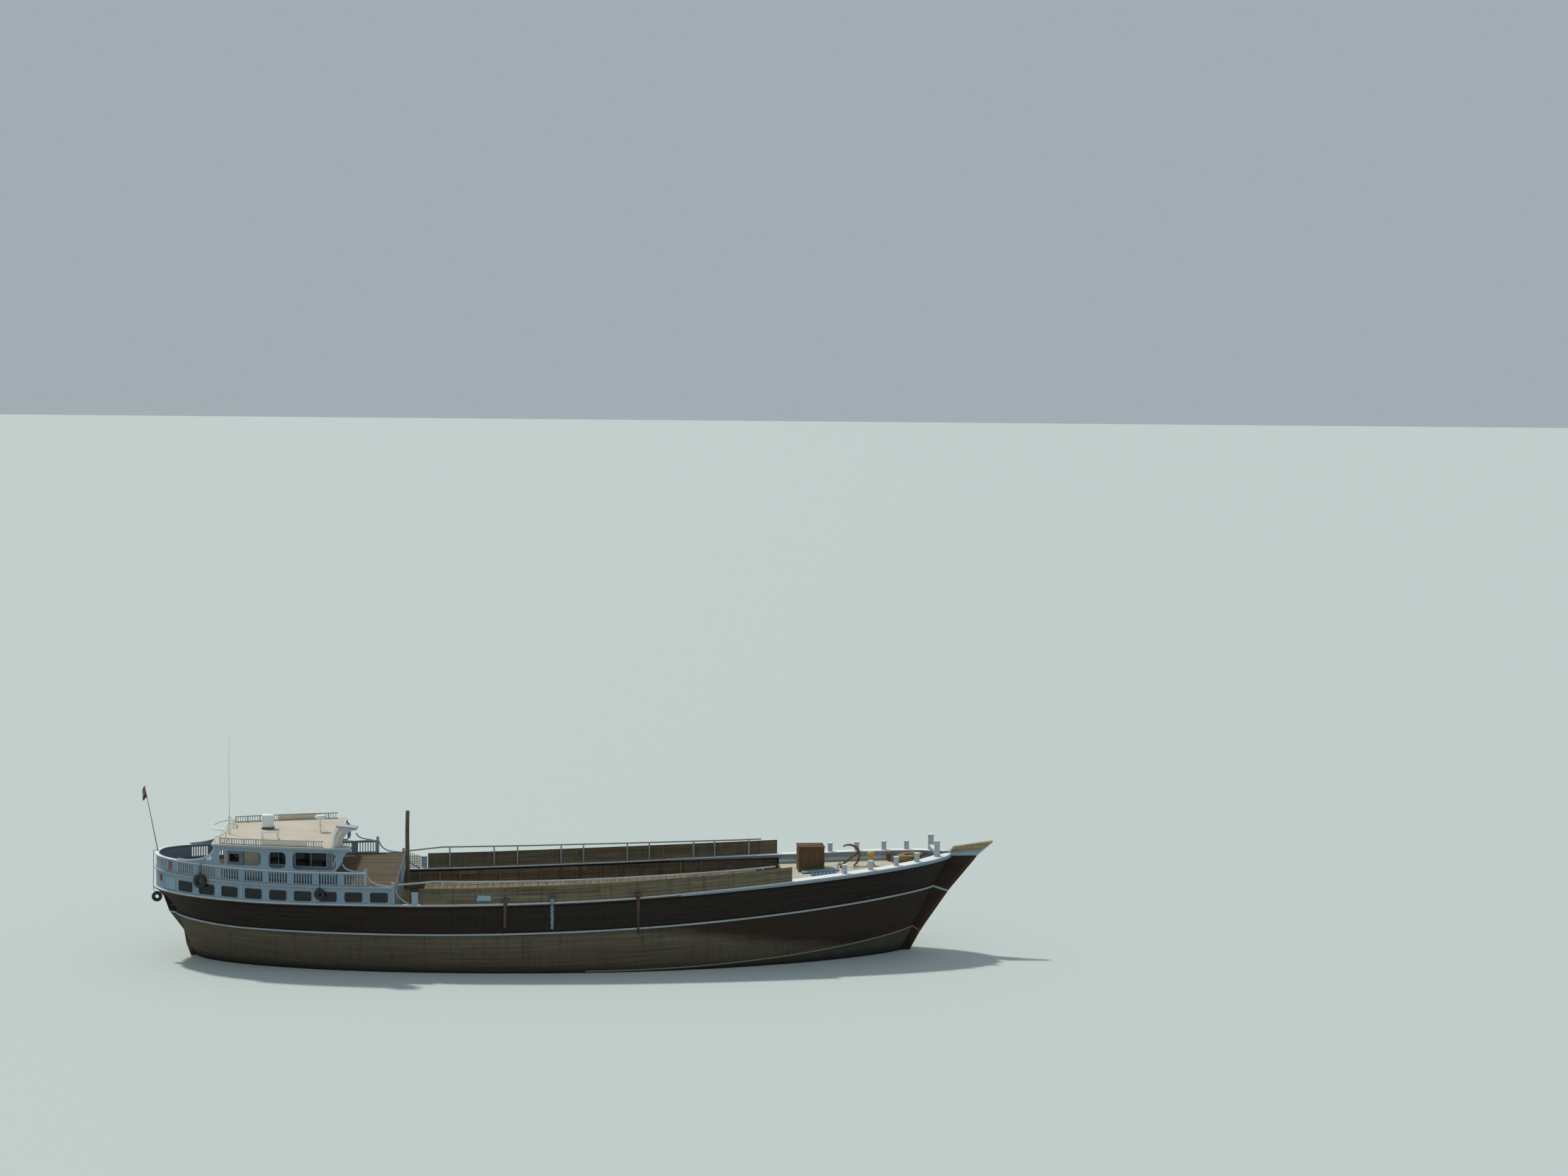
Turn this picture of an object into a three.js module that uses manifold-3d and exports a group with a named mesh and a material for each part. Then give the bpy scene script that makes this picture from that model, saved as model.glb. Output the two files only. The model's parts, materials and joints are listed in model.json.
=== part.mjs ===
// Cargo dhow: a wooden motor dhow with a stump mast, as a 1:2 scale model of a boat 50 m long.
// Millimetres, +Z up, bow towards +X, port towards +Y. The origin is on the waterline, on the
// centreline, halfway between the ends of the hull. Every size below is the model's own size.
import * as THREE from 'three';
import { mergeVertices } from 'three/addons/utils/BufferGeometryUtils.js';
import Module from 'manifold-3d';

const wasm = await Module();
wasm.setup();

// Driving dimensions of the hull
const GAP = 0.3; // left between planking surfaces that touch
const SEAT = 0.8; // left under a piece that stands on another
const MID_X = -500; // the widest station
const POST_HALF = 75; // half the width of stem and sternpost
const KEEL_HALF = 90;
const KEEL_BOTTOM = -1825;
const RABBET_Z = -1650; // where the bottom planking meets the keel
const TOPSIDE_THICK = 120;
const MAIN_DECK_DROP = 525; // below the sheer line
const FOREDECK_DROP = 175;
const FOREDECK_AFT_X = 6200;
const POOP_FRONT_X = -5300;

const clamp = (value, low, high) => Math.min(Math.max(value, low), high);
const lerp = (a, b, t) => a + (b - a) * t;
const rise = (distance, length, power) => Math.max(0, distance / length) ** power;

// Heights along the boat
const sheerCurve = (x) => 1950 + 150 * rise(-8000 - x, 4500, 2) + 900 * rise(x + 5000, 16150, 1.75);
const waleCurve = (x) => 1125 + 160 * rise(-9500 - x, 2500, 2) + 825 * rise(x + 5000, 15650, 1.9);
const knuckleCurve = (x) => lerp(waleCurve(x), sheerCurve(x), 0.6);
const poopRise = (x) => 185 * rise(-7500 - x, 5000, 1.7);

// Level lines of the hull. aft and fore are where a line meets the posts, half is its greatest
// half-breadth, and round and full are the exponents of its quarter curves aft and forward.
const LINES = {
  sheer: {
    aft: -12440, fore: 11165, half: 3476,
    aftRound: 2.2, aftFull: 2.3, foreRound: 1.6, foreFull: 2.0, height: sheerCurve,
  },
  knuckle: {
    aft: -12130, fore: 10970, half: 3440,
    aftRound: 2.35, aftFull: 1.75, foreRound: 1.75, foreFull: 1.6, height: knuckleCurve,
  },
  wale: {
    aft: -11820, fore: 10675, half: 3357,
    aftRound: 2.6, aftFull: 1.4, foreRound: 1.95, foreFull: 1.33, height: waleCurve,
  },
  water: {
    aft: -11230, fore: 9700, half: 3293,
    aftRound: 2.2, aftFull: 1.6, foreRound: 1.93, foreFull: 1.29, height: () => 0,
  },
};

// Levels below the waterline: height, ends, and the share of the waterline's breadth amidships
// and at the ends. The last one is the rabbet on the keel.
const BOTTOM_LEVELS = [
  { z: -500, aft: -10750, fore: 9430, midShare: 0.985, endShare: 0.72 },
  { z: -1000, aft: -10350, fore: 9000, midShare: 0.93, endShare: 0.45 },
  { z: -1350, aft: -10300, fore: 8450, midShare: 0.76, endShare: 0.26 },
  { z: -1550, aft: -10300, fore: 7950, midShare: 0.5, endShare: 0.16 },
  { z: RABBET_Z, aft: -10300, fore: 7600, midShare: 0, endShare: 0 },
];

// Stations, as x on the sheer line: close together round the stern, at the breaks and at the bow
const STERN_STEPS = [0, 15, 60, 140, 270, 470, 780, 1250, 2000, 3000, 4200, 5600];
const STATIONS = [
  ...STERN_STEPS.map((step) => LINES.sheer.aft + step),
  POOP_FRONT_X, -3600, -1700, 300, 2300, 4300, FOREDECK_AFT_X,
  7400, 8500, 9400, 10100, 10600, 10950, 11100, LINES.sheer.fore,
];
const shareAlong = (x) => (x - LINES.sheer.aft) / (LINES.sheer.fore - LINES.sheer.aft);

function halfBreadth(line, x) {
  const isAft = x < MID_X;
  const t = clamp(isAft ? (MID_X - x) / (MID_X - line.aft) : (x - MID_X) / (line.fore - MID_X), 0, 1);
  const round = isAft ? line.aftRound : line.foreRound;
  const full = isAft ? line.aftFull : line.foreFull;
  return POST_HALF + (line.half - POST_HALF) * (1 - t ** round) ** (1 / full);
}

// A curve drawn straight from station to station, as the planks and decks are
function sampled(curve) {
  const values = STATIONS.map(curve);
  return (x) => {
    const after = clamp(STATIONS.findIndex((station) => station > x), 1, STATIONS.length - 1);
    const last = x >= STATIONS[STATIONS.length - 1] ? STATIONS.length - 1 : after;
    const t = (x - STATIONS[last - 1]) / (STATIONS[last] - STATIONS[last - 1]);
    return lerp(values[last - 1], values[last], t);
  };
}

const sheerHalf = sampled((x) => halfBreadth(LINES.sheer, x));
const sheerZ = sampled(sheerCurve);
const midRailZ = sampled((x) => 2515 + poopRise(x));
const topRailZ = sampled((x) => 2925 + poopRise(x));
const railThick = sampled((x) => lerp(60, 110, clamp((x - 1500) / 5000, 0, 1)));
const railTopZ = (x) => sheerZ(x) + GAP + railThick(x);
const mainDeckZ = (x) => sheerZ(x) - MAIN_DECK_DROP;
const foredeckZ = (x) => sheerZ(x) - FOREDECK_DROP;
const between = (low, high) => STATIONS.filter((x) => x > low && x < high);

// Point of a level line at a share of its length, on the port side
function linePoint(line, share) {
  const x = lerp(line.aft, line.fore, share);
  return [x, halfBreadth(line, x), line.height(x)];
}

function bottomPoint(level, share) {
  const x = lerp(level.aft, level.fore, share);
  const fullness = (4 * share * (1 - share)) ** 0.7;
  const breadth = linePoint(LINES.water, share)[1] * lerp(level.endShare, level.midShare, fullness);
  const least = level.z === RABBET_Z ? KEEL_HALF : POST_HALF;
  return [x, Math.max(least, breadth), level.z];
}

// Mesh tools

function signedVolume(points, index) {
  let sum = 0;
  for (let i = 0; i < index.length; i += 3) {
    const [a, b, c] = [0, 1, 2].map((k) => new THREE.Vector3(...points[index[i + k]]));
    sum += a.dot(b.cross(c));
  }
  return sum / 6;
}

// A ring's port half and its starboard half
const mirrored = (points) => [...points, ...points.map(([x, y, z]) => [x, -y, z]).reverse()];

// Closed skin through rings that all have the same even number of points. Each field is split
// along its shorter diagonal. The end caps join the ring's first half to its second half.
function loft(rings) {
  const count = rings[0].length;
  const last = (rings.length - 1) * count;
  const index = [];
  const all = rings.flat();
  const span = (a, b) => Math.hypot(...all[a].map((value, k) => value - all[b][k]));
  const quad = (a, b, c, d) => {
    if (span(a, c) <= span(b, d)) index.push(a, b, c, a, c, d);
    else index.push(b, c, d, b, d, a);
  };
  for (let j = 0; j < rings.length - 1; j += 1) {
    for (let i = 0; i < count; i += 1) {
      const next = (i + 1) % count;
      quad(j * count + i, j * count + next, (j + 1) * count + next, (j + 1) * count + i);
    }
  }
  for (let i = 0; i < count / 2 - 1; i += 1) {
    quad(i + 1, i, count - 1 - i, count - 2 - i);
    quad(last + i, last + i + 1, last + count - 2 - i, last + count - 1 - i);
  }
  const points = all;
  if (signedVolume(points, index) < 0) index.reverse();
  const geometry = new THREE.BufferGeometry();
  geometry.setAttribute('position', new THREE.Float32BufferAttribute(points.flat(), 3));
  geometry.setIndex(index);
  return geometry;
}

function toSolid(geometry) {
  const bare = geometry.clone();
  bare.deleteAttribute('normal');
  bare.deleteAttribute('uv');
  const merged = mergeVertices(bare);
  const mesh = new wasm.Mesh({
    numProp: 3,
    vertProperties: new Float32Array(merged.attributes.position.array),
    triVerts: new Uint32Array(merged.index.array),
  });
  return new wasm.Manifold(mesh);
}

function toGeometry(solid) {
  const mesh = solid.getMesh();
  const geometry = new THREE.BufferGeometry();
  geometry.setAttribute('position', new THREE.BufferAttribute(new Float32Array(mesh.vertProperties), 3));
  geometry.setIndex(new THREE.BufferAttribute(new Uint32Array(mesh.triVerts), 1));
  return geometry;
}

const join = (...pieces) => toGeometry(pieces.map(toSolid).reduce((sum, piece) => sum.add(piece)));
const common = (a, b) => toGeometry(toSolid(a).intersect(toSolid(b)));

function cut(piece, cutters) {
  const rest = cutters.map(toSolid).reduce((solid, cutter) => solid.subtract(cutter), toSolid(piece));
  return toGeometry(rest);
}

// Box between two corners
function block(x0, x1, y0, y1, z0, z1) {
  const box = new THREE.BoxGeometry(x1 - x0, y1 - y0, z1 - z0);
  return box.translate((x0 + x1) / 2, (y0 + y1) / 2, (z0 + z1) / 2);
}

// Upright round bar
function bar(x, y, z0, z1, radius, topRadius = radius, sides = 10) {
  const cylinder = new THREE.CylinderGeometry(topRadius, radius, z1 - z0, sides);
  return cylinder.rotateX(Math.PI / 2).translate(x, y, (z0 + z1) / 2);
}

// Lays a piece that was drawn on level ground onto a sloping deck whose height is given
function layOn(geometry, height) {
  geometry.computeBoundingBox();
  const ground = geometry.boundingBox.min.z;
  const spots = geometry.attributes.position;
  for (let i = 0; i < spots.count; i += 1) {
    spots.setZ(i, spots.getZ(i) - ground + height(spots.getX(i)) + GAP);
  }
  return geometry;
}

// Side profile, drawn in x and z, given its thickness from y0 to y1
function profile(points, y0, y1) {
  const shape = new THREE.Shape(points.map(([x, z]) => new THREE.Vector2(x, z)));
  const solid = new THREE.ExtrudeGeometry(shape, { depth: y1 - y0, bevelEnabled: false });
  return solid.rotateX(Math.PI / 2).translate(0, y1, 0);
}

// Flat plate, drawn in x and y
function plate(points, z0, z1) {
  const shape = new THREE.Shape(points.map(([x, y]) => new THREE.Vector2(x, y)));
  const solid = new THREE.ExtrudeGeometry(shape, { depth: z1 - z0, bevelEnabled: false });
  return solid.translate(0, 0, z0);
}

// Round bar along a list of points
function tube(points, radius, sides = 6, endRadius = radius) {
  const spots = points.map((point) => new THREE.Vector3(...point));
  const rings = spots.map((spot, i) => {
    const ahead = spots[Math.min(i + 1, spots.length - 1)];
    const behind = spots[Math.max(i - 1, 0)];
    const along = ahead.clone().sub(behind).normalize();
    const up = Math.abs(along.z) > 0.9 ? new THREE.Vector3(0, 1, 0) : new THREE.Vector3(0, 0, 1);
    const side = along.clone().cross(up).normalize();
    const over = side.clone().cross(along);
    const size = lerp(radius, endRadius, i / (spots.length - 1));
    return Array.from({ length: sides }, (_, k) => {
      const angle = (2 * Math.PI * k) / sides;
      const ring = spot.clone().addScaledVector(side, size * Math.cos(angle));
      return ring.addScaledVector(over, size * Math.sin(angle)).toArray();
    });
  });
  return loft(rings);
}

// Cutter with rounded corners, centred on a point of a wall and turned to face along the wall's
// outward direction
function windowCutter(center, facing, width, height, radius, depth = 500) {
  const [w, h] = [width / 2 - radius, height / 2 - radius];
  const corners = [[w, h, 0], [-w, h, 1], [-w, -h, 2], [w, -h, 3]];
  const points = corners.flatMap(([x, z, quarter]) => [0, 1, 2].map((k) => {
    const angle = (quarter + k / 2) * (Math.PI / 2);
    return [x + radius * Math.cos(angle), z + radius * Math.sin(angle)];
  }));
  const angle = Math.atan2(facing[1], facing[0]) - Math.PI / 2;
  return profile(points, -depth / 2, depth / 2).rotateZ(angle).translate(...center);
}

// The plan of the stern and sides

// Sheer line of one side, from the middle of the stern forward to x, as plan points with their
// outward directions. side is 1 to port and -1 to starboard.
function planPath(side, lastX, firstX = LINES.sheer.aft) {
  const start = firstX === LINES.sheer.aft ? [[firstX, side * GAP]] : [];
  const xs = STATIONS.filter((x) => x >= firstX && x < lastX);
  const inner = xs.includes(firstX) ? xs : [firstX, ...xs];
  const points = [...start, ...[...inner, lastX].map((x) => [x, side * sheerHalf(x)])];
  return points.map(([x, y], i) => {
    const ahead = points[Math.min(i + 1, points.length - 1)];
    const behind = points[Math.max(i - 1, 0)];
    const length = Math.hypot(ahead[0] - behind[0], ahead[1] - behind[1]);
    const out = [(-side * (ahead[1] - behind[1])) / length, (side * (ahead[0] - behind[0])) / length];
    return { x, y, out: i === 0 && start.length ? [-1, 0] : out };
  });
}

// The same line from the starboard end round the stern to the port end
function sternPath(lastX) {
  const starboard = planPath(-1, lastX).slice(1).reverse();
  return [...starboard, ...planPath(1, lastX).slice(1)];
}

// Wall or rail that follows a plan path: its outer and inner faces lie inset inside the line, and
// bottom and top give its heights at x
function followPath(path, outer, inner, bottom, top) {
  const at = ({ x, y, out }, inset) => [x - out[0] * inset, y - out[1] * inset];
  return loft(path.map((spot) => {
    const outset = typeof outer === 'function' ? outer(spot.x) : outer;
    const inset = typeof inner === 'function' ? inner(spot.x) : inner;
    const [near, far] = [at(spot, outset), at(spot, inset)];
    const [low, high] = [bottom(spot.x), top(spot.x)];
    return [[...near, low], [...near, high], [...far, high], [...far, low]];
  }));
}

// Spot on the side's sheer line at a distance along it, measured aft from POOP_FRONT_X
function spotAlong(side, distance) {
  const step = 10;
  let x = POOP_FRONT_X;
  let gone = 0;
  while (gone < distance) {
    gone += Math.hypot(step, sheerHalf(x) - sheerHalf(x - step));
    x -= step;
  }
  const slope = (sheerHalf(x + 5) - sheerHalf(x - 5)) / 10;
  const length = Math.hypot(1, slope);
  return { x, y: side * sheerHalf(x), out: [-slope / length, side / length] };
}

// Materials

function paint(color, roughness = 0.6, metalness = 0) {
  return new THREE.MeshStandardMaterial({ color, roughness, metalness });
}

const weathered = paint('#5c5346', 0.9);
const tarred = paint('#231f1d', 0.75);
const paleBlue = paint('#8da6b8', 0.65);
const whitePaint = paint('#d5dbe0', 0.6);
const creamPaint = paint('#d8d0b8', 0.7);
const planks = paint('#6e624c', 0.9);
const deckBoards = paint('#a08f6c', 0.9);
const spar = paint('#564d40', 0.85);
const ochreIron = paint('#a07a35', 0.8, 0.3);
const bronze = paint('#9a7a3c', 0.4, 0.9);
const blackRubber = paint('#26282b', 0.95);
const ropeFibre = paint('#8a7650', 0.95);
const flagCloth = paint('#1f6b3e', 0.9);

const dhow = new THREE.Group();

function add(name, geometry, material) {
  const mesh = new THREE.Mesh(geometry, material);
  mesh.name = name;
  dhow.add(mesh);
  return mesh;
}

const SIDES = [{ name: 'starboard', side: -1 }, { name: 'port', side: 1 }];

// Backbone

const RUDDER_X = -11330;
const SHAFT_Z = -1060;

function addBackbone() {
  const sheerEnd = sheerCurve(LINES.sheer.fore);
  const keel = profile([
    [7600, RABBET_Z - GAP], [-10300.5, RABBET_Z - GAP], [-10300.5, -1350], [-10350.5, -1000],
    [-10735, -520], [-10752, -552], [-10640, -750], [-10540, -930], [-10470, -1060],
    [-10440, RABBET_Z], [-11450, RABBET_Z], [-11450, -1790], [-11380, KEEL_BOTTOM], [7600, KEEL_BOTTOM],
  ], -KEEL_HALF, KEEL_HALF);
  const sternTube = new THREE.CylinderGeometry(75, 75, 250, 12).rotateZ(Math.PI / 2);
  add('keel', join(keel, sternTube.translate(-10575, 0, SHAFT_Z)), weathered);

  add('stem_post', profile([
    [7600.5, KEEL_BOTTOM], [8200, -1650], [8750, -1400], [9290, -1000], [9720, -500], [9990, 0],
    [10281, 524], [10476, 821], [11175, 1828], [11943, 2750], [12012, sheerEnd],
    [11165.5, sheerEnd], [10970.5, knuckleCurve(10970)], [10675.5, waleCurve(10675)], [9700.5, 0],
    [9430.5, -500], [9000.5, -1000], [8450.5, -1350], [7950.5, -1550.5], [7600.5, -1650.5],
  ], -POST_HALF, POST_HALF), tarred);

  const rimZ = sheerCurve(LINES.sheer.aft) - SEAT;
  add('stern_post', profile([
    [-11230.5, 0], [-11820.5, waleCurve(-11820)], [-12130.5, knuckleCurve(-12130)], [-12440.5, rimZ],
    [-12475, rimZ], [-12472, 2040], [-12230, 1780], [-12060, 1313], [-11640, 760], [-11570, 345],
    [-11441, 0], [-11420, -150], [-11240, -150], [-11150, -260], [-10900, -490], [-10770, -535],
    [-10736, -518.5], [-10750.5, -500.5],
  ], -POST_HALF, POST_HALF), tarred);
}

// Hull and decks

function addHull() {
  const shares = STATIONS.map(shareAlong);
  add('hull_bottom', loft(shares.map((share) => {
    const sides = [LINES.wale, LINES.water].map((line) => linePoint(line, share));
    return mirrored([...sides, ...BOTTOM_LEVELS.map((level) => bottomPoint(level, share))]);
  })), weathered);

  const rows = [LINES.wale, LINES.knuckle, LINES.sheer];
  for (const { name, side } of SIDES) {
    add(`topside_${name}`, loft(shares.map((share) => {
      const outer = rows.map((line) => linePoint(line, share)).map(([x, y, z]) => [x, side * y, z]);
      outer[0][2] += GAP;
      const inner = outer.map(([x, y, z]) => [x, side * Math.max(Math.abs(y) - TOPSIDE_THICK, 12), z]);
      return [...outer, ...inner.reverse()];
    })), tarred);
  }
}

// Each deck is solid down to the bottom planking and fills the room between the topsides as far
// up as its own height
function addDecks() {
  const room = loft(STATIONS.map(shareAlong).map((share) => {
    const rows = [LINES.wale, LINES.knuckle, LINES.sheer].map((line) => linePoint(line, share));
    rows[0][2] += GAP;
    return mirrored(rows.map(([x, y, z]) => [x, Math.max(y - TOPSIDE_THICK - 3, 8), z]));
  }));
  const below = (aft, fore, height) => loft([aft, ...between(aft, fore), fore].map((x) => (
    mirrored([[x, 5000, 0], [x, 5000, height(x)]]))));
  add('main_deck', common(room, below(-12300, FOREDECK_AFT_X, mainDeckZ)), deckBoards);
  add('foredeck', common(room, below(FOREDECK_AFT_X + SEAT, 11060, foredeckZ)), deckBoards);
}

// Cargo hatch

const HATCH = { aft: -4600, fore: 5400, half: 1500, coaming: 350, wall: 90, cover: 60 };

function hatchLoft(aft, fore, half, drop, top) {
  return loft([aft, ...between(aft, fore), fore].map((x) => (
    mirrored([[x, half, mainDeckZ(x) + drop], [x, half, mainDeckZ(x) + top]]))));
}

function addHatch() {
  const { aft, fore, half, coaming, wall, cover } = HATCH;
  const outside = hatchLoft(aft, fore, half, SEAT, coaming);
  const inside = hatchLoft(aft + wall, fore - wall, half - wall, -20, coaming + 20);
  add('hatch_coaming', cut(outside, [inside]), planks);
  add('hatch_cover', hatchLoft(aft - 20, fore + 20, half + 20, coaming + GAP, coaming + cover), planks);
}

// Rails and bulwarks

const SMALL_BITTS = { xs: [7770, 8570, 9370, 10030], inset: 190, radius: 80, height: 275 };

function railInset(x) {
  if (x < 0) return 150;
  return Math.min(lerp(150, 375, clamp((x - 3000) / 4000, 0, 1)), 0.55 * sheerHalf(x));
}

// Curved white strip that sweeps down from one tier to the next. Points are x and z.
function sweep(side, points, width, thick) {
  return loft(points.map(([x, z]) => {
    const y = sheerHalf(x) - 35;
    const [ahead, over] = [x + thick * 0.6, z + thick];
    const ring = [[x, y, z], [ahead, y, over], [ahead, y - width, over], [x, y - width, z]];
    return ring.map(([px, py, pz]) => [px, side * py, pz]);
  }));
}

const railBody = () => followPath(sternPath(11150), -60, railInset, (x) => sheerZ(x) + GAP, railTopZ);

function addSheerRail() {
  const rail = railBody();
  const extras = SIDES.flatMap(({ side }) => {
    const bitts = SMALL_BITTS.xs.map((x) => {
      const { inset, radius, height } = SMALL_BITTS;
      const y = side * (sheerHalf(x) - inset);
      return bar(x, y, railTopZ(x) - 40, railTopZ(x) + height, radius, radius, 12);
    });
    const curve = [[-5280, 2470], [-5240, 2330], [-5140, 2190], [-4990, 2090], [-4820, 1985]];
    const step = sweep(side, curve, 50, 35);
    const edge = sheerHalf(-4720);
    const post = block(-4815, -4630, edge - 36, edge + 40, sheerZ(-4700) + 20, 2370).scale(1, side, 1);
    return [...bitts, step, flipIfMirrored(post, side)];
  });
  add('sheer_rail', join(rail, ...extras), whitePaint);
}

// A mirrored geometry has its faces turned back to point outwards
function flipIfMirrored(geometry, side) {
  if (side > 0) return geometry;
  const index = Array.from(geometry.index.array).reverse();
  return geometry.setIndex(index);
}

// The hull's outside from the bilge to the sheer line, a little swollen in breadth
function swollenHull(swell) {
  return loft(STATIONS.map(shareAlong).map((share) => {
    const rows = Object.values(LINES).map((line) => linePoint(line, share)).reverse();
    return mirrored(rows.map(([x, y, z]) => [x, y + swell, z]));
  }));
}

// Band that runs along the planking just below the topsides
const WALE = { reach: 48, below: 40, above: 38 };

function addWales() {
  const hull = swollenHull(SEAT);
  const shares = STATIONS.filter((x) => x < 11150).map(shareAlong);
  const spots = shares.map((share, i) => {
    const [ahead, behind] = [shares[Math.min(i + 1, shares.length - 1)], shares[Math.max(i - 1, 0)]];
    const [a, b] = [linePoint(LINES.wale, ahead), linePoint(LINES.wale, behind)];
    const length = Math.hypot(a[0] - b[0], a[1] - b[1]);
    const out = [-(a[1] - b[1]) / length, (a[0] - b[0]) / length];
    return { point: linePoint(LINES.wale, share), out };
  });
  for (const { name, side } of SIDES) {
    const { reach, below, above } = WALE;
    const band = loft(spots.map(({ point: [x, y, z], out }) => {
      const at = (outwards, height) => {
        const half = Math.max(y + out[1] * outwards, POST_HALF + SEAT);
        return [x + out[0] * outwards, side * half, z + height];
      };
      return [at(-80, -below), at(reach, -below), at(reach, above), at(-80, above)];
    }));
    add(`wale_${name}`, cut(band, [hull]), whitePaint);
  }
}

const BOARDS = { aft: -4615, fore: 6190, outer: 40, thick: 45, height: 525 };
const GUARD = { aft: -5230, fore: 5700, inset: 92, size: 46 };
const GUARD_POSTS = [-3935, -2570, -1850, -500, 195, 1550, 2230, 3600, 4250, 5300];

// Underside of the guard rail: it comes down towards the bow, and where it meets the poop
function guardZ(x) {
  const height = lerp(690, 560, clamp((x + 4000) / 9000, 0, 1));
  return sheerZ(x) + height - 90 * rise(-4200 - x, 1000, 1);
}

function addBulwarks() {
  for (const { name, side } of SIDES) {
    const { outer, thick, height } = BOARDS;
    const line = planPath(side, BOARDS.fore, BOARDS.aft);
    const foot = (x) => railTopZ(x) + SEAT;
    const boards = followPath(line, outer, outer + thick, foot, (x) => sheerZ(x) + height);
    add(`weather_boards_${name}`, boards, planks);

    const { inset, size } = GUARD;
    const path = planPath(side, GUARD.fore, GUARD.aft);
    const rail = followPath(path, inset, inset + size, guardZ, (x) => guardZ(x) + size);
    const posts = GUARD_POSTS.map((x) => {
      const y = side * (sheerHalf(x) - inset - size / 2);
      const [low, high] = [railTopZ(x + size) + GAP, guardZ(x) + 10];
      return block(x - size / 2, x + size / 2, y - size / 2, y + size / 2, low, high);
    });
    add(`guard_rail_${name}`, join(rail, ...posts), whitePaint);
  }
}

// Poop: lower tier with windows, upper tier with balusters

const WINDOW = {
  count: 9, first: 450, pitch: 738, width: 500, height: 315, radius: 70, inset: 20, thick: 50,
};
const BALUSTRADE = { frontX: -6190, inset: 27, thick: 40, groups: 8, slots: 7 };
const SLOT = { width: 48, pitch: 80, height: 270, middle: 195 };
const POOP_DECK_THICK = 60;

function addPoop() {
  const { count, first, pitch, width, height, radius, inset, thick } = WINDOW;
  for (const { name, side } of SIDES) {
    const spots = Array.from({ length: count }, (_, k) => spotAlong(side, first + k * pitch));
    const wallTop = (x) => midRailZ(Math.min(x + 90, POOP_FRONT_X)) - POOP_DECK_THICK - SEAT;
    const foot = (x) => railTopZ(x) + SEAT;
    const wall = followPath(planPath(side, POOP_FRONT_X), inset, inset + thick, foot, wallTop);
    const cutters = spots.map(({ x, y, out }) => {
      const middle = (railTopZ(x) + midRailZ(x)) / 2 - 25;
      return windowCutter([x, y, middle], out, width, height, radius);
    });
    add(`poop_wall_${name}`, cut(wall, cutters), paleBlue);

    const { frontX, groups, slots, inset: near, thick: panelThick } = BALUSTRADE;
    const [sill, head] = [(x) => midRailZ(x) + SEAT, (x) => topRailZ(x) - 40 - SEAT];
    const panel = followPath(planPath(side, frontX), near, near + panelThick, sill, head);
    const slotCutters = Array.from({ length: groups * slots }, (_, k) => {
      const group = first + (1 + Math.floor(k / slots)) * pitch;
      const { x, y, out } = spotAlong(side, group + ((k % slots) - (slots - 1) / 2) * SLOT.pitch);
      const [half, reach] = [SLOT.width / 2, SLOT.height / 2];
      const slot = block(-half, half, -100, 100, -reach, reach);
      slot.rotateZ(Math.atan2(out[1], out[0]) - Math.PI / 2);
      return slot.translate(x, y, midRailZ(x) + SLOT.middle);
    });
    add(`balustrade_${name}`, cut(panel, slotCutters), paleBlue);
  }

  const deckEdge = planPath(1, POOP_FRONT_X).slice(1).map(({ x, y, out }) => {
    const reach = 24.8;
    return [x - out[0] * reach, y - out[1] * reach, midRailZ(x)];
  });
  const deck = loft(deckEdge.map(([x, y, z]) => mirrored([[x, y, z - POOP_DECK_THICK], [x, y, z]])));
  add('poop_deck', deck, deckBoards);

  const [midLow, midHigh] = [(x) => midRailZ(x) - 40, (x) => midRailZ(x) + 8];
  const midRail = followPath(sternPath(POOP_FRONT_X), -28, 24, midLow, midHigh);
  const midExtras = SIDES.flatMap(({ side }) => {
    const y = side * (sheerHalf(-5350) - 34);
    const post = block(-5390, -5310, y - 45, y + 45, midRailZ(-5350) + 2, midRailZ(-5350) + 130);
    const curve = [[-6085, 2860], [-6040, 2745], [-5930, 2640], [-5750, 2565], [-5385, 2519]];
    return [post, sweep(side, curve, 60, 35)];
  });
  add('poop_mid_rail', join(midRail, ...midExtras), whitePaint);

  const postX = BALUSTRADE.frontX + 12;
  const topRail = followPath(sternPath(postX + 80), -16, 105, (x) => topRailZ(x) - 40, topRailZ);
  const topExtras = SIDES.flatMap(({ side }) => {
    const y = side * (sheerHalf(postX) - 45);
    const [low, high] = [midRailZ(postX) + 8 + SEAT, topRailZ(postX) + 110];
    const post = block(postX, postX + 80, y - 45, y + 45, low, high);
    const curve = [[-6790, 3150], [-6745, 3075], [-6650, 3005], [-6480, 2955], [postX + 20, 2900]];
    return [post, sweep(side, curve, 60, 35)];
  });
  add('poop_top_rail', join(topRail, ...topExtras), whitePaint);
}

// Bulkhead that closes the front of the lower tier, with the crew's door

const POOP_DOOR = { y0: -1500, y1: -1050, height: 930, thick: 45 };

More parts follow.
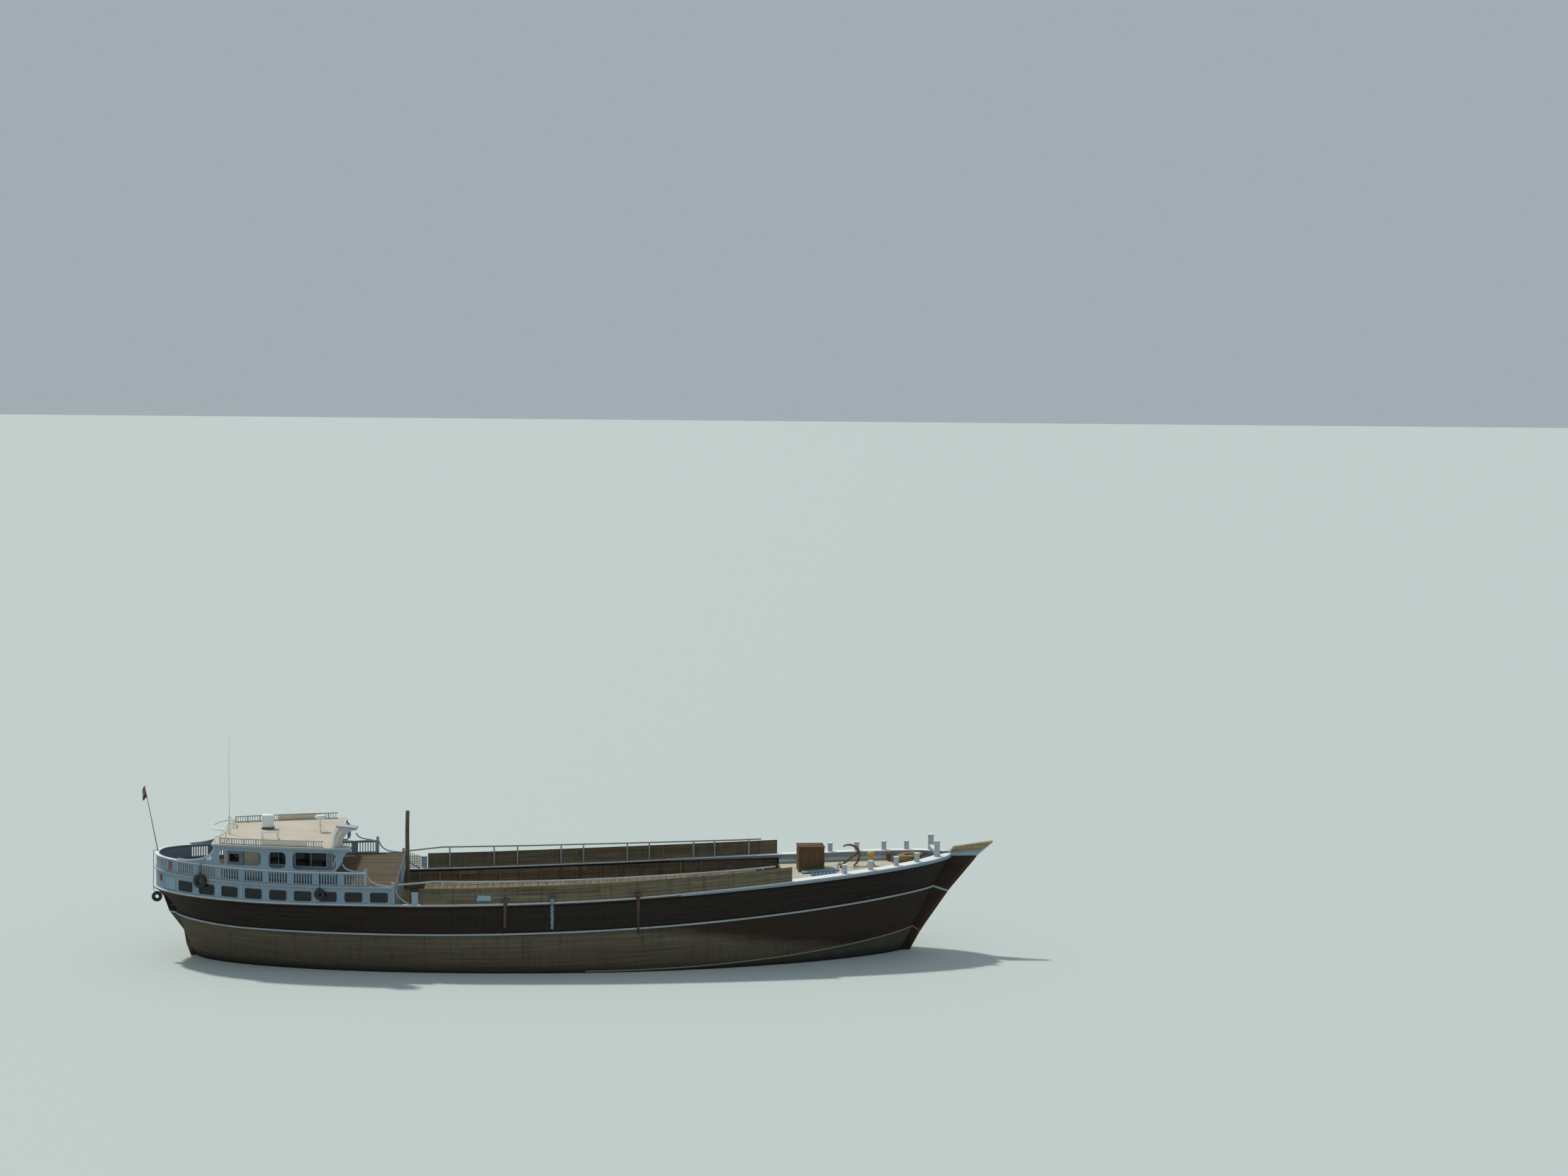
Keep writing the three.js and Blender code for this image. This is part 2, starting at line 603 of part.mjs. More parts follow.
function addPoopFront() {
  const base = mainDeckZ(POOP_FRONT_X) + SEAT;
  const head = midRailZ(POOP_FRONT_X) - POOP_DECK_THICK - SEAT;
  const [x0, x1] = [POOP_FRONT_X - 60, POOP_FRONT_X - 5];
  const lower = block(x0, x1, -3010, 3010, base, head);
  const upper = block(x0, x1, -3165, 3165, railTopZ(POOP_FRONT_X) + 5, head);
  const { y0, y1, thick } = POOP_DOOR;
  const [sill, lintel] = [base + 40, base + 40 + POOP_DOOR.height];
  const doorway = block(x0 - 50, x1 + 50, y0, y1, sill, lintel);
  const ports = [-2300, 1100, 1900, 2700].map((y) => block(x0 - 50, x1 + 50, y - 190, y + 190, 1990, 2290));
  add('poop_bulkhead', cut(join(lower, upper), [doorway, ...ports]), paleBlue);
  const leaf = block(x1 - thick, x1, y0 + 5, y1 - 5, sill + 5, lintel - 5);
  const pin = bar(x1, y0 + 11, sill + SEAT, lintel - SEAT, 8, 8, 8);
  add('poop_door', join(leaf, pin), creamPaint);
}

// Gallery walls, deckhouse and roof

const ROOF = { aft: -10600, fore: -7050, wingFore: -6560, under: 3550, top: 3620, overhang: 60 };
const GALLERY = { aftX: -11650, frontX: -6800, outer: 20, thick: 45 };
const BRACKET = { length: 240, height: 320, drop: 30 };
// Openings of the gallery walls: ends along x, bottom and top
const GALLERY_OPENINGS = [
  { aft: -10385, fore: -9145, low: 3035, high: 3460 },
  { aft: -8935, fore: -8420, low: 2985, high: 3465 },
  { aft: -8240, fore: -6970, low: 2965, high: 3475 },
];
const HOUSE = { aft: -10300, fore: -7150, aftHalf: 1560, foreHalf: 2330, thick: 50 };
const HOUSE_DOOR = { aft: -9700, fore: -9260, sill: 60, height: 880, thick: 40 };
const houseHalf = (x) => lerp(HOUSE.aftHalf, HOUSE.foreHalf, (x - HOUSE.aft) / (HOUSE.fore - HOUSE.aft));

function addGallery() {
  const head = ROOF.under - SEAT;
  const quarterDrop = (x) => {
    const t = clamp((x - GALLERY.aftX) / (ROOF.aft + 60 - GALLERY.aftX), 0, 1);
    return head - (head - topRailZ(x) - 45) * Math.sqrt(1 - t * t);
  };
  for (const { name, side } of SIDES) {
    const fore = side < 0 ? ROOF.wingFore : ROOF.fore;
    const extra = [-11500, -11300, -11000, -10800, -10680, -10600, -10560, -10539];
    const plan = planPath(side, fore, GALLERY.aftX);
    const wing = side < 0 ? [-6820, -6799, -6778, -6740, -6660, -6610] : [];
    const columns = [...plan.map(({ x }) => x), ...extra, ...wing].sort((a, b) => a - b);
    const path = columns.filter((x, i) => i === 0 || x - columns[i - 1] > 15).map((x) => {
      const slope = (sheerHalf(x + 5) - sheerHalf(x - 5)) / 10;
      const length = Math.hypot(1, slope);
      return { x, y: side * sheerHalf(x), out: [-slope / length, side / length] };
    });
    const bracket = (x) => {
      const t = clamp(1 - (x - GALLERY.frontX) / BRACKET.length, 0, 1);
      return head - BRACKET.drop - BRACKET.height * (1 - Math.sqrt(1 - t * t));
    };
    const bottom = (x) => (x > GALLERY.frontX ? bracket(x) : topRailZ(x) + SEAT);
    const wall = followPath(path, GALLERY.outer, GALLERY.outer + GALLERY.thick, bottom, quarterDrop);
    const openings = GALLERY_OPENINGS.map(({ aft, fore: front, low, high }) => {
      const x = (aft + front) / 2;
      const center = [x, side * sheerHalf(x), (low + high) / 2];
      return windowCutter(center, [0.1, side], front - aft, high - low, 130, 900);
    });
    const reach = [side * 1500, side * 2600].sort((a, b) => a - b);
    const light = profile([[-10840, 3120], [-10590, 3120], [-10590, 3400]], ...reach);
    add(`gallery_wall_${name}`, cut(wall, [...openings, light]), paleBlue);
  }
}

function addDeckhouse() {
  const { aft, fore, thick } = HOUSE;
  const head = ROOF.under - SEAT;
  const floor = (x) => midRailZ(x - 30) + SEAT;
  for (const { name, side } of SIDES) {
    const wall = loft([aft, ...between(aft, fore), fore].map((x) => {
      const [outer, inner] = [side * houseHalf(x), side * (houseHalf(x) - thick)];
      return [[x, outer, floor(x)], [x, outer, head], [x, inner, head], [x, inner, floor(x)]];
    }));
    const hole = (x0, x1, low, high) => {
      const y = side * houseHalf((x0 + x1) / 2);
      return block(x0, x1, y - 200, y + 200, low, high);
    };
    const sill = floor(HOUSE_DOOR.aft) + HOUSE_DOOR.sill;
    const holes = [
      hole(HOUSE_DOOR.aft, HOUSE_DOOR.fore, sill, sill + HOUSE_DOOR.height),
      hole(-10150, -9850, 3010, 3260),
      hole(-8950, -8450, 2990, 3400),
      hole(-8200, -7300, 2960, 3400),
    ];
    add(`deckhouse_wall_${name}`, cut(wall, holes), paleBlue);

    const doorFace = (x, inset) => [x, side * (houseHalf(x) - inset)];
    const leaf = loft([HOUSE_DOOR.aft + 5, HOUSE_DOOR.fore - 5].map((x) => {
      const [outer, inner] = [doorFace(x, 0), doorFace(x, HOUSE_DOOR.thick)];
      const [low, high] = [sill + 5, sill + HOUSE_DOOR.height - 5];
      return [[...outer, low], [...outer, high], [...inner, high], [...inner, low]];
    }));
    const hinge = doorFace(HOUSE_DOOR.fore - 11, 0);
    const pin = bar(...hinge, sill + SEAT, sill + HOUSE_DOOR.height - SEAT, 8, 8, 8);
    add(`deckhouse_door_${name}`, join(leaf, pin), creamPaint);
  }

  const foreHalf = houseHalf(fore - 60) - thick - SEAT;
  const front = block(fore - 60, fore, -foreHalf, foreHalf, floor(fore - 60), head);
  const panes = [-1680, -840, 0, 840, 1680].map((y) => block(fore - 100, fore + 50, y - 340, y + 340, 2960, 3400));
  add('wheelhouse_front', cut(front, panes), paleBlue);

  const aftHalf = houseHalf(aft) - thick - SEAT;
  const back = block(aft, aft + 50, -aftHalf, aftHalf, floor(aft), head);
  const backPanes = [-700, 700].map((y) => block(aft - 50, aft + 100, y - 250, y + 250, 3000, 3300));
  add('deckhouse_aft_wall', cut(back, backPanes), paleBlue);
}

function addRoof() {
  const { aft, fore, wingFore, under, top, overhang } = ROOF;
  const edge = (x) => sheerHalf(x) + overhang - 20;
  const along = STATIONS.filter((x) => x > aft && x < fore);
  const starboard = [aft, ...along, fore, wingFore].map((x) => [x, -edge(x)]);
  const port = [aft, ...along, fore].map((x) => [x, edge(x)]).reverse();
  add('roof', plate([...starboard, [wingFore, -2480], [fore, -2480], ...port], under, top), creamPaint);

  for (const { name, side } of SIDES) {
    const wall = 24;
    const inset = 70;
    const path = planPath(side, -7350, -10400);
    const fence = followPath(path, inset, inset + wall, () => top + SEAT, () => top + 185);
    const spaces = [-10150, -9860, -9570, -9280, -7700, -7480].map((x) => {
      const y = side * (sheerHalf(x) - inset);
      return block(x - 110, x + 110, y - 120, y + 120, top + 40, top + 150);
    });
    add(`roof_parapet_${name}`, cut(fence, spaces), whitePaint);
  }

  add('sidelight_hood', profile([
    [-7110, top + SEAT], [-7090, 3850], [-7040, 4050], [-6965, 4235], [-6618, 4200], [-6380, 4170],
    [-6400, 4130], [-6560, 4095], [-6680, 4010], [-6770, 3880], [-6830, 3740], [-6840, top + SEAT],
  ], -2990, -2500), whitePaint);

  const lockerBase = block(-9430, -9085, 600, 960, top + SEAT, top + 70);
  const lockerBody = block(-9415, -9100, 620, 940, top + 60, 4050);
  add('roof_locker', join(lockerBase, lockerBody), creamPaint);

  const post = bar(-7660, 150, top + SEAT, 4020, 20);
  const drum = bar(-7660, 150, 4010, 4125, 165, 150, 16);
  const foot = bar(-7660, 150, top + SEAT, top + 30, 60);
  add('radar_mast', join(foot, post, drum), whitePaint);

  const whip = bar(-10290, -250, 4140, 6570, 12, 5, 6);
  const stump = bar(-10290, -250, top + SEAT, 4150, 32, 26, 8);
  add('antenna', join(stump, whip), whitePaint);

  const cusp = 1025;
  const lobe = Array.from({ length: 9 }, (_, k) => {
    const angle = (Math.PI * k) / 8;
    return [-10300 - 480 * Math.sin(angle), -cusp * Math.cos(angle), 3850];
  });
  const pieces = [tube(lobe, 24, 6)];
  for (const { side } of SIDES) {
    const half = Array.from({ length: 5 }, (_, k) => {
      const angle = (Math.PI / 2) * (k / 4);
      return [-10520 + 230 * Math.cos(angle), side * (cusp - 20 + 960 * Math.sin(angle)), 3850 - 60 * (k / 4)];
    });
    pieces.push(tube(half, 24, 6));
    pieces.push(bar(-10300, side * cusp, top + SEAT, 3855, 22, 22, 8));
    pieces.push(bar(-10520, side * (cusp + 930), top + SEAT, 3800, 22, 22, 8));
  }
  add('aft_roof_rail', join(...pieces), whitePaint);
}

// Steering gear and propeller

const HELM = { x: -7560, z: 3040, radius: 240 };

function addSteering() {
  const blade = profile([
    [RUDDER_X + 130, -430], [RUDDER_X + 150, -1560], [RUDDER_X - 520, -1560], [RUDDER_X - 600, -1300],
    [RUDDER_X - 560, -480], [RUDDER_X - 500, -400],
  ], -32, 32);
  const stock = bar(RUDDER_X, 0, RABBET_Z + GAP, -150 - GAP, 45, 45, 12);
  add('rudder', join(blade, stock), weathered);

  const stand = block(HELM.x + 40, HELM.x + 200, -130, 130, midRailZ(HELM.x) + SEAT, HELM.z + 90);
  const axle = new THREE.CylinderGeometry(22, 22, 60, 10).rotateZ(Math.PI / 2).translate(HELM.x + 20, 0, HELM.z);
  add('helm_stand', join(stand, axle), planks);

  const rim = new THREE.TorusGeometry(HELM.radius - 60, 16, 6, 20).rotateY(Math.PI / 2);
  const hub = new THREE.CylinderGeometry(48, 48, 34, 12).rotateZ(Math.PI / 2);
  const spokes = [0, 1, 2, 3].map((k) => block(-9, 9, -9, 9, -HELM.radius, HELM.radius).rotateX((Math.PI * k) / 4));
  const wheel = join(rim, hub, ...spokes).translate(HELM.x - 10 - 17 - GAP, 0, HELM.z);
  add('helm_wheel', wheel, planks);
}

function addPropeller() {
  const PROP_X = -10880;
  const hub = new THREE.CylinderGeometry(62, 78, 190, 12).rotateZ(Math.PI / 2).translate(PROP_X, 0, SHAFT_Z);
  const shaft = new THREE.CylinderGeometry(38, 38, 100, 10).rotateZ(Math.PI / 2);
  shaft.translate(-10750.5, 0, SHAFT_Z);
  const edge = [[70, 40], [150, 200], [165, 330], [110, 440]];
  const outline = [...edge.map(([x, z]) => [-x, z]), [0, 475], ...edge.reverse()];
  const blades = [0, 1, 2, 3].map((k) => {
    const blade = profile(outline, -9, 9).rotateZ(Math.PI / 2 - 0.75);
    return blade.rotateX((Math.PI * k) / 2).translate(PROP_X, 0, SHAFT_Z);
  });
  add('propeller', join(hub, shaft, ...blades), bronze);
}

// Mast and deck fittings

function addFittings() {
  const mastX = -5085;
  const mastFoot = mainDeckZ(mastX + 110) + SEAT;
  const spindle = bar(mastX, 0, mastFoot, 4265, 63, 52, 12);
  const partner = block(mastX - 110, mastX + 110, -160, 160, mastFoot, mastFoot + 90);
  add('mast', join(spindle, partner), spar);

  const bittsX = 10705;
  const bittsBase = railTopZ(bittsX + 100) + SEAT;
  const pair = [-1, 1].map((side) => bar(bittsX, side * 660, bittsBase - 20, bittsBase + 475, 100, 95, 12));
  const beam = block(bittsX - 60, bittsX + 60, -620, 620, bittsBase + 60, bittsBase + 170);
  add('bow_bitts', cut(join(...pair, beam), [railBody().translate(0, 0, SEAT)]), whitePaint);

  const headZ = sheerCurve(LINES.sheer.fore) + SEAT;
  add('stem_head', profile([
    [11155, headZ], [12014, headZ], [12460, 3235], [12085, 3035], [11190, 2975], [11155, 2975],
  ], -62, 62), whitePaint);
  add('stem_cap', profile([
    [11192, 2976], [12085, 3036], [12459.5, 3236], [12500, 3290], [11308, 3125],
  ], -105, 105), deckBoards);

  const bollardX = 8850;
  const rings = [
    [0, 0], [150, 0], [150, 25], [75, 60], [62, 260], [135, 330], [140, 400], [90, 440], [0, 445],
  ];
  const bollard = new THREE.LatheGeometry(rings.map(([r, z]) => new THREE.Vector2(r, z)), 14);
  add('bollard', layOn(join(bollard.rotateX(Math.PI / 2).translate(bollardX, 466, 0)), foredeckZ), ochreIron);

  const anchorY = 700;
  const arm = Array.from({ length: 7 }, (_, k) => {
    const angle = lerp(1.9, -0.95, k / 6);
    return [8170 + 350 * Math.cos(angle), anchorY, 2745 + 350 * Math.sin(angle)];
  });
  const shank = tube([[8490, anchorY, 2860], [7930, anchorY, 2455]], 34, 8, 26);
  const palms = [0, 6].map((k) => block(-70, 70, -85, 85, -8, 8).rotateY(k ? 1.2 : -0.35).translate(...arm[k]));
  const stock = tube([[7960, anchorY - 330, 2480], [7960, anchorY + 330, 2480]], 22, 8);
  const anchor = join(tube(arm, 32, 8), shank, stock, ...palms);
  add('anchor', layOn(anchor, foredeckZ), ochreIron);
}

function addCompanion() {
  const [x0, x1, y0, y1, wall] = [6650, 7430, 450, 1250, 40];
  const base = foredeckZ(x1) + 5;
  const height = 690;
  const shell = block(x0, x1, y0, y1, foredeckZ(x0) - 20, base + height);
  const lower = plateUnderCut(x0, x1, y0, y1);
  const inside = block(x0 + wall, x1 - wall, y0 - 50, y1 - wall, base + 60, base + height - wall);
  add('companion_house', cut(shell, [inside, lower]), planks);
  const [low, high] = [base + 60, base + height - wall];
  const leaf = block(x0 + wall + 5, x1 - wall - 5, y0, y0 + 32, low + 5, high - 5);
  const pin = bar(x1 - wall - 11, y0, low + SEAT, high - SEAT, 8, 8, 8);
  add('companion_door', join(leaf, pin), planks);
}

// Takes away what would lie below the sloping foredeck
function plateUnderCut(x0, x1, y0, y1) {
  const pad = 30;
  return loft([x0 - pad, ...between(x0 - pad, x1 + pad), x1 + pad].map((x) => {
    const top = foredeckZ(x) + SEAT;
    return [[x, y0 - pad, 2000], [x, y0 - pad, top], [x, y1 + pad, top], [x, y1 + pad, 2000]];
  }));
}

// Tyre fenders: where the tyre hangs, its size and the height of the rail that holds its lanyard
function addFenders() {
  const fenders = [
    { x: -10891, z: 2530, radius: 205, tube: 62, out: 30 },
    { x: -7440, z: 2290, radius: 155, tube: 50, out: -10 },
  ];
  fenders.forEach(({ x, z, radius, tube: thick, out }, k) => {
    const angle = Math.atan((sheerHalf(x + 5) - sheerHalf(x - 5)) / 10);
    const away = -(thick + out);
    const hookZ = topRailZ(x - 12) + GAP - z;
    const ring = new THREE.TorusGeometry(radius - thick, thick, 8, 18).rotateX(Math.PI / 2);
    ring.translate(0, away, 0);
    const lanyard = block(-8, 8, away - 8, away + 8, radius - 20, hookZ + 16);
    const hook = block(-8, 8, away - 8, 12, hookZ, hookZ + 16);
    const all = join(ring, lanyard, hook).rotateZ(-angle).translate(x, -sheerHalf(x), z);
    add(`tyre_fender_${k + 1}`, all, blackRubber);
  });
  const rimX = LINES.sheer.aft;
  const railTop = railTopZ(rimX) + SEAT;
  const sternRing = new THREE.TorusGeometry(150 - 48, 48, 8, 18).rotateX(Math.PI / 2);
  sternRing.translate(-12390, -300, 1790);
  const sternLanyard = block(-12530, -12514, -60, -44, 1850, railTop + 16);
  const reach = block(-12530, -12480, -308, -44, 1850, 1866);
  const over = block(-12530, rimX + 10, -60, -44, railTop, railTop + 16);
  add('tyre_fender_3', join(sternRing, sternLanyard, reach, over), blackRubber);
}

function addEnsign() {
  const foot = [-12400, 0, topRailZ(-12440) + 3.4];
  const head = [-12775, 0, 5040];
  add('flagstaff', tube([foot, head], 15, 8, 8), spar);
  const along = (z) => (z - foot[2]) / (head[2] - foot[2]);
  const hoist = (z) => lerp(foot[0] - 15.4, head[0] - 8.4, along(z));
  add('flag', profile([
    [hoist(5020), 5020], [hoist(4700), 4700], [hoist(4700) - 60, 4560], [hoist(4700) - 130, 4600],
    [hoist(4700) - 120, 4760], [hoist(5020) - 40, 4960],
  ], -5, 5), flagCloth);
}

function addRope() {
  const [x, y] = [10010, 430];
  const section = [[150, 0], [400, 0], [430, 120], [370, 240], [200, 260], [140, 140], [150, 0]];
  const coil = new THREE.LatheGeometry(section.map(([r, z]) => new THREE.Vector2(r, z)), 20);
  add('rope_coil', layOn(join(coil.rotateX(Math.PI / 2).translate(x, y, 0)), foredeckZ), ropeFibre);
}

addBackbone();
addHull();
addDecks();
addHatch();
addSheerRail();
addWales();
addBulwarks();
addPoop();
addPoopFront();
addGallery();
addDeckhouse();
addRoof();
addSteering();
addPropeller();
addFittings();
addCompanion();
addFenders();
addEnsign();
addRope();

export default dhow;
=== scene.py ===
"""Cargo dhow at 1:2 scale: planked hull, two-tier poop, deckhouse, bulwarks and deck gear.

Metres, +X towards the bow, +Y to port, +Z up, the waterline at height 0.
"""

import contextlib
import json
import random
from math import atan, ceil, cos, pi, radians, sin, sqrt

import bpy
import numpy as np
from mathutils import Matrix, Vector

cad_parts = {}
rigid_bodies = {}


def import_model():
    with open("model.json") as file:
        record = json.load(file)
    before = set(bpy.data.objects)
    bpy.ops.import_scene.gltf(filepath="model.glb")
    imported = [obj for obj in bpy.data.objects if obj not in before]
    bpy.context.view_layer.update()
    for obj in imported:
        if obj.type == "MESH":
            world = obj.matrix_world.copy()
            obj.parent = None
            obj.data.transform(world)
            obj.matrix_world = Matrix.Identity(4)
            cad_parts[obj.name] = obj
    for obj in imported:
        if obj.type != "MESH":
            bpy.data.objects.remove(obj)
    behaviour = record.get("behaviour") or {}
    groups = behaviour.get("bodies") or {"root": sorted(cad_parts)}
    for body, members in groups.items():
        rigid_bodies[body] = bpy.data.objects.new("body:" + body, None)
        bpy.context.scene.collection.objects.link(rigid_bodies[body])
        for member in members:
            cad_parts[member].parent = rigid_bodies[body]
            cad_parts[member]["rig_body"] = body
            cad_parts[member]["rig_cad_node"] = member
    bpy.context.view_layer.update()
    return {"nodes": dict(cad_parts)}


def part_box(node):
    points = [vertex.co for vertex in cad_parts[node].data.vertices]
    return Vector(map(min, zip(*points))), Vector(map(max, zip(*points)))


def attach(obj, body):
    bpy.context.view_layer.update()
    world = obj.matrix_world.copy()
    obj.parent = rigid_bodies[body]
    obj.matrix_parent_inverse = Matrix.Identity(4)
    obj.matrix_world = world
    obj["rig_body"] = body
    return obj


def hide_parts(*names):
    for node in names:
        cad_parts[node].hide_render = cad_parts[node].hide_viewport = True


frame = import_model()
chance = random.Random(11)
QUARTER_TURN = pi / 2

# The photograph's frame and the camera that took it
PHOTO_WIDTH = 2212
FOCAL_PIXELS = 4000
SENSOR = 36.0
CAMERA_PLACE = (-1.19, -84.341, 16.216)
CAMERA_YAW, CAMERA_PITCH, CAMERA_ROLL = (radians(v) for v in (4.931, 3.569, 0.517))

# Level lines of the hull: ends, greatest half-breadth, and the exponents of the curves aft and fore
SHEER = (-12.44, 11.165, 3.476, 2.2, 2.3, 1.6, 2.0)
KNUCKLE = (-12.13, 10.97, 3.44, 2.35, 1.75, 1.75, 1.6)
WALE = (-11.82, 10.675, 3.357, 2.6, 1.4, 1.95, 1.33)
WATER = (-11.23, 9.7, 3.293, 2.2, 1.6, 1.93, 1.29)
# Levels below the water: height, ends, share of the waterline's breadth amidships and at the ends
BOTTOM_LEVELS = [
    (-0.5, -10.75, 9.43, 0.985, 0.72),
    (-1.0, -10.35, 9.0, 0.93, 0.45),
    (-1.35, -10.3, 8.45, 0.76, 0.26),
    (-1.55, -10.3, 7.95, 0.5, 0.16),
    (-1.65, -10.3, 7.6, 0.0, 0.0),
]
MIDSHIP_X = -0.5
POST_HALF, KEEL_HALF, LEAST_ROOM = 0.075, 0.09, 0.012
KNUCKLE_SHARE = 0.6
SKIN_THICK = 0.12
FOREDECK_AFT_X, POOP_FRONT_X = 6.2, -5.3
MAIN_DECK_DROP, FOREDECK_DROP = 0.525, 0.175

# Boot line: a thin batten that comes out of the water amidships and climbs towards the stem
BOOT_AFT_Z, BOOT_RISE, BOOT_FORE_X, BOOT_POWER = 0.05, 0.675, 9.97, 2.3
# Fore edge of the stem: its foot at the waterline, its lean and curve, and the scraped strip's width
STEM_FOOT_X, STEM_LEAN, STEM_CURVE, STEM_STRIP = 9.99, 0.543, 0.061, 0.15
# After edge of the sternpost: its foot at the waterline and its rake
STERN_FOOT_X, STERN_RAKE = -11.45, -0.46

SEAM_DEPTH = 0.004
TOPSIDE_PLANKS, BOTTOM_PLANKS = 6, 36
HULL_COLUMNS = 180
FLAG_LONG, FLAG_DEEP = 0.56, 0.36


# Heights along the boat

def risen(base, *rises):
    """Height as a function of x: a base and rises, each with its start, signed length, gain and power."""
    return lambda x: base + 0 * x + sum(gain * np.maximum(0.0, (x - start) / length) ** power
                                        for start, length, gain, power in rises)


POOP_RISE = (-7.5, -5.0, 0.185, 1.7)
sheer_z = risen(1.95, (-8.0, -4.5, 0.15, 2), (-5.0, 16.15, 0.9, 1.75))
wale_z = risen(1.125, (-9.5, -2.5, 0.16, 2), (-5.0, 15.65, 0.825, 1.9))
mid_rail_z = risen(2.515, POOP_RISE)
top_rail_z = risen(2.925, POOP_RISE)


def above(curve, height):
    return lambda x: curve(x) + height


main_deck_z = above(sheer_z, -MAIN_DECK_DROP)
foredeck_z = above(sheer_z, -FOREDECK_DROP)


def knuckle_z(x):
    return wale_z(x) + KNUCKLE_SHARE * (sheer_z(x) - wale_z(x))


def rail_thick(x):
    return 0.06 + 0.05 * np.clip((x - 1.5) / 5.0, 0, 1)


def rail_top_z(x):
    return sheer_z(x) + rail_thick(x)


# Plan of the hull

def half_breadth(line, x):
    aft, fore, half, aft_round, aft_full, fore_round, fore_full = line
    t_aft = np.clip((MIDSHIP_X - x) / (MIDSHIP_X - aft), 0, 1)
    t_fore = np.clip((x - MIDSHIP_X) / (fore - MIDSHIP_X), 0, 1)
    to_stern = (1 - t_aft ** aft_round) ** (1 / aft_full)
    to_stem = (1 - t_fore ** fore_round) ** (1 / fore_full)
    return POST_HALF + (half - POST_HALF) * np.where(x < MIDSHIP_X, to_stern, to_stem)


def side_y(x):
    """Half-breadth of the sheer line, on which everything above the hull stands."""
    return half_breadth(SHEER, x)


def closer_at_ends(count, share=0.97):
    t = np.linspace(0, 1, count)
    return t - share * np.sin(2 * pi * t) / (2 * pi)


def between(line, share):
    """Places along the boat at shares of a line's length."""
    return line[0] + (line[1] - line[0]) * share


def run_of(points):
    """Distance gone along a path at each of its points."""
    return np.concatenate([[0.0], np.cumsum(np.linalg.norm(np.diff(points, axis=0), axis=1))])


PLAN_X = between(SHEER, np.concatenate([[0.0], closer_at_ends(1500, 0.9995)]))
PLAN_Y = np.concatenate([[0.0], side_y(PLAN_X[1:])])
PLAN_S = run_of(np.stack([PLAN_X, PLAN_Y], axis=1))


def s_at(x):
    """Distance along the sheer line from the middle of the stern, for a place on the port side."""
    return np.interp(x, PLAN_X[1:], PLAN_S[1:])


def along_plan(s, step=0.03):
    """Point of the sheer line and its outward direction at distance s; s is negative to starboard."""
    def spot(distance):
        size = np.abs(distance)
        return np.interp(size, PLAN_S, PLAN_X), np.sign(distance) * np.interp(size, PLAN_S, PLAN_Y)

    (x, y), (x0, y0), (x1, y1) = spot(s), spot(s - step), spot(s + step)
    length = np.hypot(x1 - x0, y1 - y0)
    return x, y, -(y1 - y0) / length, (x1 - x0) / length


def outside(s, out):
    """Place in plan at a distance along the sheer line and a distance outside it."""
    x, y, nx, ny = along_plan(s)
    return x + nx * out, y + ny * out


FRONT_S = s_at(POOP_FRONT_X)


def blend(up):
    """Weights of the wale, knuckle and sheer lines at a share of the height from wale to sheer."""
    k = KNUCKLE_SHARE
    return (up - k) * (up - 1) / k, up * (up - 1) / (k * (k - 1)), up * (up - k) / (1 - k)


def topside_half(x, z):
    """Half-breadth of the topside at a place along the boat and a height."""
    up = np.minimum((z - wale_z(x)) / (sheer_z(x) - wale_z(x)), 1)
    return sum(half_breadth(line, x) * weight for line, weight in zip((WALE, KNUCKLE, SHEER), blend(up)))


def inner_half(x, z):
    """Half the room between the topside planks at a place along the boat and a height."""
    return np.maximum(topside_half(x, np.maximum(z, wale_z(x))) - SKIN_THICK, LEAST_ROOM)


def level_point(line, share, height):
    x = between(line, share)
    return np.stack([x, half_breadth(line, x), height(x)], axis=-1)


def bottom_point(row, share):
    z, aft, fore, mid_share, end_share = row
    x = between((aft, fore), share)
    fullness = (4 * share * (1 - share)) ** 0.7
    breadth = half_breadth(WATER, between(WATER, share)) * (end_share + (mid_share - end_share) * fullness)
    least = KEEL_HALF if mid_share == 0 else POST_HALF
    return np.stack([x, np.maximum(least, breadth), z + 0 * x], axis=-1)


def topside_grid(share, up):
    """Points of the topside at shares of the length and of the height from wale to sheer."""
    rows = [level_point(line, share, height) for line, height in
            ((WALE, wale_z), (KNUCKLE, knuckle_z), (SHEER, sheer_z))]
    return sum(row[:, None, :] * weight[None, :, None] for row, weight in zip(rows, blend(up)))


def bottom_grid(share, down):
    """Points of the bottom at shares of the length and of the girth from wale to keel."""
    rows = [level_point(WALE, share, wale_z), level_point(WATER, share, risen(0.0))]
    rows += [bottom_point(row, share) for row in BOTTOM_LEVELS]
    knots = np.stack(rows, axis=1)
    grid = np.zeros((len(share), len(down), 3))
    for i, column in enumerate(knots):
        girth = run_of(column)
        slope = np.gradient(column, girth, axis=0)
        at = down * girth[-1]
        k = np.clip(np.searchsorted(girth, at, side="right") - 1, 0, len(girth) - 2)
        span = (girth[k + 1] - girth[k])[:, None]
        t = (at - girth[k])[:, None] / span
        grid[i] = ((1 + 2 * t) * (1 - t) ** 2 * column[k] + t * (1 - t) ** 2 * span * slope[k]
                   + t * t * (3 - 2 * t) * column[k + 1] - t * t * (1 - t) * span * slope[k + 1])
    return grid


# Camera

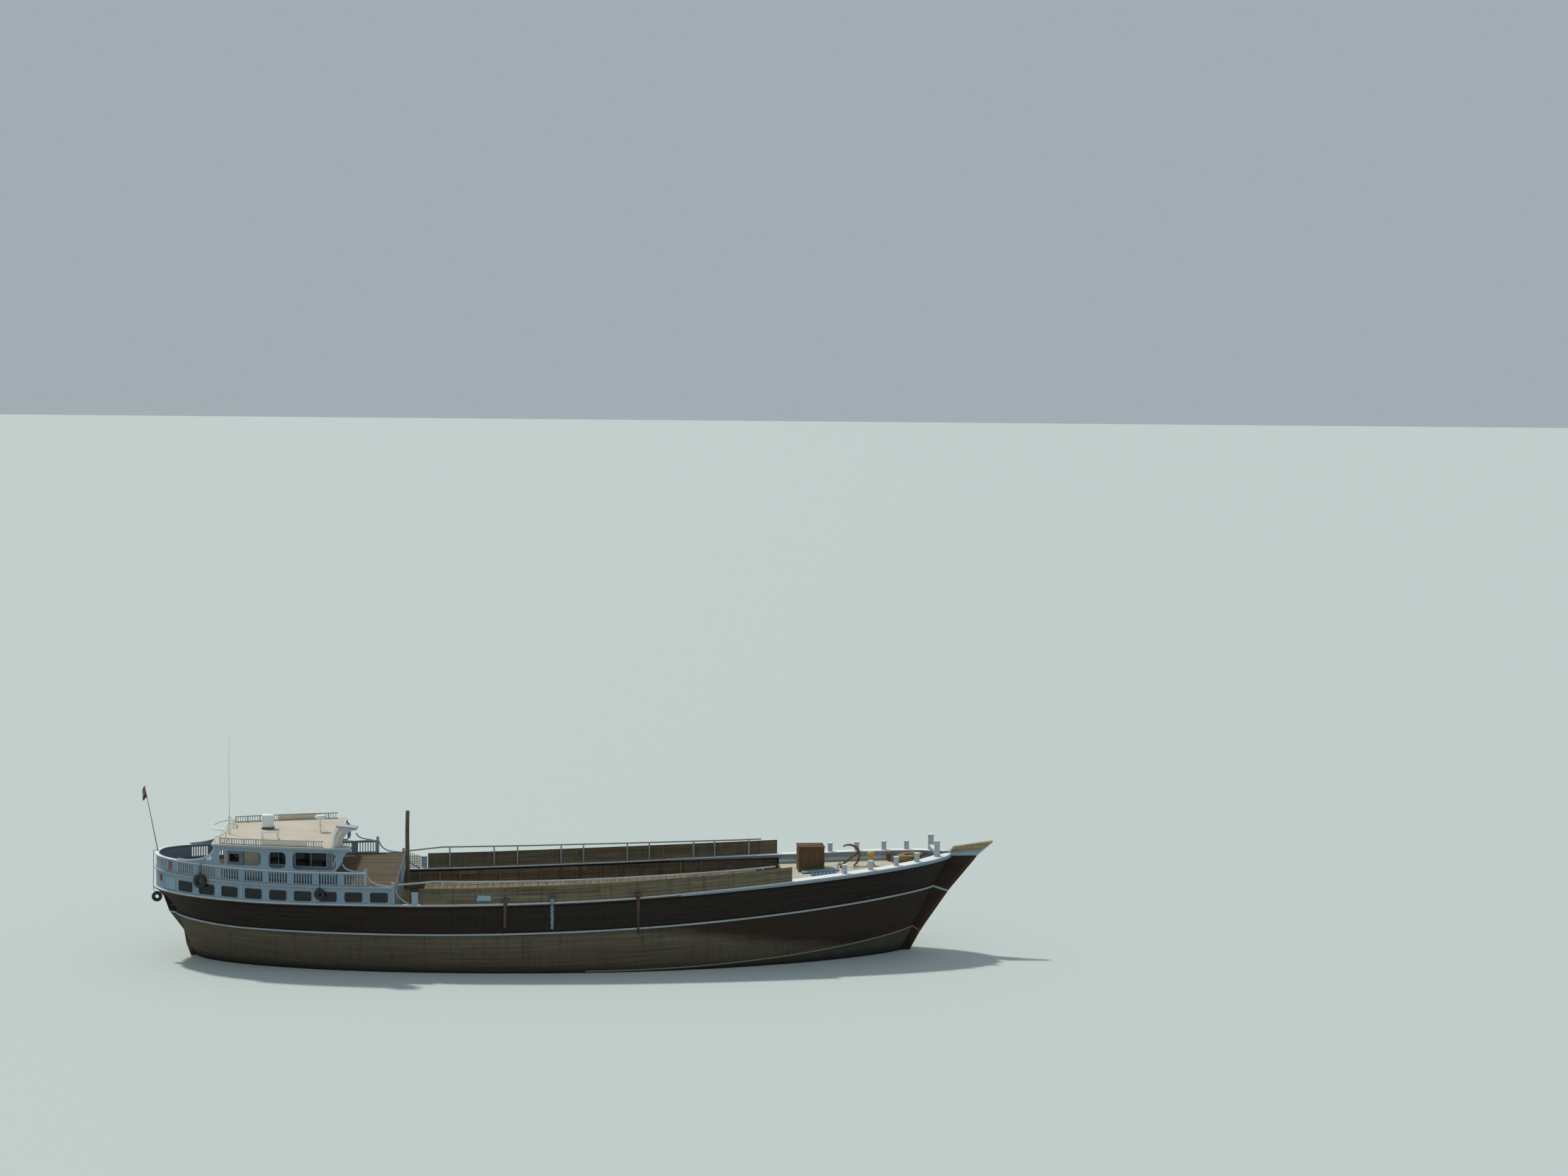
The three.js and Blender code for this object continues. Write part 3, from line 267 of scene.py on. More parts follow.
def place_camera():
    flat = Vector((sin(CAMERA_YAW), cos(CAMERA_YAW), 0))
    ahead = (flat * cos(CAMERA_PITCH) - Vector((0, 0, sin(CAMERA_PITCH)))).normalized()
    right = ahead.cross(Vector((0, 0, 1))).normalized()
    up = right.cross(ahead)
    tilted = right * cos(CAMERA_ROLL) + up * sin(CAMERA_ROLL)
    over = up * cos(CAMERA_ROLL) - right * sin(CAMERA_ROLL)
    data = bpy.data.cameras.new("camera")
    data.sensor_width = SENSOR
    data.lens = FOCAL_PIXELS / PHOTO_WIDTH * SENSOR
    data.clip_end = 5000
    camera = linked(data, "camera")
    turn = Matrix((tilted, over, -ahead)).transposed()
    camera.matrix_world = Matrix.Translation(CAMERA_PLACE) @ turn.to_4x4()
    bpy.context.scene.camera = camera


def linked(data, name="piece"):
    piece = bpy.data.objects.new(name, data)
    bpy.context.scene.collection.objects.link(piece)
    return piece


place_camera()


# Making shapes

def pick(*pieces):
    bpy.ops.object.select_all(action="DESELECT")
    for piece in pieces:
        piece.select_set(True)
    if pieces:
        bpy.context.view_layer.objects.active = pieces[0]


@contextlib.contextmanager
def editing(piece):
    """Edit mode on one piece, all of it selected."""
    pick(piece)
    bpy.ops.object.mode_set(mode="EDIT")
    bpy.ops.mesh.select_all(action="SELECT")
    yield
    bpy.ops.object.mode_set(mode="OBJECT")


def placed(x=0.0, y=0.0, z=0.0, angle=0.0, axis="Z"):
    """Matrix that turns about an axis and then moves to a place."""
    return Matrix.Translation((x, y, z)) @ Matrix.Rotation(angle, 4, axis)


def moved(piece, change):
    """The same piece moved by a matrix; a mirrored one keeps its faces outward."""
    piece.data.transform(change)
    if change.determinant() < 0:
        piece.data.flip_normals()
    return piece


def settled(piece):
    """The object's place, turn and scale go into its mesh."""
    pick(piece)
    bpy.ops.object.transform_apply(location=True, rotation=True, scale=True)
    return piece


def beam(low, high, edge=0.004):
    """A squared timber between two corners, its edges eased."""
    pick()
    bpy.ops.mesh.primitive_cube_add(size=1, location=[(a + b) / 2 for a, b in zip(low, high)])
    piece = bpy.context.object
    piece.scale = [b - a for a, b in zip(low, high)]
    least = min(piece.scale)
    settled(piece)
    if edge:
        with editing(piece):
            bpy.ops.mesh.bevel(offset=min(edge, 0.3 * least), segments=2)
    return piece


def rod(start, end, radius, end_radius=None, sides=16, edge=0.003):
    """A round bar between two points, straight or tapered, its rims eased."""
    start, end = Vector(start), Vector(end)
    pick()
    bpy.ops.mesh.primitive_cone_add(
        vertices=sides, radius1=radius, radius2=radius if end_radius is None else end_radius,
        depth=(end - start).length, location=(start + end) / 2,
        rotation=(end - start).to_track_quat("Z", "Y").to_euler())
    piece = settled(bpy.context.object)
    if edge:
        with editing(piece):
            bpy.ops.mesh.select_all(action="DESELECT")
            bpy.ops.mesh.edges_select_sharp(sharpness=radians(50))
            bpy.ops.mesh.bevel(offset=edge, segments=2)
    return piece


def ring_bar(radius, bar, place, turn, steps):
    """A round bar closed to a ring."""
    pick()
    bpy.ops.mesh.primitive_torus_add(major_radius=radius, minor_radius=bar, major_segments=steps[0],
                                     minor_segments=steps[1], location=place, rotation=turn)
    return settled(bpy.context.object)


def whole(doubles):
    """Joins points that lie on one another and turns all faces outward."""
    bpy.ops.mesh.select_all(action="SELECT")
    bpy.ops.mesh.remove_doubles(threshold=doubles)
    bpy.ops.mesh.normals_make_consistent(inside=False)


def turned(profile, place=(0, 0, 0), steps=20, turn=Matrix()):
    """A piece turned on the lathe: radius and height pairs, spun about the upright axis."""
    mesh = bpy.data.meshes.new("turned")
    mesh.from_pydata([(r, 0, z) for r, z in profile], [(i, i + 1) for i in range(len(profile) - 1)], [])
    piece = linked(mesh)
    with editing(piece):
        bpy.ops.mesh.spin(steps=steps, angle=2 * pi, center=(0, 0, 0), axis=(0, 0, 1))
        whole(0.0002)
    return moved(piece, Matrix.Translation(place) @ turn)


def curve_of(rings, closed, flat=False):
    curve = bpy.data.curves.new("curve", "CURVE")
    curve.dimensions = "2D" if flat else "3D"
    for ring in rings:
        spline = curve.splines.new("POLY")
        spline.points.add(len(ring) - 1)
        for point, spot in zip(spline.points, ring):
            point.co = (*spot, 0, 1) if flat else (*spot, 1)
        spline.use_cyclic_u = closed
    return curve


def converted(curve):
    pick(linked(curve))
    bpy.ops.object.convert(target="MESH")
    return bpy.context.object


def pipe(points, radius):
    """A round bar or rope bent along a list of points."""
    curve = curve_of([points], False)
    curve.bevel_depth = radius
    curve.bevel_resolution = 2
    curve.use_fill_caps = True
    return converted(curve)


def plate(outline, holes=(), thick=0.02, edge=0.003, face=0.0):
    """A board cut to an outline in x and z, with holes and eased edges. face is its outer side's y."""
    curve = curve_of([outline, *(hole[::-1] for hole in holes)], True, flat=True)
    curve.fill_mode = "BOTH"
    curve.extrude = thick / 2 - edge
    curve.bevel_depth = edge
    curve.bevel_resolution = 1
    curve.offset = -edge
    piece = converted(curve)
    with editing(piece):
        whole(0.0001)
    return moved(piece, placed(y=face - thick / 2, angle=QUARTER_TURN, axis="X"))


def corner_arcs(x0, x1, z0, z1, radius, steps):
    """A rectangle's corners as quarter circles, from the first to the last of their points."""
    corners = [(x1 - radius, z1 - radius), (x0 + radius, z1 - radius), (x0 + radius, z0 + radius),
               (x1 - radius, z0 + radius)]
    return [(x + radius * cos(a), z + radius * sin(a)) for quarter, (x, z) in enumerate(corners)
            for a in (QUARTER_TURN * (quarter + k / steps) for k in range(steps + 1))]


def rectangle(x0, x1, z0, z1, radius=0.0, steps=5, grow=0.0):
    """Outline of a rectangle in x and z, its corners rounded; grow moves each side outwards."""
    x0, x1, z0, z1 = x0 - grow, x1 + grow, z0 - grow, z1 + grow
    return corner_arcs(x0, x1, z0, z1, radius, steps) if radius else [(x0, z0), (x1, z0), (x1, z1), (x0, z1)]


def window(opening, wide, thick=0.018, face=0.0, pane_face=-0.03):
    """Frame and pane of a window. opening is its x and z ends, wide the frame's reach past them."""
    ring = plate(rectangle(*opening, grow=wide), [rectangle(*opening, grow=-0.008)], thick, 0.003, face)
    return ring, plate(rectangle(*opening, grow=0.004), (), 0.006, 0.001, pane_face)


def windows_across(opening, wide, thick, depth, x, way, places):
    """Windows in a wall across the boat; way is 1 when it looks aft. Gives the frames and the panes."""
    frames, panes = [], []
    for y in places:
        for piece, row in zip(window(opening, wide, thick, pane_face=-depth), (frames, panes)):
            row.append(moved(piece, placed(x, y, 0, way * QUARTER_TURN)))
    return frames, panes


def meshed(points, faces):
    mesh = bpy.data.meshes.new("mesh")
    mesh.from_pydata(points, [], faces)
    mesh.validate()
    return linked(mesh)


def lofted(rings):
    """Closed skin through rings of equal length, capped at both ends, faces pointing out."""
    rings = np.asarray(rings, float)
    rows, count = rings.shape[:2]
    faces = [(j * count + i, j * count + (i + 1) % count, (j + 1) * count + (i + 1) % count,
              (j + 1) * count + i) for j in range(rows - 1) for i in range(count)]
    last = (rows - 1) * count
    faces += [tuple(range(count))[::-1], tuple(range(last, last + count))]
    points = rings.reshape(-1, 3)
    volume = sum(np.dot(points[f[0]], np.cross(points[f[k]], points[f[k + 1]]))
                 for f in faces for k in range(1, len(f) - 1))
    if volume < 0:
        faces = [f[::-1] for f in faces]
    return meshed(points.tolist(), faces)


def directions(path):
    """Unit direction of a path at each of its points."""
    flow = np.gradient(np.asarray(path), axis=0)
    return flow / np.linalg.norm(flow, axis=1, keepdims=True)


def ribbon(path, section, across):
    """Strip along a path of x and z. Its section's out and up pairs go up square to the path; across
    turns x and out into a place in plan."""
    rings = []
    for (x, z), (fx, fz) in zip(path, directions(path)):
        spots = [(across(x, out), up) for out, up in section]
        rings.append([(px - fz * up, py, z + fx * up) for (px, py), up in spots])
    return lofted(rings)


def smoothed(points, per=6):
    """Catmull-Rom curve through points."""
    points = np.asarray(points, float)
    padded = np.concatenate([[2 * points[0] - points[1]], points, [2 * points[-1] - points[-2]]])
    curve = []
    for k in range(len(points) - 1):
        a, b, c, d = padded[k:k + 4]
        for t in np.arange(per) / per:
            curve.append(0.5 * (2 * b + (c - a) * t + (2 * a - 5 * b + 4 * c - d) * t * t
                                + (3 * b - a - 3 * c + d) * t ** 3))
    return np.array(curve + [points[-1]])


def merged(pieces):
    """Several pieces as one object."""
    pieces = list(pieces)
    pick(*pieces)
    if len(pieces) > 1:
        bpy.ops.object.join()
    return pieces[0]


def copied(piece, change=Matrix()):
    """A copy with its own mesh, moved by a matrix."""
    twin = piece.copy()
    twin.data = piece.data.copy()
    bpy.context.scene.collection.objects.link(twin)
    return moved(twin, change)


def repeated(piece, places):
    """One object from copies of a piece at several places; the piece itself is used up."""
    copies = [copied(piece, Matrix.Translation(place)) for place in places]
    bpy.data.objects.remove(piece)
    return merged(copies)


def mirrored(piece):
    """The same piece on the other side of the boat."""
    return copied(piece, Matrix.Scale(-1, 4, (0, 1, 0)))


def to_starboard(piece):
    """A piece drawn to port, on the other side instead."""
    return moved(piece, Matrix.Scale(-1, 4, (0, 1, 0)))


def sliced(piece, places, direction=(1, 0, 0)):
    """Cuts across a flat piece, so that it can be bent."""
    with editing(piece):
        for place in places:
            bpy.ops.mesh.select_all(action="SELECT")
            bpy.ops.mesh.bisect(plane_co=[place * v for v in direction], plane_no=direction)
    return piece


def coordinates(piece):
    flat = np.zeros(len(piece.data.vertices) * 3)
    piece.data.vertices.foreach_get("co", flat)
    return flat.reshape(-1, 3)


def reshaped(piece, points):
    """The same piece with its points moved to new places."""
    piece.data.vertices.foreach_set("co", np.asarray(points).ravel())
    piece.data.update()
    return piece


def wrapped(piece, base, top=None, height=1.0):
    """Bends a piece round the hull: its x is the distance along the sheer line, its y the distance
    outside it and its z the height over base. With top, height is stretched to reach from base to top."""
    s, out, up = coordinates(piece).T
    x, y, nx, ny = along_plan(s)
    low = base(x)
    z = low + (up if top is None else up / height * (top(x) - low))
    return reshaped(piece, np.stack([x + nx * out, y + ny * out, z], axis=1))


def marked(piece, values):
    """Stores the board attribute: each point's place along and across its board, and its number."""
    attributes = piece.data.attributes
    attribute = attributes.get("board") or attributes.new("board", "FLOAT_VECTOR", "POINT")
    attribute.data.foreach_set("vector", np.asarray(values, np.float32).ravel())
    return piece


def grained(piece, along=0, across=2):
    """One board of its own: its grain runs along one axis, its width along another."""
    co = coordinates(piece)
    number = chance.random()
    return marked(piece, np.stack([co[:, along], co[:, across], np.full(len(co), number)], axis=1))


def rail(s_from, s_to, outer, inner, low, high, step=0.12, radius=0.006):
    """A timber that follows the sheer line between two distances. outer and inner are distances
    outside the line, low and high heights; each is a number or a function of x."""
    count = max(2, int(abs(s_to - s_from) / step) + 1)
    spots = np.linspace(s_from, s_to, count)
    rings, marks = [], []
    for s in spots:
        x, y, nx, ny = along_plan(s)
        out, into, under, over = (v(x) if callable(v) else v for v in (outer, inner, low, high))
        section = corner_arcs(into, out, under, over, radius, 2)
        rings.append([(x + nx * away, y + ny * away, up) for away, up in section])
        marks += [(s, k / len(section), 0.5) for k in range(len(section))]
    return marked(lofted(rings), marks)


def refined(node, edge=0.004):
    """A copy of a frame piece with its flat faces whole again and its edges eased."""
    piece = copied(frame["nodes"][node])
    piece.parent = None
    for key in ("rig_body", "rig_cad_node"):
        del piece[key]
    with editing(piece):
        bpy.ops.mesh.remove_doubles(threshold=0.00005)
        bpy.ops.mesh.dissolve_limited(angle_limit=radians(1))
    bevel = piece.modifiers.new("edges", "BEVEL")
    bevel.width = edge
    bevel.segments = 2
    bevel.angle_limit = radians(35)
    bevel.use_clamp_overlap = True
    bpy.ops.object.modifier_apply(modifier=bevel.name)
    return piece


def done(piece, name, finish, body="hull", nodes=(), smooth=32):
    """Names a finished piece, gives it its material and puts it on its body."""
    piece.name = name
    piece.data.name = name
    piece.data.materials.clear()
    piece.data.materials.append(finish)
    pick(piece)
    bpy.ops.object.shade_smooth_by_angle(angle=radians(smooth))
    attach(piece, body)
    if nodes:
        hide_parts(*nodes)
    return piece


def both(piece, name, finish, nodes=()):
    """Finishes a port piece and its twin to starboard. nodes are stems that end in _port or _starboard."""
    for side, half in (("port", piece), ("starboard", mirrored(piece))):
        done(half, f"{name}_{side}", finish, nodes=[f"{n}_{side}" for n in nodes])


def from_node(node, name, finish, edge, along=0, across=2, body="hull"):
    """A node of the frame with its edges eased and its grain laid."""
    done(grained(refined(node, edge), along, across), name, finish, body, [node])


# Materials

def colour(code):
    """sRGB hex to the linear numbers that shaders take."""
    parts = [int(code[i:i + 2], 16) / 255 for i in (1, 3, 5)]
    return [c / 12.92 if c <= 0.04045 else ((c + 0.055) / 1.055) ** 2.4 for c in parts] + [1.0]


def put(tree, kind, inputs=(), out=0, **settings):
    """Adds one node with its settings and links. A dot in kind is followed by the node's operation.
    Inputs are numbers, sRGB hex values or the outputs that feed them, by place or by name; the
    answer is the output asked for."""
    kind, _, operation = kind.partition(".")
    node = tree.nodes.new("ShaderNode" + kind)
    if operation:
        node.operation = operation
    for key, value in settings.items():
        setattr(node, key, value)
    for key, value in inputs.items() if isinstance(inputs, dict) else enumerate(inputs):
        if isinstance(value, bpy.types.NodeSocket):
            tree.links.new(value, node.inputs[key])
        else:
            node.inputs[key].default_value = colour(value) if isinstance(value, str) else value
    return node.outputs[out]


def surface(name, roughness, metallic=0.0, ior=1.5, **more):
    """A new material, its tree, its shader and the place on the boat that its patterns read."""
    material = bpy.data.materials.new(name)
    material.use_nodes = True
    tree = material.node_tree
    shader = tree.nodes["Principled BSDF"]
    for key, value in {"Roughness": roughness, "Metallic": metallic, "IOR": ior, **more}.items():
        shader.inputs[key].default_value = value
    return material, tree, shader, put(tree, "TexCoord", out="Object")


def board_of(tree):
    """The board attribute, and its three numbers apart."""
    board = put(tree, "Attribute", out="Vector", attribute_name="board")
    return board, put(tree, "SeparateXYZ", [board]).node.outputs


def patches(tree, place, sizes, low=0.0, high=1.0, most=1.0, detail=4.0, rough=0.6):
    """Clouds of the given sizes in mm along x, y and z: 0 below low, most above high."""
    scaled = put(tree, "VectorMath.MULTIPLY", [place, [1000 / size for size in sizes]])
    cloud = put(tree, "TexNoise", {"Vector": scaled, "Scale": 1.0, "Detail": detail, "Roughness": rough})
    return put(tree, "MapRange", [cloud, low, high, 0, most])


def coats(tree, base, *layers):
    """Colours laid over one another, each where its own factor lets it show."""
    for factor, coat in layers:
        base = put(tree, "Mix", {0: factor, 6: base, 7: coat}, 2, data_type="RGBA")
    return base


def finished(tree, shader, base, rough, height, depth):
    """Joins a material's colour, its roughness and its bump to the shader."""
    bump = put(tree, "Bump", {"Height": height, "Distance": depth, "Strength": 0.7})
    for source, key in ((base, "Base Color"), (rough, "Roughness"), (bump, "Normal")):
        tree.links.new(source, shader.inputs[key])


def timber(name, dark, light, faded, stain, stained=0.35, plank=3.2, own_tone=0.38, roughness=0.82,
           lines=(), zones=None):
    """Sawn and weathered planks. The board attribute holds the way along and across each plank and its
    own number, so grain and tone follow the plank; stains run down and the sun fades whole patches.
    lines are thin streaks of another colour along the planks: colour, how much they show, their width."""
    material, tree, shader, place = surface(name, roughness, **{"Specular IOR Level": 0.15})
    board, (along, across, number) = board_of(tree)
    lengths = put(tree, "Math.MULTIPLY", [along, 1 / plank])
    shifted = put(tree, "Math.MULTIPLY_ADD", [number, 37.7, lengths])
    pair = put(tree, "CombineXYZ", [put(tree, "Math.FLOOR", [shifted]), number])
    tone = put(tree, "TexWhiteNoise", {"Vector": pair}, noise_dimensions="2D")
    grain = patches(tree, board, (620, 18, 110), detail=5.0, rough=0.65)
    streak = patches(tree, board, (2000, 70, 43), detail=3.0, rough=0.5)
    shade = put(tree, "Math.MULTIPLY_ADD", [tone, own_tone, grain])
    shade = put(tree, "Math.MULTIPLY_ADD", [streak, 0.9, shade])
    middle = 0.95 + 0.5 * own_tone
    shade = put(tree, "MapRange", [shade, middle - 0.30, middle + 0.30])
    base = coats(tree, dark, (shade, light),
                 (patches(tree, place, (1800, 1800, 770), 0.46, 0.70, 0.55, 3.0), faded),
                 (patches(tree, place, (110, 110, 1800), 0.52, 0.74, stained), stain))
    for code, most, spread in lines:
        base = coats(tree, base, (patches(tree, board, (3600, spread, 37), 0.62, 0.68, most, 3.0), code))
    gone = put(tree, "Math.FRACT", [shifted])
    seam = put(tree, "Math.LESS_THAN", [gone, 0.008 / plank])
    base = coats(tree, base, (seam, stain))
    if zones:
        base = zones(tree, place, across, base)
    rough = put(tree, "MapRange", [grain, 0.3, 0.7, roughness - 0.10, min(1.0, roughness + 0.12)])
    height = put(tree, "Math.MULTIPLY_ADD", [seam, -1.6, grain])
    finished(tree, shader, base, rough, height, 0.0024)
    return material


def paint(name, coat, worn, grime, grimed=0.35, wear=0.66, roughness=0.5, seams=0.0, sides=None):
    """Brushed enamel over boards, chalked by the sun: it chips down to the wood, dirt runs down from
    ledges, and the boards' edges show faintly where seams gives their width. sides, when given, is
    painted shade: a duller colour laid on upright faces so that they read darker than the tops."""
    material, tree, shader, place = surface(name, roughness)
    run = patches(tree, place, (90, 90, 1250), detail=4.0, rough=0.65)
    chip = patches(tree, place, (60, 60, 60), wear, wear + 0.03, 0.8, 5.0, 0.7)
    brush = patches(tree, place, (33, 33, 11), 0.40, 0.75, 1.0, 2.0)
    base = coats(tree, coat,
                 (patches(tree, place, (1250, 1250, 1250), 0.30, 0.80, grimed, 3.0, 0.5), grime),
                 (put(tree, "MapRange", [run, 0.52, 0.80, 0, grimed]), grime),
                 (put(tree, "MapRange", [brush, 0, 1, 0, 0.05]), "#ffffff"),
                 (patches(tree, place, (260, 260, 140), 0.60, 0.72, 0.30, 5.0, 0.7), grime),
                 (chip, worn))
    if sides:
        # Painted shade: upright faces take the duller sides colour, and tops keep the coat.
        side_shade = put(tree, "NewGeometry", out="Normal")
        side_shade = put(tree, "SeparateXYZ", [side_shade], 2)
        base = coats(tree, base, (put(tree, "MapRange", [side_shade, 0.75, 0.45, 0, 0.85]), sides))
    height = put(tree, "Math.MULTIPLY_ADD", [brush, 0.25, chip])
    if seams:
        width = put(tree, "Math.DIVIDE", [board_of(tree)[1][1], seams])
        left = put(tree, "Math.FRACT", [width])
        edge = put(tree, "Math.LESS_THAN", [left, 0.006 / seams])
        base = coats(tree, base, (put(tree, "MapRange", [edge, 0, 1, 0, 0.12]), "#20262a"))
        height = put(tree, "Math.MULTIPLY_ADD", [edge, -0.8, height])
    rough = put(tree, "MapRange", [run, 0, 1, roughness - 0.08, roughness + 0.25])
    finished(tree, shader, base, rough, height, 0.0009)
    return material


def water_mark(tree, z):
    """Where the water keeps the wood wet."""
    return put(tree, "MapRange", [z, 0.26, 0.03, 0, 0.80]), "#15150f"


def bottom_zones(tree, place, across, base):
    """Darker wood high towards the bow, deeper brown towards the water, green-black bottom paint
    under the boot line and a dark wet band at the water."""
    x, _, z = put(tree, "SeparateXYZ", [place]).node.outputs
    lean = put(tree, "Math.MULTIPLY_ADD", [x, 0.15, z])
    lean = put(tree, "Math.ADD", [lean, patches(tree, place, (700, 700, 180), most=0.35)])
    bow_darkening = put(tree, "MapRange", [lean, 1.58, 1.92, 0, 0.88])
    deep = put(tree, "MapRange", [z, 0.95, 0.20, 0, 0.50])
    ahead = put(tree, "Math.MAXIMUM", [x, 0.0])
    ahead = put(tree, "Math.MULTIPLY", [ahead, 1 / BOOT_FORE_X])
    climb = put(tree, "Math.POWER", [ahead, BOOT_POWER])
    line = put(tree, "Math.MULTIPLY_ADD", [climb, BOOT_RISE, BOOT_AFT_Z])
    under = put(tree, "Math.LESS_THAN", [z, line])
    slime = coats(tree, "#3d403a", (patches(tree, place, (400, 400, 170), 0.35, 0.70, 0.8), "#525246"))
    return coats(tree, base, (deep, "#3f382c"), (bow_darkening, "#2c231c"), (under, slime), water_mark(tree, z))


def topside_zones(tree, place, across, base):
    """Black stripes under the cap rail and over the wale, reddish runs aft, and rust that bleeds from
    fastenings just over the wale. The stripe under the cap rail is painted shadow from the rail."""
    x = put(tree, "SeparateXYZ", [place], 0)
    aft = put(tree, "MapRange", [x, 2.0, -3.0])
    runs = patches(tree, place, (100, 100, 1400), 0.46, 0.66, 0.60, 3.0)
    runs = put(tree, "Math.MULTIPLY", [runs, aft])
    low = put(tree, "MapRange", [across, 0.085, 0.045, 0, 0.85])
    # Painted shadow: the top planks darken under the cap rail.
    high = put(tree, "MapRange", [across, 0.74, 0.79, 0, 0.75])
    near = put(tree, "MapRange", [across, 0.30, 0.10, 0, 0.9])
    rust = patches(tree, place, (130, 130, 330), 0.70, 0.76, 1.0, 2.0)
    rust = put(tree, "Math.MULTIPLY", [rust, near])
    return coats(tree, base, (runs, "#3a281e"), (low, "#12110f"), (high, "#171513"), (rust, "#7a4a26"))


def stem_zones(tree, place, across, base):
    """The stem is scraped along its fore edge, where the bare wood shows orange-brown."""
    x, _, z = put(tree, "SeparateXYZ", [place]).node.outputs
    lean = put(tree, "Math.MULTIPLY_ADD", [z, STEM_CURVE, STEM_LEAN])
    edge = put(tree, "Math.MULTIPLY_ADD", [z, lean, STEM_FOOT_X - STEM_STRIP])
    ahead = put(tree, "Math.SUBTRACT", [x, edge])
    ahead = put(tree, "Math.ADD", [ahead, patches(tree, place, (200, 200, 500), most=0.05)])
    bare = put(tree, "MapRange", [ahead, 0.02, 0.06, 0, 0.65])
    bare = put(tree, "Math.MULTIPLY", [bare, put(tree, "MapRange", [x, 8.0, 9.0])])
    wet = put(tree, "MapRange", [z, 0.45, 0.10, 0, 0.85])
    return coats(tree, base, (bare, "#4d3b28"), (wet, "#1c1e1a"))


def batten_zones(tree, place, across, base):
    """Rust has run over the batten where its last fastenings hold it to the stem."""
    x = put(tree, "SeparateXYZ", [place], 0)
    near = put(tree, "MapRange", [x, 9.98, 10.12, 0, 0.8])
    rusty = put(tree, "Math.MULTIPLY", [near, patches(tree, place, (60, 60, 60), 0.40, 0.55, 1.0, 3.0)])
    return coats(tree, base, (rusty, "#8a5527"))


def stern_zones(tree, place, across, base):
    """The sternpost is tarred above the wale and oiled below it, with a pale strip along its after edge."""
    x, _, z = put(tree, "SeparateXYZ", [place]).node.outputs
    tarred = put(tree, "MapRange", [z, 1.28, 1.32])
    edge = put(tree, "Math.MULTIPLY_ADD", [z, STERN_RAKE, STERN_FOOT_X])
    behind = put(tree, "Math.SUBTRACT", [edge, x])
    pale = put(tree, "MapRange", [behind, -0.05, 0.0, 0, 0.6])
    return coats(tree, base, (pale, "#8b7b5c"), (tarred, "#28221d"), water_mark(tree, z))


# Timber: dark, light, faded and stained tones, how much it is stained, plank length, own tone
WHOLE = 40.0
HULL_LOWER = timber("oiled_teak_planks", "#4b443a", "#706756", "#61594b", "#312b23", 0.50, 5.5, 0.12,
                    lines=(("#a08f6c", 0.55, 11), ("#1c1915", 0.80, 18)), zones=bottom_zones)
HULL_UPPER = timber("tarred_teak_planks", "#211f1b", "#322d28", "#2a2723", "#181613", 0.40, 6.0, 0.06,
                    roughness=0.80, lines=(("#554535", 0.45, 9),), zones=topside_zones)
POST_WOOD = timber("tarred_timber", "#29221c", "#3d3228", "#322a22", "#1c1814", 0.35, 9.0, 0.1,
                   zones=stem_zones)
STERN_WOOD = timber("oiled_stern_timber", "#474033", "#6b624d", "#5c5442", "#302a21", 0.45, 9.0, 0.1,
                    zones=stern_zones)
DECK_WOOD = timber("scrubbed_deck_boards", "#9d9885", "#d0cdbb", "#c3bfae", "#7a705b", 0.35, WHOLE)
# Dark boards for the main and poop decks: trodden wood. On the poop deck the dark tone is also painted shade
# for the shade under the roof.
DECK_DARK = timber("trodden_deck_boards", "#3f382d", "#6c624f", "#5d5443", "#2c261d", 0.45, WHOLE)
BEAK_WOOD = timber("bare_beak_boards", "#685c45", "#a89878", "#958868", "#463d2e", 0.4, WHOLE)
ROUGH_BOARDS = timber("rough_sawn_boards", "#504737", "#7c735d", "#716c5c", "#38332a", 0.45, WHOLE, 0.35,
                      roughness=0.9, lines=(("#8c8a7c", 0.35, 30), ("#2b261e", 0.5, 22)))
CEILING = timber("bare_ceiling_planks", "#4a4032", "#7a6c56", "#685c49", "#2e281f", 0.4, 4.0, 0.45)
SPAR_WOOD = timber("weathered_spar", "#4d4438", "#85755f", "#70634f", "#342d24", 0.35, WHOLE, 0.3)
HATCH_LID = timber("red_oxide_stained_boards", "#48372b", "#6e5443", "#604b3d", "#2e221a", 0.4, WHOLE, 0.4)
BROWN_TIMBER = timber("oiled_brown_timber", "#4a3a2a", "#7a6347", "#6b5840", "#2e2419", 0.4, WHOLE, 0.3)
WORN_BATTEN = timber("worn_painted_batten", "#b5ae98", "#e0dccb", "#cdc6b0", "#7c7460", 0.4, WHOLE,
                     zones=batten_zones)
SKID_WOOD = timber("scraped_skid_timber", "#3a3027", "#6b5745", "#54473a", "#221d18", 0.45, WHOLE, 0.5)

# Paint: coat, the wood or undercoat under its chips, grime, how grimed and how much is worn through
BOARD_WIDTH = 0.118
BLUE = paint("pale_blue_enamel", "#7991a1", "#5b5a55", "#62717a", seams=BOARD_WIDTH)
BLUE_TRIM = paint("pale_blue_trim_enamel", "#8ea4b1", "#5b5a55", "#6b7a82")
WHITE = paint("white_enamel", "#e2e8ea", "#7a7266", "#aab0b2", 0.30)
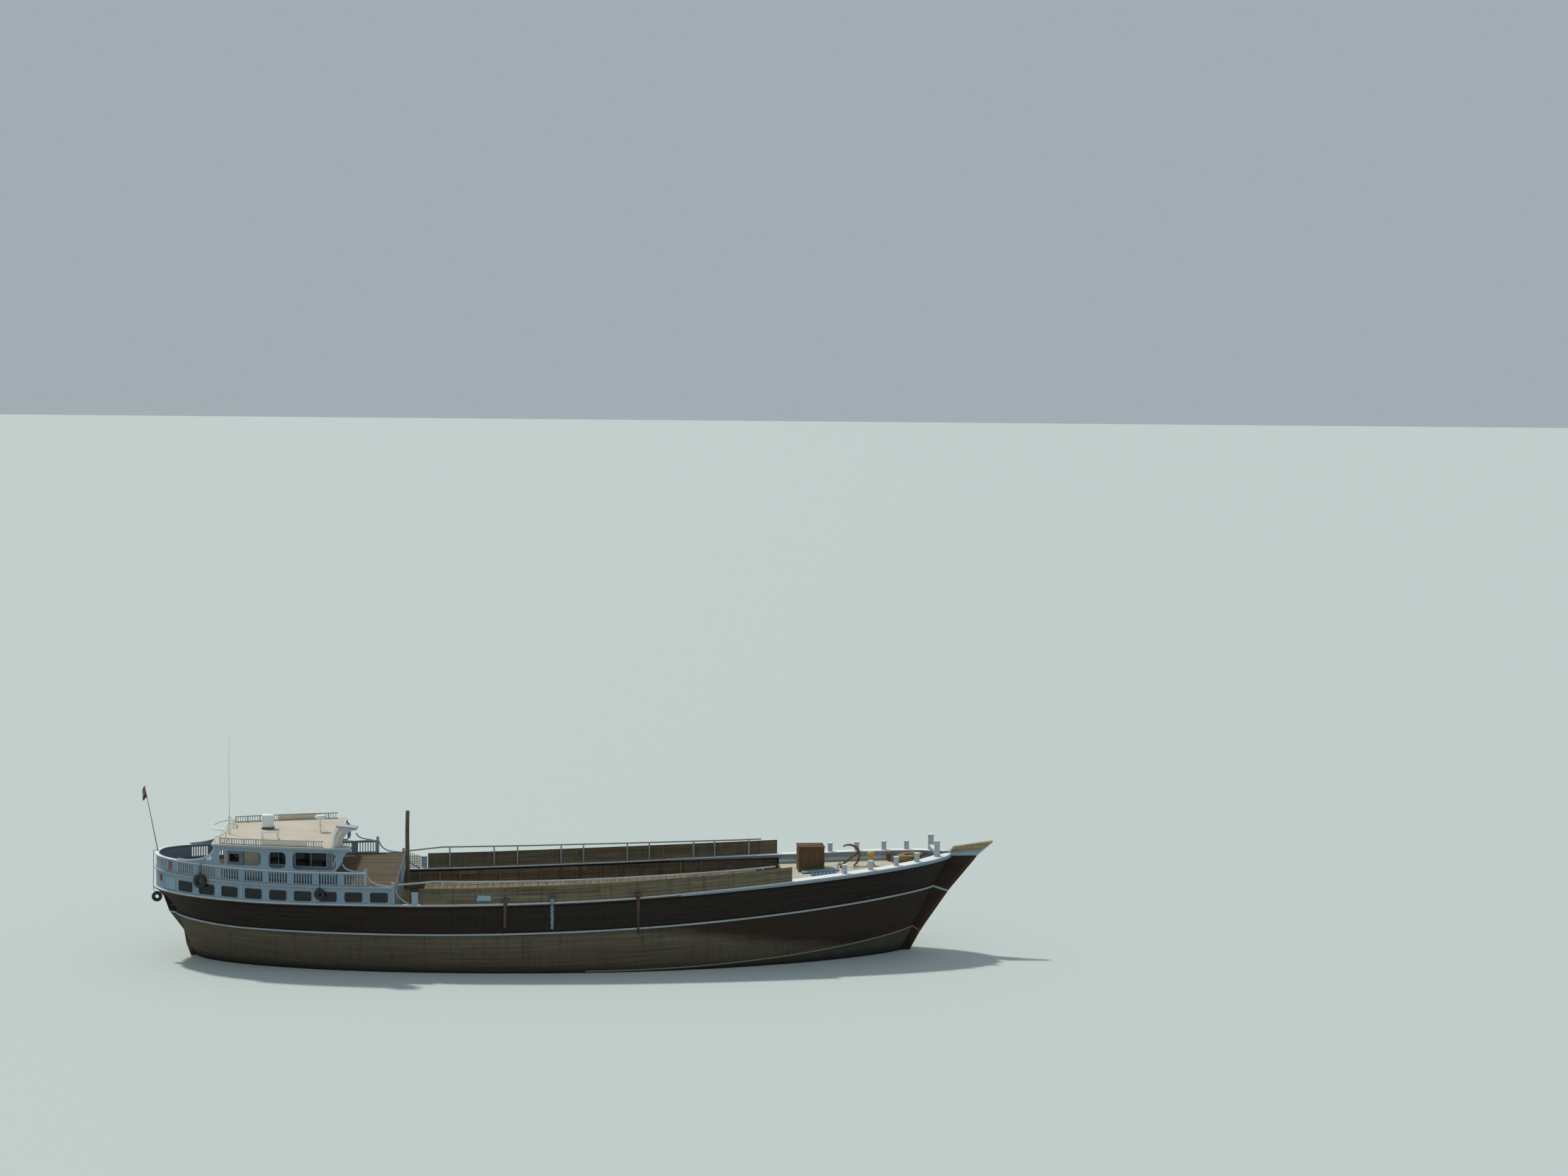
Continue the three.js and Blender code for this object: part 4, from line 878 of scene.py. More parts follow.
# The two rail whites carry painted shade: their sides colour darkens every upright face.
RAIL_WHITE = paint("sun_bleached_rail_enamel", "#e2e8ea", "#7a7266", "#aab0b2", 0.30, sides="#97a2a7")
MID_WHITE = paint("dull_rail_enamel", "#c3ced3", "#5b5a55", "#8b979c", 0.40, sides="#828a8e")
DIM_WHITE = paint("weathered_white_enamel", "#9ba6a9", "#5a5348", "#767b7a", 0.45, 0.62)
CREAM = paint("cream_enamel", "#cfc4ab", "#7a705c", "#a99f88", 0.35, roughness=0.6)
CANVAS = paint("painted_roof_canvas", "#bcb4a4", "#857c6c", "#9e9685", 0.55, 0.62, roughness=0.75)
HOUSE_BLUE = paint("grey_blue_enamel", "#7f95a3", "#5b5a55", "#65757e", seams=BOARD_WIDTH)
LAVENDER = paint("lavender_grey_enamel", "#a6aab4", "#6a665f", "#83868c")
DARK_CAP = paint("blue_black_enamel", "#2b3338", "#5b5a55", "#1c2023", wear=0.70)
PEELED = paint("peeling_blue_enamel", "#7f97a2", "#4b4136", "#5f6f76", 0.55, 0.50, 0.7)
SKY_BLUE = paint("light_blue_enamel", "#7fa3b3", "#5b5a55", "#5f7f8c", 0.45)
PLATFORM_BLUE = paint("faded_blue_enamel", "#6d8fa3", "#6a6048", "#566f7d", 0.5, 0.60, 0.7)
RUST_LINE = paint("rust_stained_enamel", "#8d6a4a", "#6e4a2a", "#777f80", 0.8)
RED = paint("red_enamel", "#8f3a30", "#4a3a30", "#6a2d26")


def dark_glass():
    """Sheet glass in front of an unlit room: near black, with streaks of dried spray."""
    material, tree, shader, place = surface("dark_window_glass", 0.12, ior=1.52,
                                            **{"Specular IOR Level": 0.30})
    dust = patches(tree, place, (330, 330, 200), 0.35, 0.75, 1.0, 3.0)
    tree.links.new(coats(tree, "#111415", (dust, "#242728")), shader.inputs["Base Color"])
    rough = put(tree, "MapRange", [dust, 0, 1, 0.10, 0.40])
    tree.links.new(rough, shader.inputs["Roughness"])
    return material


def rubber():
    """Worn tyre rubber, greyed by salt, with a net of fine cracks about 16 mm apart."""
    material, tree, shader, place = surface("weathered_rubber", 0.85, ior=1.52)
    dust = patches(tree, place, (70, 70, 70), 0.3, 0.8, 1.0, 5.0, 0.7)
    crack = put(tree, "TexVoronoi", {"Vector": place, "Scale": 60.0}, feature="DISTANCE_TO_EDGE")
    crack = put(tree, "MapRange", [crack, 0, 0.08])
    rough = put(tree, "MapRange", [dust, 0, 1, 0.75, 0.95])
    finished(tree, shader, coats(tree, "#17181a", (dust, "#3d3f41")), rough, crack, 0.001)
    return material


def iron(name, coat, rust, rusted=0.50, roughness=0.7):
    """Cast or forged iron under old paint, rough from the sand mould and rusting where the paint has
    gone; the pits are drawn 16 mm wide so that they show."""
    material, tree, shader, place = surface(name, roughness)
    pit = patches(tree, place, (16, 16, 16), 0.2, 0.8, 1.0, 3.0)
    spots = patches(tree, place, (110, 110, 140), rusted, rusted + 0.12, 0.9, 6.0, 0.7)
    base = coats(tree, coat, (put(tree, "MapRange", [pit, 0, 1, 0, 0.35]), rust), (spots, rust))
    rough = put(tree, "MapRange", [pit, 0, 1, roughness - 0.1, roughness + 0.15])
    finished(tree, shader, base, rough, pit, 0.0012)
    return material


def pitch():
    """Caulking pitch paid into the seams: black, dull where it is trodden and dusty."""
    material, tree, shader, place = surface("black_caulking_pitch", 0.6)
    dust = patches(tree, place, (60, 60, 60), 0.40, 0.75, 0.8, 4.0)
    rough = put(tree, "MapRange", [dust, 0, 1, 0.45, 0.85])
    finished(tree, shader, coats(tree, "#14110e", (dust, "#3a342b")), rough, dust, 0.001)
    return material


def coir():
    """Three-strand coir rope: brown fibres, with painted shade down in the lay between the strands."""
    material, tree, shader, place = surface("coir_rope", 0.95)
    fibre = patches(tree, place, (8, 8, 8), 0.25, 0.75, 1.0, 4.0, 0.8)
    patch = patches(tree, place, (200, 200, 200), 0.35, 0.75, 0.5, 3.0)
    # Painted shade in the lay between the strands.
    lay_shade = put(tree, "MapRange", [board_of(tree)[1][1], 0.6, 0.0, 0, 0.75])
    base = coats(tree, "#6d5c40", (fibre, "#b29b6d"), (patch, "#7d6c4b"), (lay_shade, "#2e2517"))
    rough = put(tree, "MapRange", [fibre, 0, 1, 0.85, 1.0])
    finished(tree, shader, base, rough, fibre, 0.002)
    return material


def bunting():
    """Woven wool bunting, sewn from bands: red down the hoist, then green, white and black. The board
    attribute holds the place on the flat cut; the weave is drawn 6 mm wide so that it shows."""
    material, tree, shader, place = surface("wool_bunting", 0.9, **{"Sheen Weight": 0.25})
    cloth, (fly, drop, _) = board_of(tree)
    second, third = (put(tree, "Math.GREATER_THAN", [drop, FLAG_DEEP * k / 3]) for k in (1, 2))
    hoist = put(tree, "Math.LESS_THAN", [fly, FLAG_LONG / 4])
    weave = put(tree, "TexChecker", {"Vector": cloth, "Scale": 330.0}, 1)
    dirt = patches(tree, cloth, (90, 90, 90), 0.35, 0.80, 0.45, 4.0)
    base = coats(tree, "#2f6b46", (second, "#d9d8d0"), (third, "#22221f"), (hoist, "#a2322f"),
                 (dirt, "#5a554b"))
    rough = put(tree, "MapRange", [weave, 0, 1, 0.80, 1.0])
    finished(tree, shader, base, rough, weave, 0.0006)
    return material


def cast_bronze():
    """Sand-cast manganese bronze: a yellow metal under a dull brown film."""
    material, tree, shader, place = surface("cast_bronze", 0.38, 1.0)
    film = patches(tree, place, (160, 160, 160), 0.3, 0.8, 1.0, 5.0)
    rough = put(tree, "MapRange", [film, 0, 1, 0.28, 0.6])
    finished(tree, shader, coats(tree, "#b08a45", (film, "#5f4a2c")), rough, film, 0.0008)
    return material


GLASS, RUBBER, BRONZE, ROPE, CLOTH, CAULK = dark_glass(), rubber(), cast_bronze(), coir(), bunting(), pitch()
OCHRE = iron("ochre_painted_iron", "#c79f4e", "#7d5f36", 0.62)
RUSTY_IRON = iron("rusty_forged_iron", "#76603f", "#4a3828", 0.50, 0.85)
GREY_IRON = iron("grey_iron", "#4a4b49", "#4b3526")
DARK_GEAR = iron("greased_dark_iron", "#232322", "#3a2a20")


# Hull

def planked(surface_of, count, width, seam=0.045):
    """Points of a planked surface with its seams cut in, and each point's board values."""
    rows = [(0.0, 0.0, 0, 0.0)]
    for k in range(count):
        rows += [((k + t) / count, 0.0, k, t) for t in (seam, 0.5, 1 - seam)]
        rows.append(((k + 1) / count, SEAM_DEPTH if k < count - 1 else 0.0, k, 1.0))
    share, depth, plank, part = np.array(rows).T
    grid = surface_of(closer_at_ends(HULL_COLUMNS), share)
    normal = np.cross(np.gradient(grid, axis=0), np.gradient(grid, axis=1))
    normal /= np.maximum(np.linalg.norm(normal, axis=2, keepdims=True), 1e-9)
    normal *= np.sign(normal[..., 1].sum())
    tones = np.array([chance.random() for _ in range(count)])[plank.astype(int)]
    marks = np.stack(np.broadcast_arrays(grid[..., 0], (plank + part) * width, tones), axis=2)
    return grid, grid - normal * depth[None, :, None], marks


def shell_of(skin, inside, marks):
    """Closed piece from an outer skin and its inner one, both with the same board values."""
    marks = np.concatenate([marks, marks[:, ::-1]], axis=1).reshape(-1, 3)
    return marked(lofted(np.concatenate([skin, inside], axis=1)), marks)


def swept(points, section, outward=None):
    """A batten along points of the port side. Its section's out and up pairs go outward in plan."""
    if outward is None:
        outward = directions(np.asarray(points)[:, :2])[:, ::-1] * (-1, 1)
    return lofted([[(x + nx * out, y + ny * out, z + up) for out, up in section]
                   for (x, y, z), (nx, ny) in zip(points, outward)])


def build_hull():
    _, skin, marks = planked(bottom_grid, BOTTOM_PLANKS, 0.17)
    hull = shell_of(skin, (skin * (1, -1, 1))[:, ::-1], marks)
    done(hull, "hull_planking", HULL_LOWER, nodes=["hull_bottom"])
    grid, skin, marks = planked(topside_grid, TOPSIDE_PLANKS, 0.14)
    inside = grid[:, ::-1].copy()
    inside[..., 1] = np.maximum(inside[..., 1] - SKIN_THICK, LEAST_ROOM)
    both(shell_of(skin, inside, marks), "topside_planking", HULL_UPPER, nodes=["topside"])
    for node, finish, slot in (("stem_post", POST_WOOD, "tarred_planks"),
                               ("stern_post", STERN_WOOD, "tarred_planks"),
                               ("keel", HULL_LOWER, "weathered_planks")):
        from_node(node, f"{node}_timber", finish, 0.01)


WALE_SECTION = [(-0.03, -0.028), (0.034, -0.028), (0.042, -0.02), (0.042, 0.018), (0.034, 0.026),
                (-0.03, 0.026)]
# Section of the dark strip under the wale: a painted shadow line.
WALE_SHADOW = [(-0.03, -0.04), (0.022, -0.04), (0.022, -0.0285), (-0.03, -0.0285)]
# Ends of the wale's strips, x and z: over the stem and over the sternpost
WALE_FORE = (10.64, wale_z(10.675)), (11.13, 1.79)
WALE_AFT = (-12.038, 1.313), (-11.79, wale_z(-11.82))
BOOT_SECTION = [(-0.04, -0.02), (0.012, -0.02), (0.014, 0.0), (0.01, 0.02), (-0.04, 0.02)]
BOOT_END = (10.285, 0.575)


def post_strip(start, end, half):
    """Batten across the port side of the stem or sternpost between two points of x and z."""
    section = [(-0.01, -half), (0.02, -half), (0.026, 0.0), (0.02, half), (-0.01, half)]
    return ribbon([start, end], section, lambda x, out: (x, POST_HALF + out))


def build_wales():
    x = between(WALE, closer_at_ends(220))
    line = np.stack([x, half_breadth(WALE, x), wale_z(x)], axis=1)
    band = [swept(line, WALE_SECTION), post_strip(*WALE_FORE, 0.028), post_strip(*WALE_AFT, 0.026)]
    both(merged(band), "wale_batten", DIM_WHITE, nodes=["wale"])
    # Painted shadow: a dark tarred strip under the wale stands for the shade beneath it.
    both(swept(line, WALE_SHADOW), "wale_backing", POST_WOOD)


def build_boot_batten():
    """Thin pale batten along the boot line, out of the water amidships and up to the stem."""
    line = []
    for column in bottom_grid(np.linspace(0.5, 0.9995, 170), np.linspace(0, 0.6, 240)):
        x, _, z = column.T
        over = z - BOOT_AFT_Z - BOOT_RISE * (np.maximum(x, 0) / BOOT_FORE_X) ** BOOT_POWER
        k = int(np.argmax(over < 0))
        if k and x[k] > 0.1:
            t = over[k - 1] / (over[k - 1] - over[k])
            line.append(column[k - 1] * (1 - t) + column[k] * t)
    strip = post_strip((line[-1][0] - 0.02, line[-1][2]), BOOT_END, 0.022)
    both(merged([swept(line, BOOT_SECTION), strip]), "boot_batten", WORN_BATTEN)


# Cap rail round the whole boat

BOW_RAIL_END, CARRIER_FORE_X, CAP_THICK = 11.15, 2.9, 0.038
SMALL_BITTS_X = (7.77, 8.57, 9.37, 10.03)
# Strips that sweep down from one tier to the next, x and z
FRONT_SWEEP = [(-5.28, 2.47), (-5.24, 2.33), (-5.14, 2.19), (-4.99, 2.09), (-4.82, 1.985)]
MID_SWEEP = [(-6.085, 2.86), (-6.04, 2.745), (-5.93, 2.64), (-5.75, 2.565), (-5.385, 2.519)]
TOP_SWEEP = [(-6.79, 3.15), (-6.745, 3.075), (-6.65, 3.005), (-6.48, 2.955), (-6.158, 2.9)]


def cap_inset(x):
    wide = 0.15 + 0.225 * np.clip((x - 3.0) / 4.0, 0, 1)
    return np.where(x < 0, 0.15, np.minimum(wide, 0.55 * side_y(x)))


def bitt(x, y, foot, radius, height, flare=1.1):
    """Round bitt with a slightly wider cap."""
    cap = radius * flare
    profile = [(0, -0.04), (radius * 0.97, -0.04), (radius * 0.98, height * 0.4),
               (radius * 0.95, height * 0.8), (radius * 0.97, height * 0.83), (cap * 0.98, height * 0.855),
               (cap, height * 0.88), (cap, height * 0.96), (cap * 0.93, height * 0.99),
               (cap * 0.6, height), (0, height * 1.005)]
    return turned(profile, (x, y, foot), steps=28)


def sweep_strip(points, width, thick=0.034, inset=0.035, edge=0.004):
    """Strip that sweeps down from one tier to the next, on the port side. Points are x and z."""
    half, low = thick / 2, thick / 2 - edge
    section = [(edge, -half), (0, -low), (0, low), (edge, half), (width - edge, half), (width, low),
               (width, -low), (width - edge, -half)]
    return ribbon(smoothed(points), section, lambda x, into: (x, side_y(x) - inset - into))


def build_cap_rail():
    """White cap over a narrower carrier: dark wood amidships, a painted shadow line under the cap,
    and painted grey-blue with two white beads towards the bow."""
    end, fore = s_at(BOW_RAIL_END), s_at(CARRIER_FORE_X)
    cap = rail(-end, end, 0.043, lambda x: -cap_inset(x), above(rail_top_z, -CAP_THICK), rail_top_z,
               0.09, 0.01)
    done(cap, "cap_rail", RAIL_WHITE, nodes=["sheer_rail"])
    low, high = above(sheer_z, 0.0003), above(rail_top_z, -CAP_THICK - 0.0005)
    for side, name in ((-1, "starboard"), (1, "port")):
        carrier = rail(side * fore, side * end, 0.036, lambda x: 0.06 - cap_inset(x), low, high, radius=0.004)
        done(carrier, f"rail_carrier_{name}", BLUE_TRIM)
        for share in (0.12, 0.56):
            foot = lambda x: sheer_z(x) + share * (rail_thick(x) - CAP_THICK)
            bead = rail(side * fore, side * end, 0.056, 0.045, foot, above(foot, 0.013), radius=0.003)
            done(bead, f"rail_bead_{name}_{round(share * 100)}", MID_WHITE)
    # Painted shadow: the dark carrier in the waist is the shade line under the white cap.
    waist_shadow_carrier = rail(-fore + 0.001, fore - 0.001, 0.048, -0.1, low, high, radius=0.003)
    done(waist_shadow_carrier, "rail_carrier_waist", SKID_WOOD)
    bitts = [bitt(x, side_y(x) - 0.19, rail_top_z(x), 0.078, 0.275) for x in SMALL_BITTS_X]
    both(merged(bitts), "rail_bitts", RAIL_WHITE)

    edge, low = side_y(-4.72), sheer_z(-4.7) + 0.05
    post = beam((-4.812, edge - 0.034, low), (-4.633, edge + 0.038, 2.352), 0.006)
    cap = beam((-4.828, edge - 0.046, 2.35), (-4.617, edge + 0.05, 2.37), 0.005)
    panel = beam((-4.785, edge + 0.032, low + 0.06), (-4.66, edge + 0.043, 2.31), 0.003)
    sweep = merged([sweep_strip(FRONT_SWEEP, 0.05), post, cap, panel])
    both(sweep, "front_sweep", BLUE_TRIM)


BOW_BITTS_X, BOW_BITTS_Y = 10.705, 0.66


def build_bow_bitts():
    x, foot = BOW_BITTS_X, rail_top_z(10.805) + 0.001
    pair = [bitt(x, y, foot, 0.09, 0.475, 1.06) for y in (-BOW_BITTS_Y, BOW_BITTS_Y)]
    cross = beam((x - 0.06, -0.62, foot + 0.06), (x + 0.06, 0.62, foot + 0.17), 0.01)
    done(merged([*pair, cross]), "bow_bitts_pair", RAIL_WHITE, nodes=["bow_bitts"])
    done(refined("stem_head", 0.006), "stem_head_timber", BLUE_TRIM, nodes=["stem_head"])


BEAK = [(11.192, 2.976), (12.085, 3.036), (12.4595, 3.236), (12.5, 3.29), (11.308, 3.125)]
BEAK_BOARDS, BEAK_BOARD_WIDE = 5, 0.042


def build_stem_cap():
    """Beak on the stem head: bare boards laid along a wedge, the middle one longest."""
    pieces = []
    for k in range(BEAK_BOARDS):
        y0 = BEAK_BOARD_WIDE * (k - BEAK_BOARDS / 2) + 0.0012
        y1 = y0 + BEAK_BOARD_WIDE - 0.0024
        shape = list(BEAK)
        shape[3] = (BEAK[3][0] - 0.004 * abs(k - 2), BEAK[3][1])
        pieces.append(grained(plate(shape, thick=y1 - y0, edge=0.002, face=y1)))
    done(merged(pieces), "beak_boards", BEAK_WOOD, nodes=["stem_cap"])


# Decks

def deck_planks(aft, fore, height, thick, half_of, name, node, finish, width=0.098, gap=0.005, ease=0.003):
    """Fore-and-aft boards with pitch between them, cut to the shape of the boat's side."""
    count = int(ceil(2 * 3.3 / width))
    xs = np.linspace(aft, fore, max(12, int((fore - aft) / 0.22)))
    room = np.array([half_of(x) for x in xs])
    pieces = []
    for k in range(count):
        y0 = (k - count / 2) * width + gap / 2
        low, high = np.clip(y0, -room, room), np.clip(y0 + width - gap, -room, room)
        open_at = np.flatnonzero(high - low > 0.006)
        if len(open_at) < 2:
            continue
        rings, marks = [], []
        number = chance.random()
        for i in range(open_at[0], open_at[-1] + 1):
            x, a, b, z = xs[i], low[i], max(high[i], low[i] + ease), height(xs[i])
            rings.append([(x, a, z - thick), (x, a, z - ease), (x, a + ease, z), (x, b - ease, z),
                          (x, b, z - ease), (x, b, z - thick)])
            marks += [(x, y, number) for y in (a, a, a, b, b, b)]
        pieces.append(marked(lofted(rings), marks))
    done(merged(pieces), name, finish, nodes=[node], smooth=20)
    rings = [[(x, y, z - down) for y, down in ((-h, 0.9 * thick), (-h, 0.004), (h, 0.004), (h, 0.9 * thick))]
             for x, h, z in zip(xs, room - 0.002, height(xs))]
    done(lofted(rings), f"{name}_pitch", CAULK)


def poop_deck_half(x):
    return side_y(x) - 0.072


BREAK_BOARDS = 30


def build_decks():
    x = FOREDECK_AFT_X
    deck_planks(-12.1, x - 0.02, main_deck_z, 0.05, lambda x: inner_half(x, main_deck_z(x)),
                "main_deck_boards", "main_deck", DECK_DARK)
    deck_planks(x + 0.005, 10.9, foredeck_z, 0.05, lambda x: inner_half(x, foredeck_z(x)),
                "foredeck_boards", "foredeck", DECK_WOOD)
    # The poop deck takes the dark boards as painted shade under the roof.
    deck_planks(-12.34, POOP_FRONT_X - 0.002, mid_rail_z, 0.055, poop_deck_half,
                "poop_deck_boards", "poop_deck", DECK_DARK)
    half, z = poop_deck_half(POOP_FRONT_X) - 0.004, mid_rail_z(POOP_FRONT_X)
    edge = beam((POOP_FRONT_X - 0.01, -half, z - 0.058), (POOP_FRONT_X + 0.008, half, z - 0.003), 0.005)
    done(edge, "poop_deck_edge", BLUE_TRIM)
    half = inner_half(x, foredeck_z(x)) - 0.004
    low, high = main_deck_z(x) + 0.002, foredeck_z(x) - 0.052
    wide = 2 * half / BREAK_BOARDS
    pieces = []
    for k in range(BREAK_BOARDS):
        y0 = -half + wide * k
        board = beam((x - 0.02, y0 + 0.002, low), (x + 0.015, y0 + wide - 0.002, high), 0.004)
        pieces.append(grained(board, 2, 1))
    nosing = beam((x - 0.035, -half, high), (x + 0.003, half, high + 0.052), 0.01)
    done(merged([*pieces, grained(nosing, 1)]), "foredeck_break", ROUGH_BOARDS)


def lining(aft, fore, low, high, count, thick, name, finish):
    """Planks laid against the inside of the topsides, from one height to another, on both sides."""
    xs = np.linspace(aft, fore, max(6, int((fore - aft) / 0.25)))
    planks = []
    for k in range(count):
        number = chance.random()
        rings, marks = [], []
        for x in xs:
            foot, deep = low(x), (high(x) - low(x)) / count
            z0, z1 = foot + deep * k + 0.002, foot + deep * (k + 1) - 0.002
            y0, y1 = inner_half(x, z0) - 0.001, inner_half(x, z1) - 0.001
            rings.append([(x, y0, z0), (x, y0 - thick, z0), (x, y1 - thick, z1), (x, y1, z1)])
            marks += [(x, up, number) for up in (z0, z0, z1, z1)]
        planks.append(marked(lofted(rings), marks))
    both(merged(planks), name, finish)


def build_linings():
    """Painted strips round the foredeck; bare planks and frames in the waist."""
    aft, foot = FOREDECK_AFT_X + 0.02, above(foredeck_z, 0.002)
    lining(aft, 10.85, foot, above(sheer_z, -0.004), 1, 0.014, "foredeck_lining", WHITE)
    lining(aft, 10.8, foot, above(foredeck_z, 0.034), 1, 0.08, "foredeck_waterway", DIM_WHITE)
    low, high = above(main_deck_z, 0.002), above(sheer_z, -0.03)
    lining(POOP_FRONT_X + 0.02, FOREDECK_AFT_X - 0.03, low, high, 4, 0.012, "waist_ceiling", CEILING)
    frames = []
    for x in np.arange(POOP_FRONT_X + 0.45, FOREDECK_AFT_X - 0.2, 0.62):
        z0, z1 = low(x) + 0.002, high(x)
        y0, y1 = (inner_half(x, z) - 0.014 for z in (z0, z1))
        ring = [[(x + dx, y0, z0), (x + dx, y0 - 0.055, z0), (x + dx, y1 - 0.045, z1), (x + dx, y1, z1)]
                for dx in (-0.032, 0.032)]
        frames.append(grained(lofted(ring), 2, 0))
    both(merged(frames), "waist_frames", CEILING)


HATCH_AFT, HATCH_FORE, HATCH_HALF, HATCH_HEIGHT = -4.6, 5.4, 1.5, 0.35
HATCH_BOARDS, HATCH_OVER = 44, 0.018
CLEAT_SECTION = [(-0.03, -0.006), (0.03, -0.006), (0.026, 0.006), (-0.026, 0.006)]


def build_hatch():
    """Boards across the hatch, four cleats along them, on a coaming."""
    from_node("hatch_coaming", "hatch_coaming_timber", ROUGH_BOARDS, 0.012)
    pieces = []
    wide = (HATCH_FORE - HATCH_AFT + 2 * HATCH_OVER) / HATCH_BOARDS
    half, reach = wide / 2 - 0.004, HATCH_HALF + HATCH_OVER
    for k in range(HATCH_BOARDS):
        x = HATCH_AFT - HATCH_OVER + wide * (k + 0.5)
        slope = (main_deck_z(x + 0.1) - main_deck_z(x - 0.1)) / 0.2
        board = beam((-half, -reach, 0), (half, reach, 0.046), 0.006)
        z = main_deck_z(x) + HATCH_HEIGHT + 0.003
        pieces.append(grained(moved(board, placed(x, 0, z, -atan(slope), "Y")), 1, 0))
    xs = np.linspace(HATCH_AFT, HATCH_FORE, 30)
    for side in (-1, 1):
        for y in (0.45, 1.15):
            path = [(x, side * y, main_deck_z(x) + HATCH_HEIGHT + 0.055) for x in xs]
            pieces.append(grained(swept(path, CLEAT_SECTION, [(0, side)] * len(xs))))
    done(merged(pieces), "hatch_boards", ROUGH_BOARDS, nodes=["hatch_cover"])


# Bulwarks in the waist

BOARD_AFT, BOARD_FORE, BOARD_OUTER, BOARD_THICK = -4.612, 6.188, -0.042, 0.028
BOARD_ROWS, BOARD_LENGTH, BULWARK_HEIGHT = 4, 2.6, 0.465
BACKING_OUTER = BOARD_OUTER - BOARD_THICK - 0.001
# Light-blue board nailed over the starboard boards
PATCH_X, PATCH_LOW = (-2.97, -2.55), 2.13
GUARD_POSTS_X = (-3.935, -2.57, -1.85, -0.5, 0.195, 1.55, 2.23, 3.6, 4.25, 5.3)


def guard_z(x):
    height = 0.69 - 0.13 * np.clip((x + 4.0) / 9.0, 0, 1)
    return sheer_z(x) + height - 0.09 * np.maximum(0.0, -4.2 - x)


def build_weather_boards():
    """Four rows of rough boards with their nails, on stanchions."""
    start, end = s_at(BOARD_AFT), s_at(BOARD_FORE)
    wide = BULWARK_HEIGHT / BOARD_ROWS
    spots = np.arange(start, end, BOARD_LENGTH)
    pieces, nails = [], []
    for row in range(BOARD_ROWS):
        shift = row % 2 * BOARD_LENGTH / 2
        for k, s in enumerate(spots):
            a = s + shift if k else start
            b = min(end, spots[k + 1] + shift) if k + 1 < len(spots) else end
            if b - a < 0.05:
                continue
            gap = 0.003 + 0.004 * chance.random()
            out = BOARD_OUTER + 0.003 * (chance.random() - 0.5)
            board = beam((a + 0.002, out - BOARD_THICK, row * wide + gap), (b - 0.002, out, (row + 1) * wide))
            pieces.append(grained(sliced(board, np.arange(a + 0.3, b - 0.1, 0.3))))
    backing = beam((start, BACKING_OUTER - 0.004, 0.004), (end, BACKING_OUTER, BULWARK_HEIGHT - 0.002), 0)
    pieces.append(grained(sliced(backing, np.arange(start + 0.3, end - 0.1, 0.3))))
    studs = np.arange(start + 0.1, end, 0.45)
    for s in studs:
        for row in range(BOARD_ROWS):
            for up in (0.03, wide - 0.03):
                nails.append((s + 0.012 * (chance.random() - 0.5), BOARD_OUTER, row * wide + up))

    bend = lambda piece: wrapped(piece, above(rail_top_z, 0.001), above(sheer_z, 0.524), BULWARK_HEIGHT)
    both(bend(merged(pieces)), "bulwark_boards", ROUGH_BOARDS, nodes=["weather_boards"])
    nail = rod((0, -0.004, 0), (0, 0.003, 0), 0.0105, sides=8, edge=0)
    both(bend(repeated(nail, nails)), "bulwark_nails", DARK_GEAR)
    stud = beam((-0.022, BACKING_OUTER - 0.022, 0.002),
                (0.022, BACKING_OUTER - 0.0045, BULWARK_HEIGHT + 0.004))
    studs = bend(repeated(stud, [(s, 0, 0) for s in studs[::2]]))
    both(grained(studs, 2, 0), "bulwark_stanchions", ROUGH_BOARDS)
    s0, s1 = (s_at(x) for x in PATCH_X)
    patch = plate([(s0, 0), (s1, 0.012), (s1 - 0.02, 0.15), (s0 + 0.05, 0.162)], (), 0.005, 0.001,
                  BOARD_OUTER + 0.006)
    patch = wrapped(sliced(patch, np.linspace(s0, s1, 4)[1:-1]), risen(PATCH_LOW))
    done(to_starboard(patch), "bulwark_patch", SKY_BLUE)


def build_guard_rail():
    posts = [rail(s_at(-5.23), s_at(5.7), -0.092, -0.138, guard_z, above(guard_z, 0.046), 0.15, 0.012)]
    for x in GUARD_POSTS_X:
        y = side_y(x) - 0.115
        posts.append(beam((x - 0.022, y - 0.022, rail_top_z(x + 0.046) + 0.001),
                          (x + 0.022, y + 0.022, guard_z(x) + 0.01)))
    both(merged(posts), "guard_rails", DIM_WHITE, nodes=["guard_rail"])


LATTICE = (-5.29, -4.822, 2.02, 2.56)
LATTICE_UPRIGHTS, LATTICE_LEVELS, SLAT_HALF = 8, 7, 0.011


def build_lattice():
    """Lattice panel between the poop's front and the post beside it, on both sides."""
    x0, x1, z0, z1 = LATTICE
    y = side_y(-5.05) - 0.06
    slats = []
    for k in range(LATTICE_UPRIGHTS):
        share = (k + 0.5) / LATTICE_UPRIGHTS
        x = x0 + (x1 - x0) * share
        slat = beam((x - SLAT_HALF, y - 0.01, z0), (x + SLAT_HALF, y, z1 - 0.16 * share), 0.002)
        slats.append(grained(slat, 2, 0))
    for z in np.linspace(z0 + 0.03, z1 - 0.17, LATTICE_LEVELS):
        slats.append(grained(beam((x0, y - 0.02, z - SLAT_HALF), (x1, y - 0.01, z + SLAT_HALF), 0.002)))
    both(merged(slats), "lattice_panel", ROUGH_BOARDS)


# Skids on the starboard topside: x, top and bottom, width at the top and at the foot
SKIDS = [(-2.139, 2.184, 1.355, 0.12, 0.075), (-0.804, 2.259, 1.305, 0.115, 0.085),
         (1.657, 2.326, 1.101, 0.125, 0.07)]
# The skids reach no further out than the widest part of the rail
SKID_REACH = 3.523


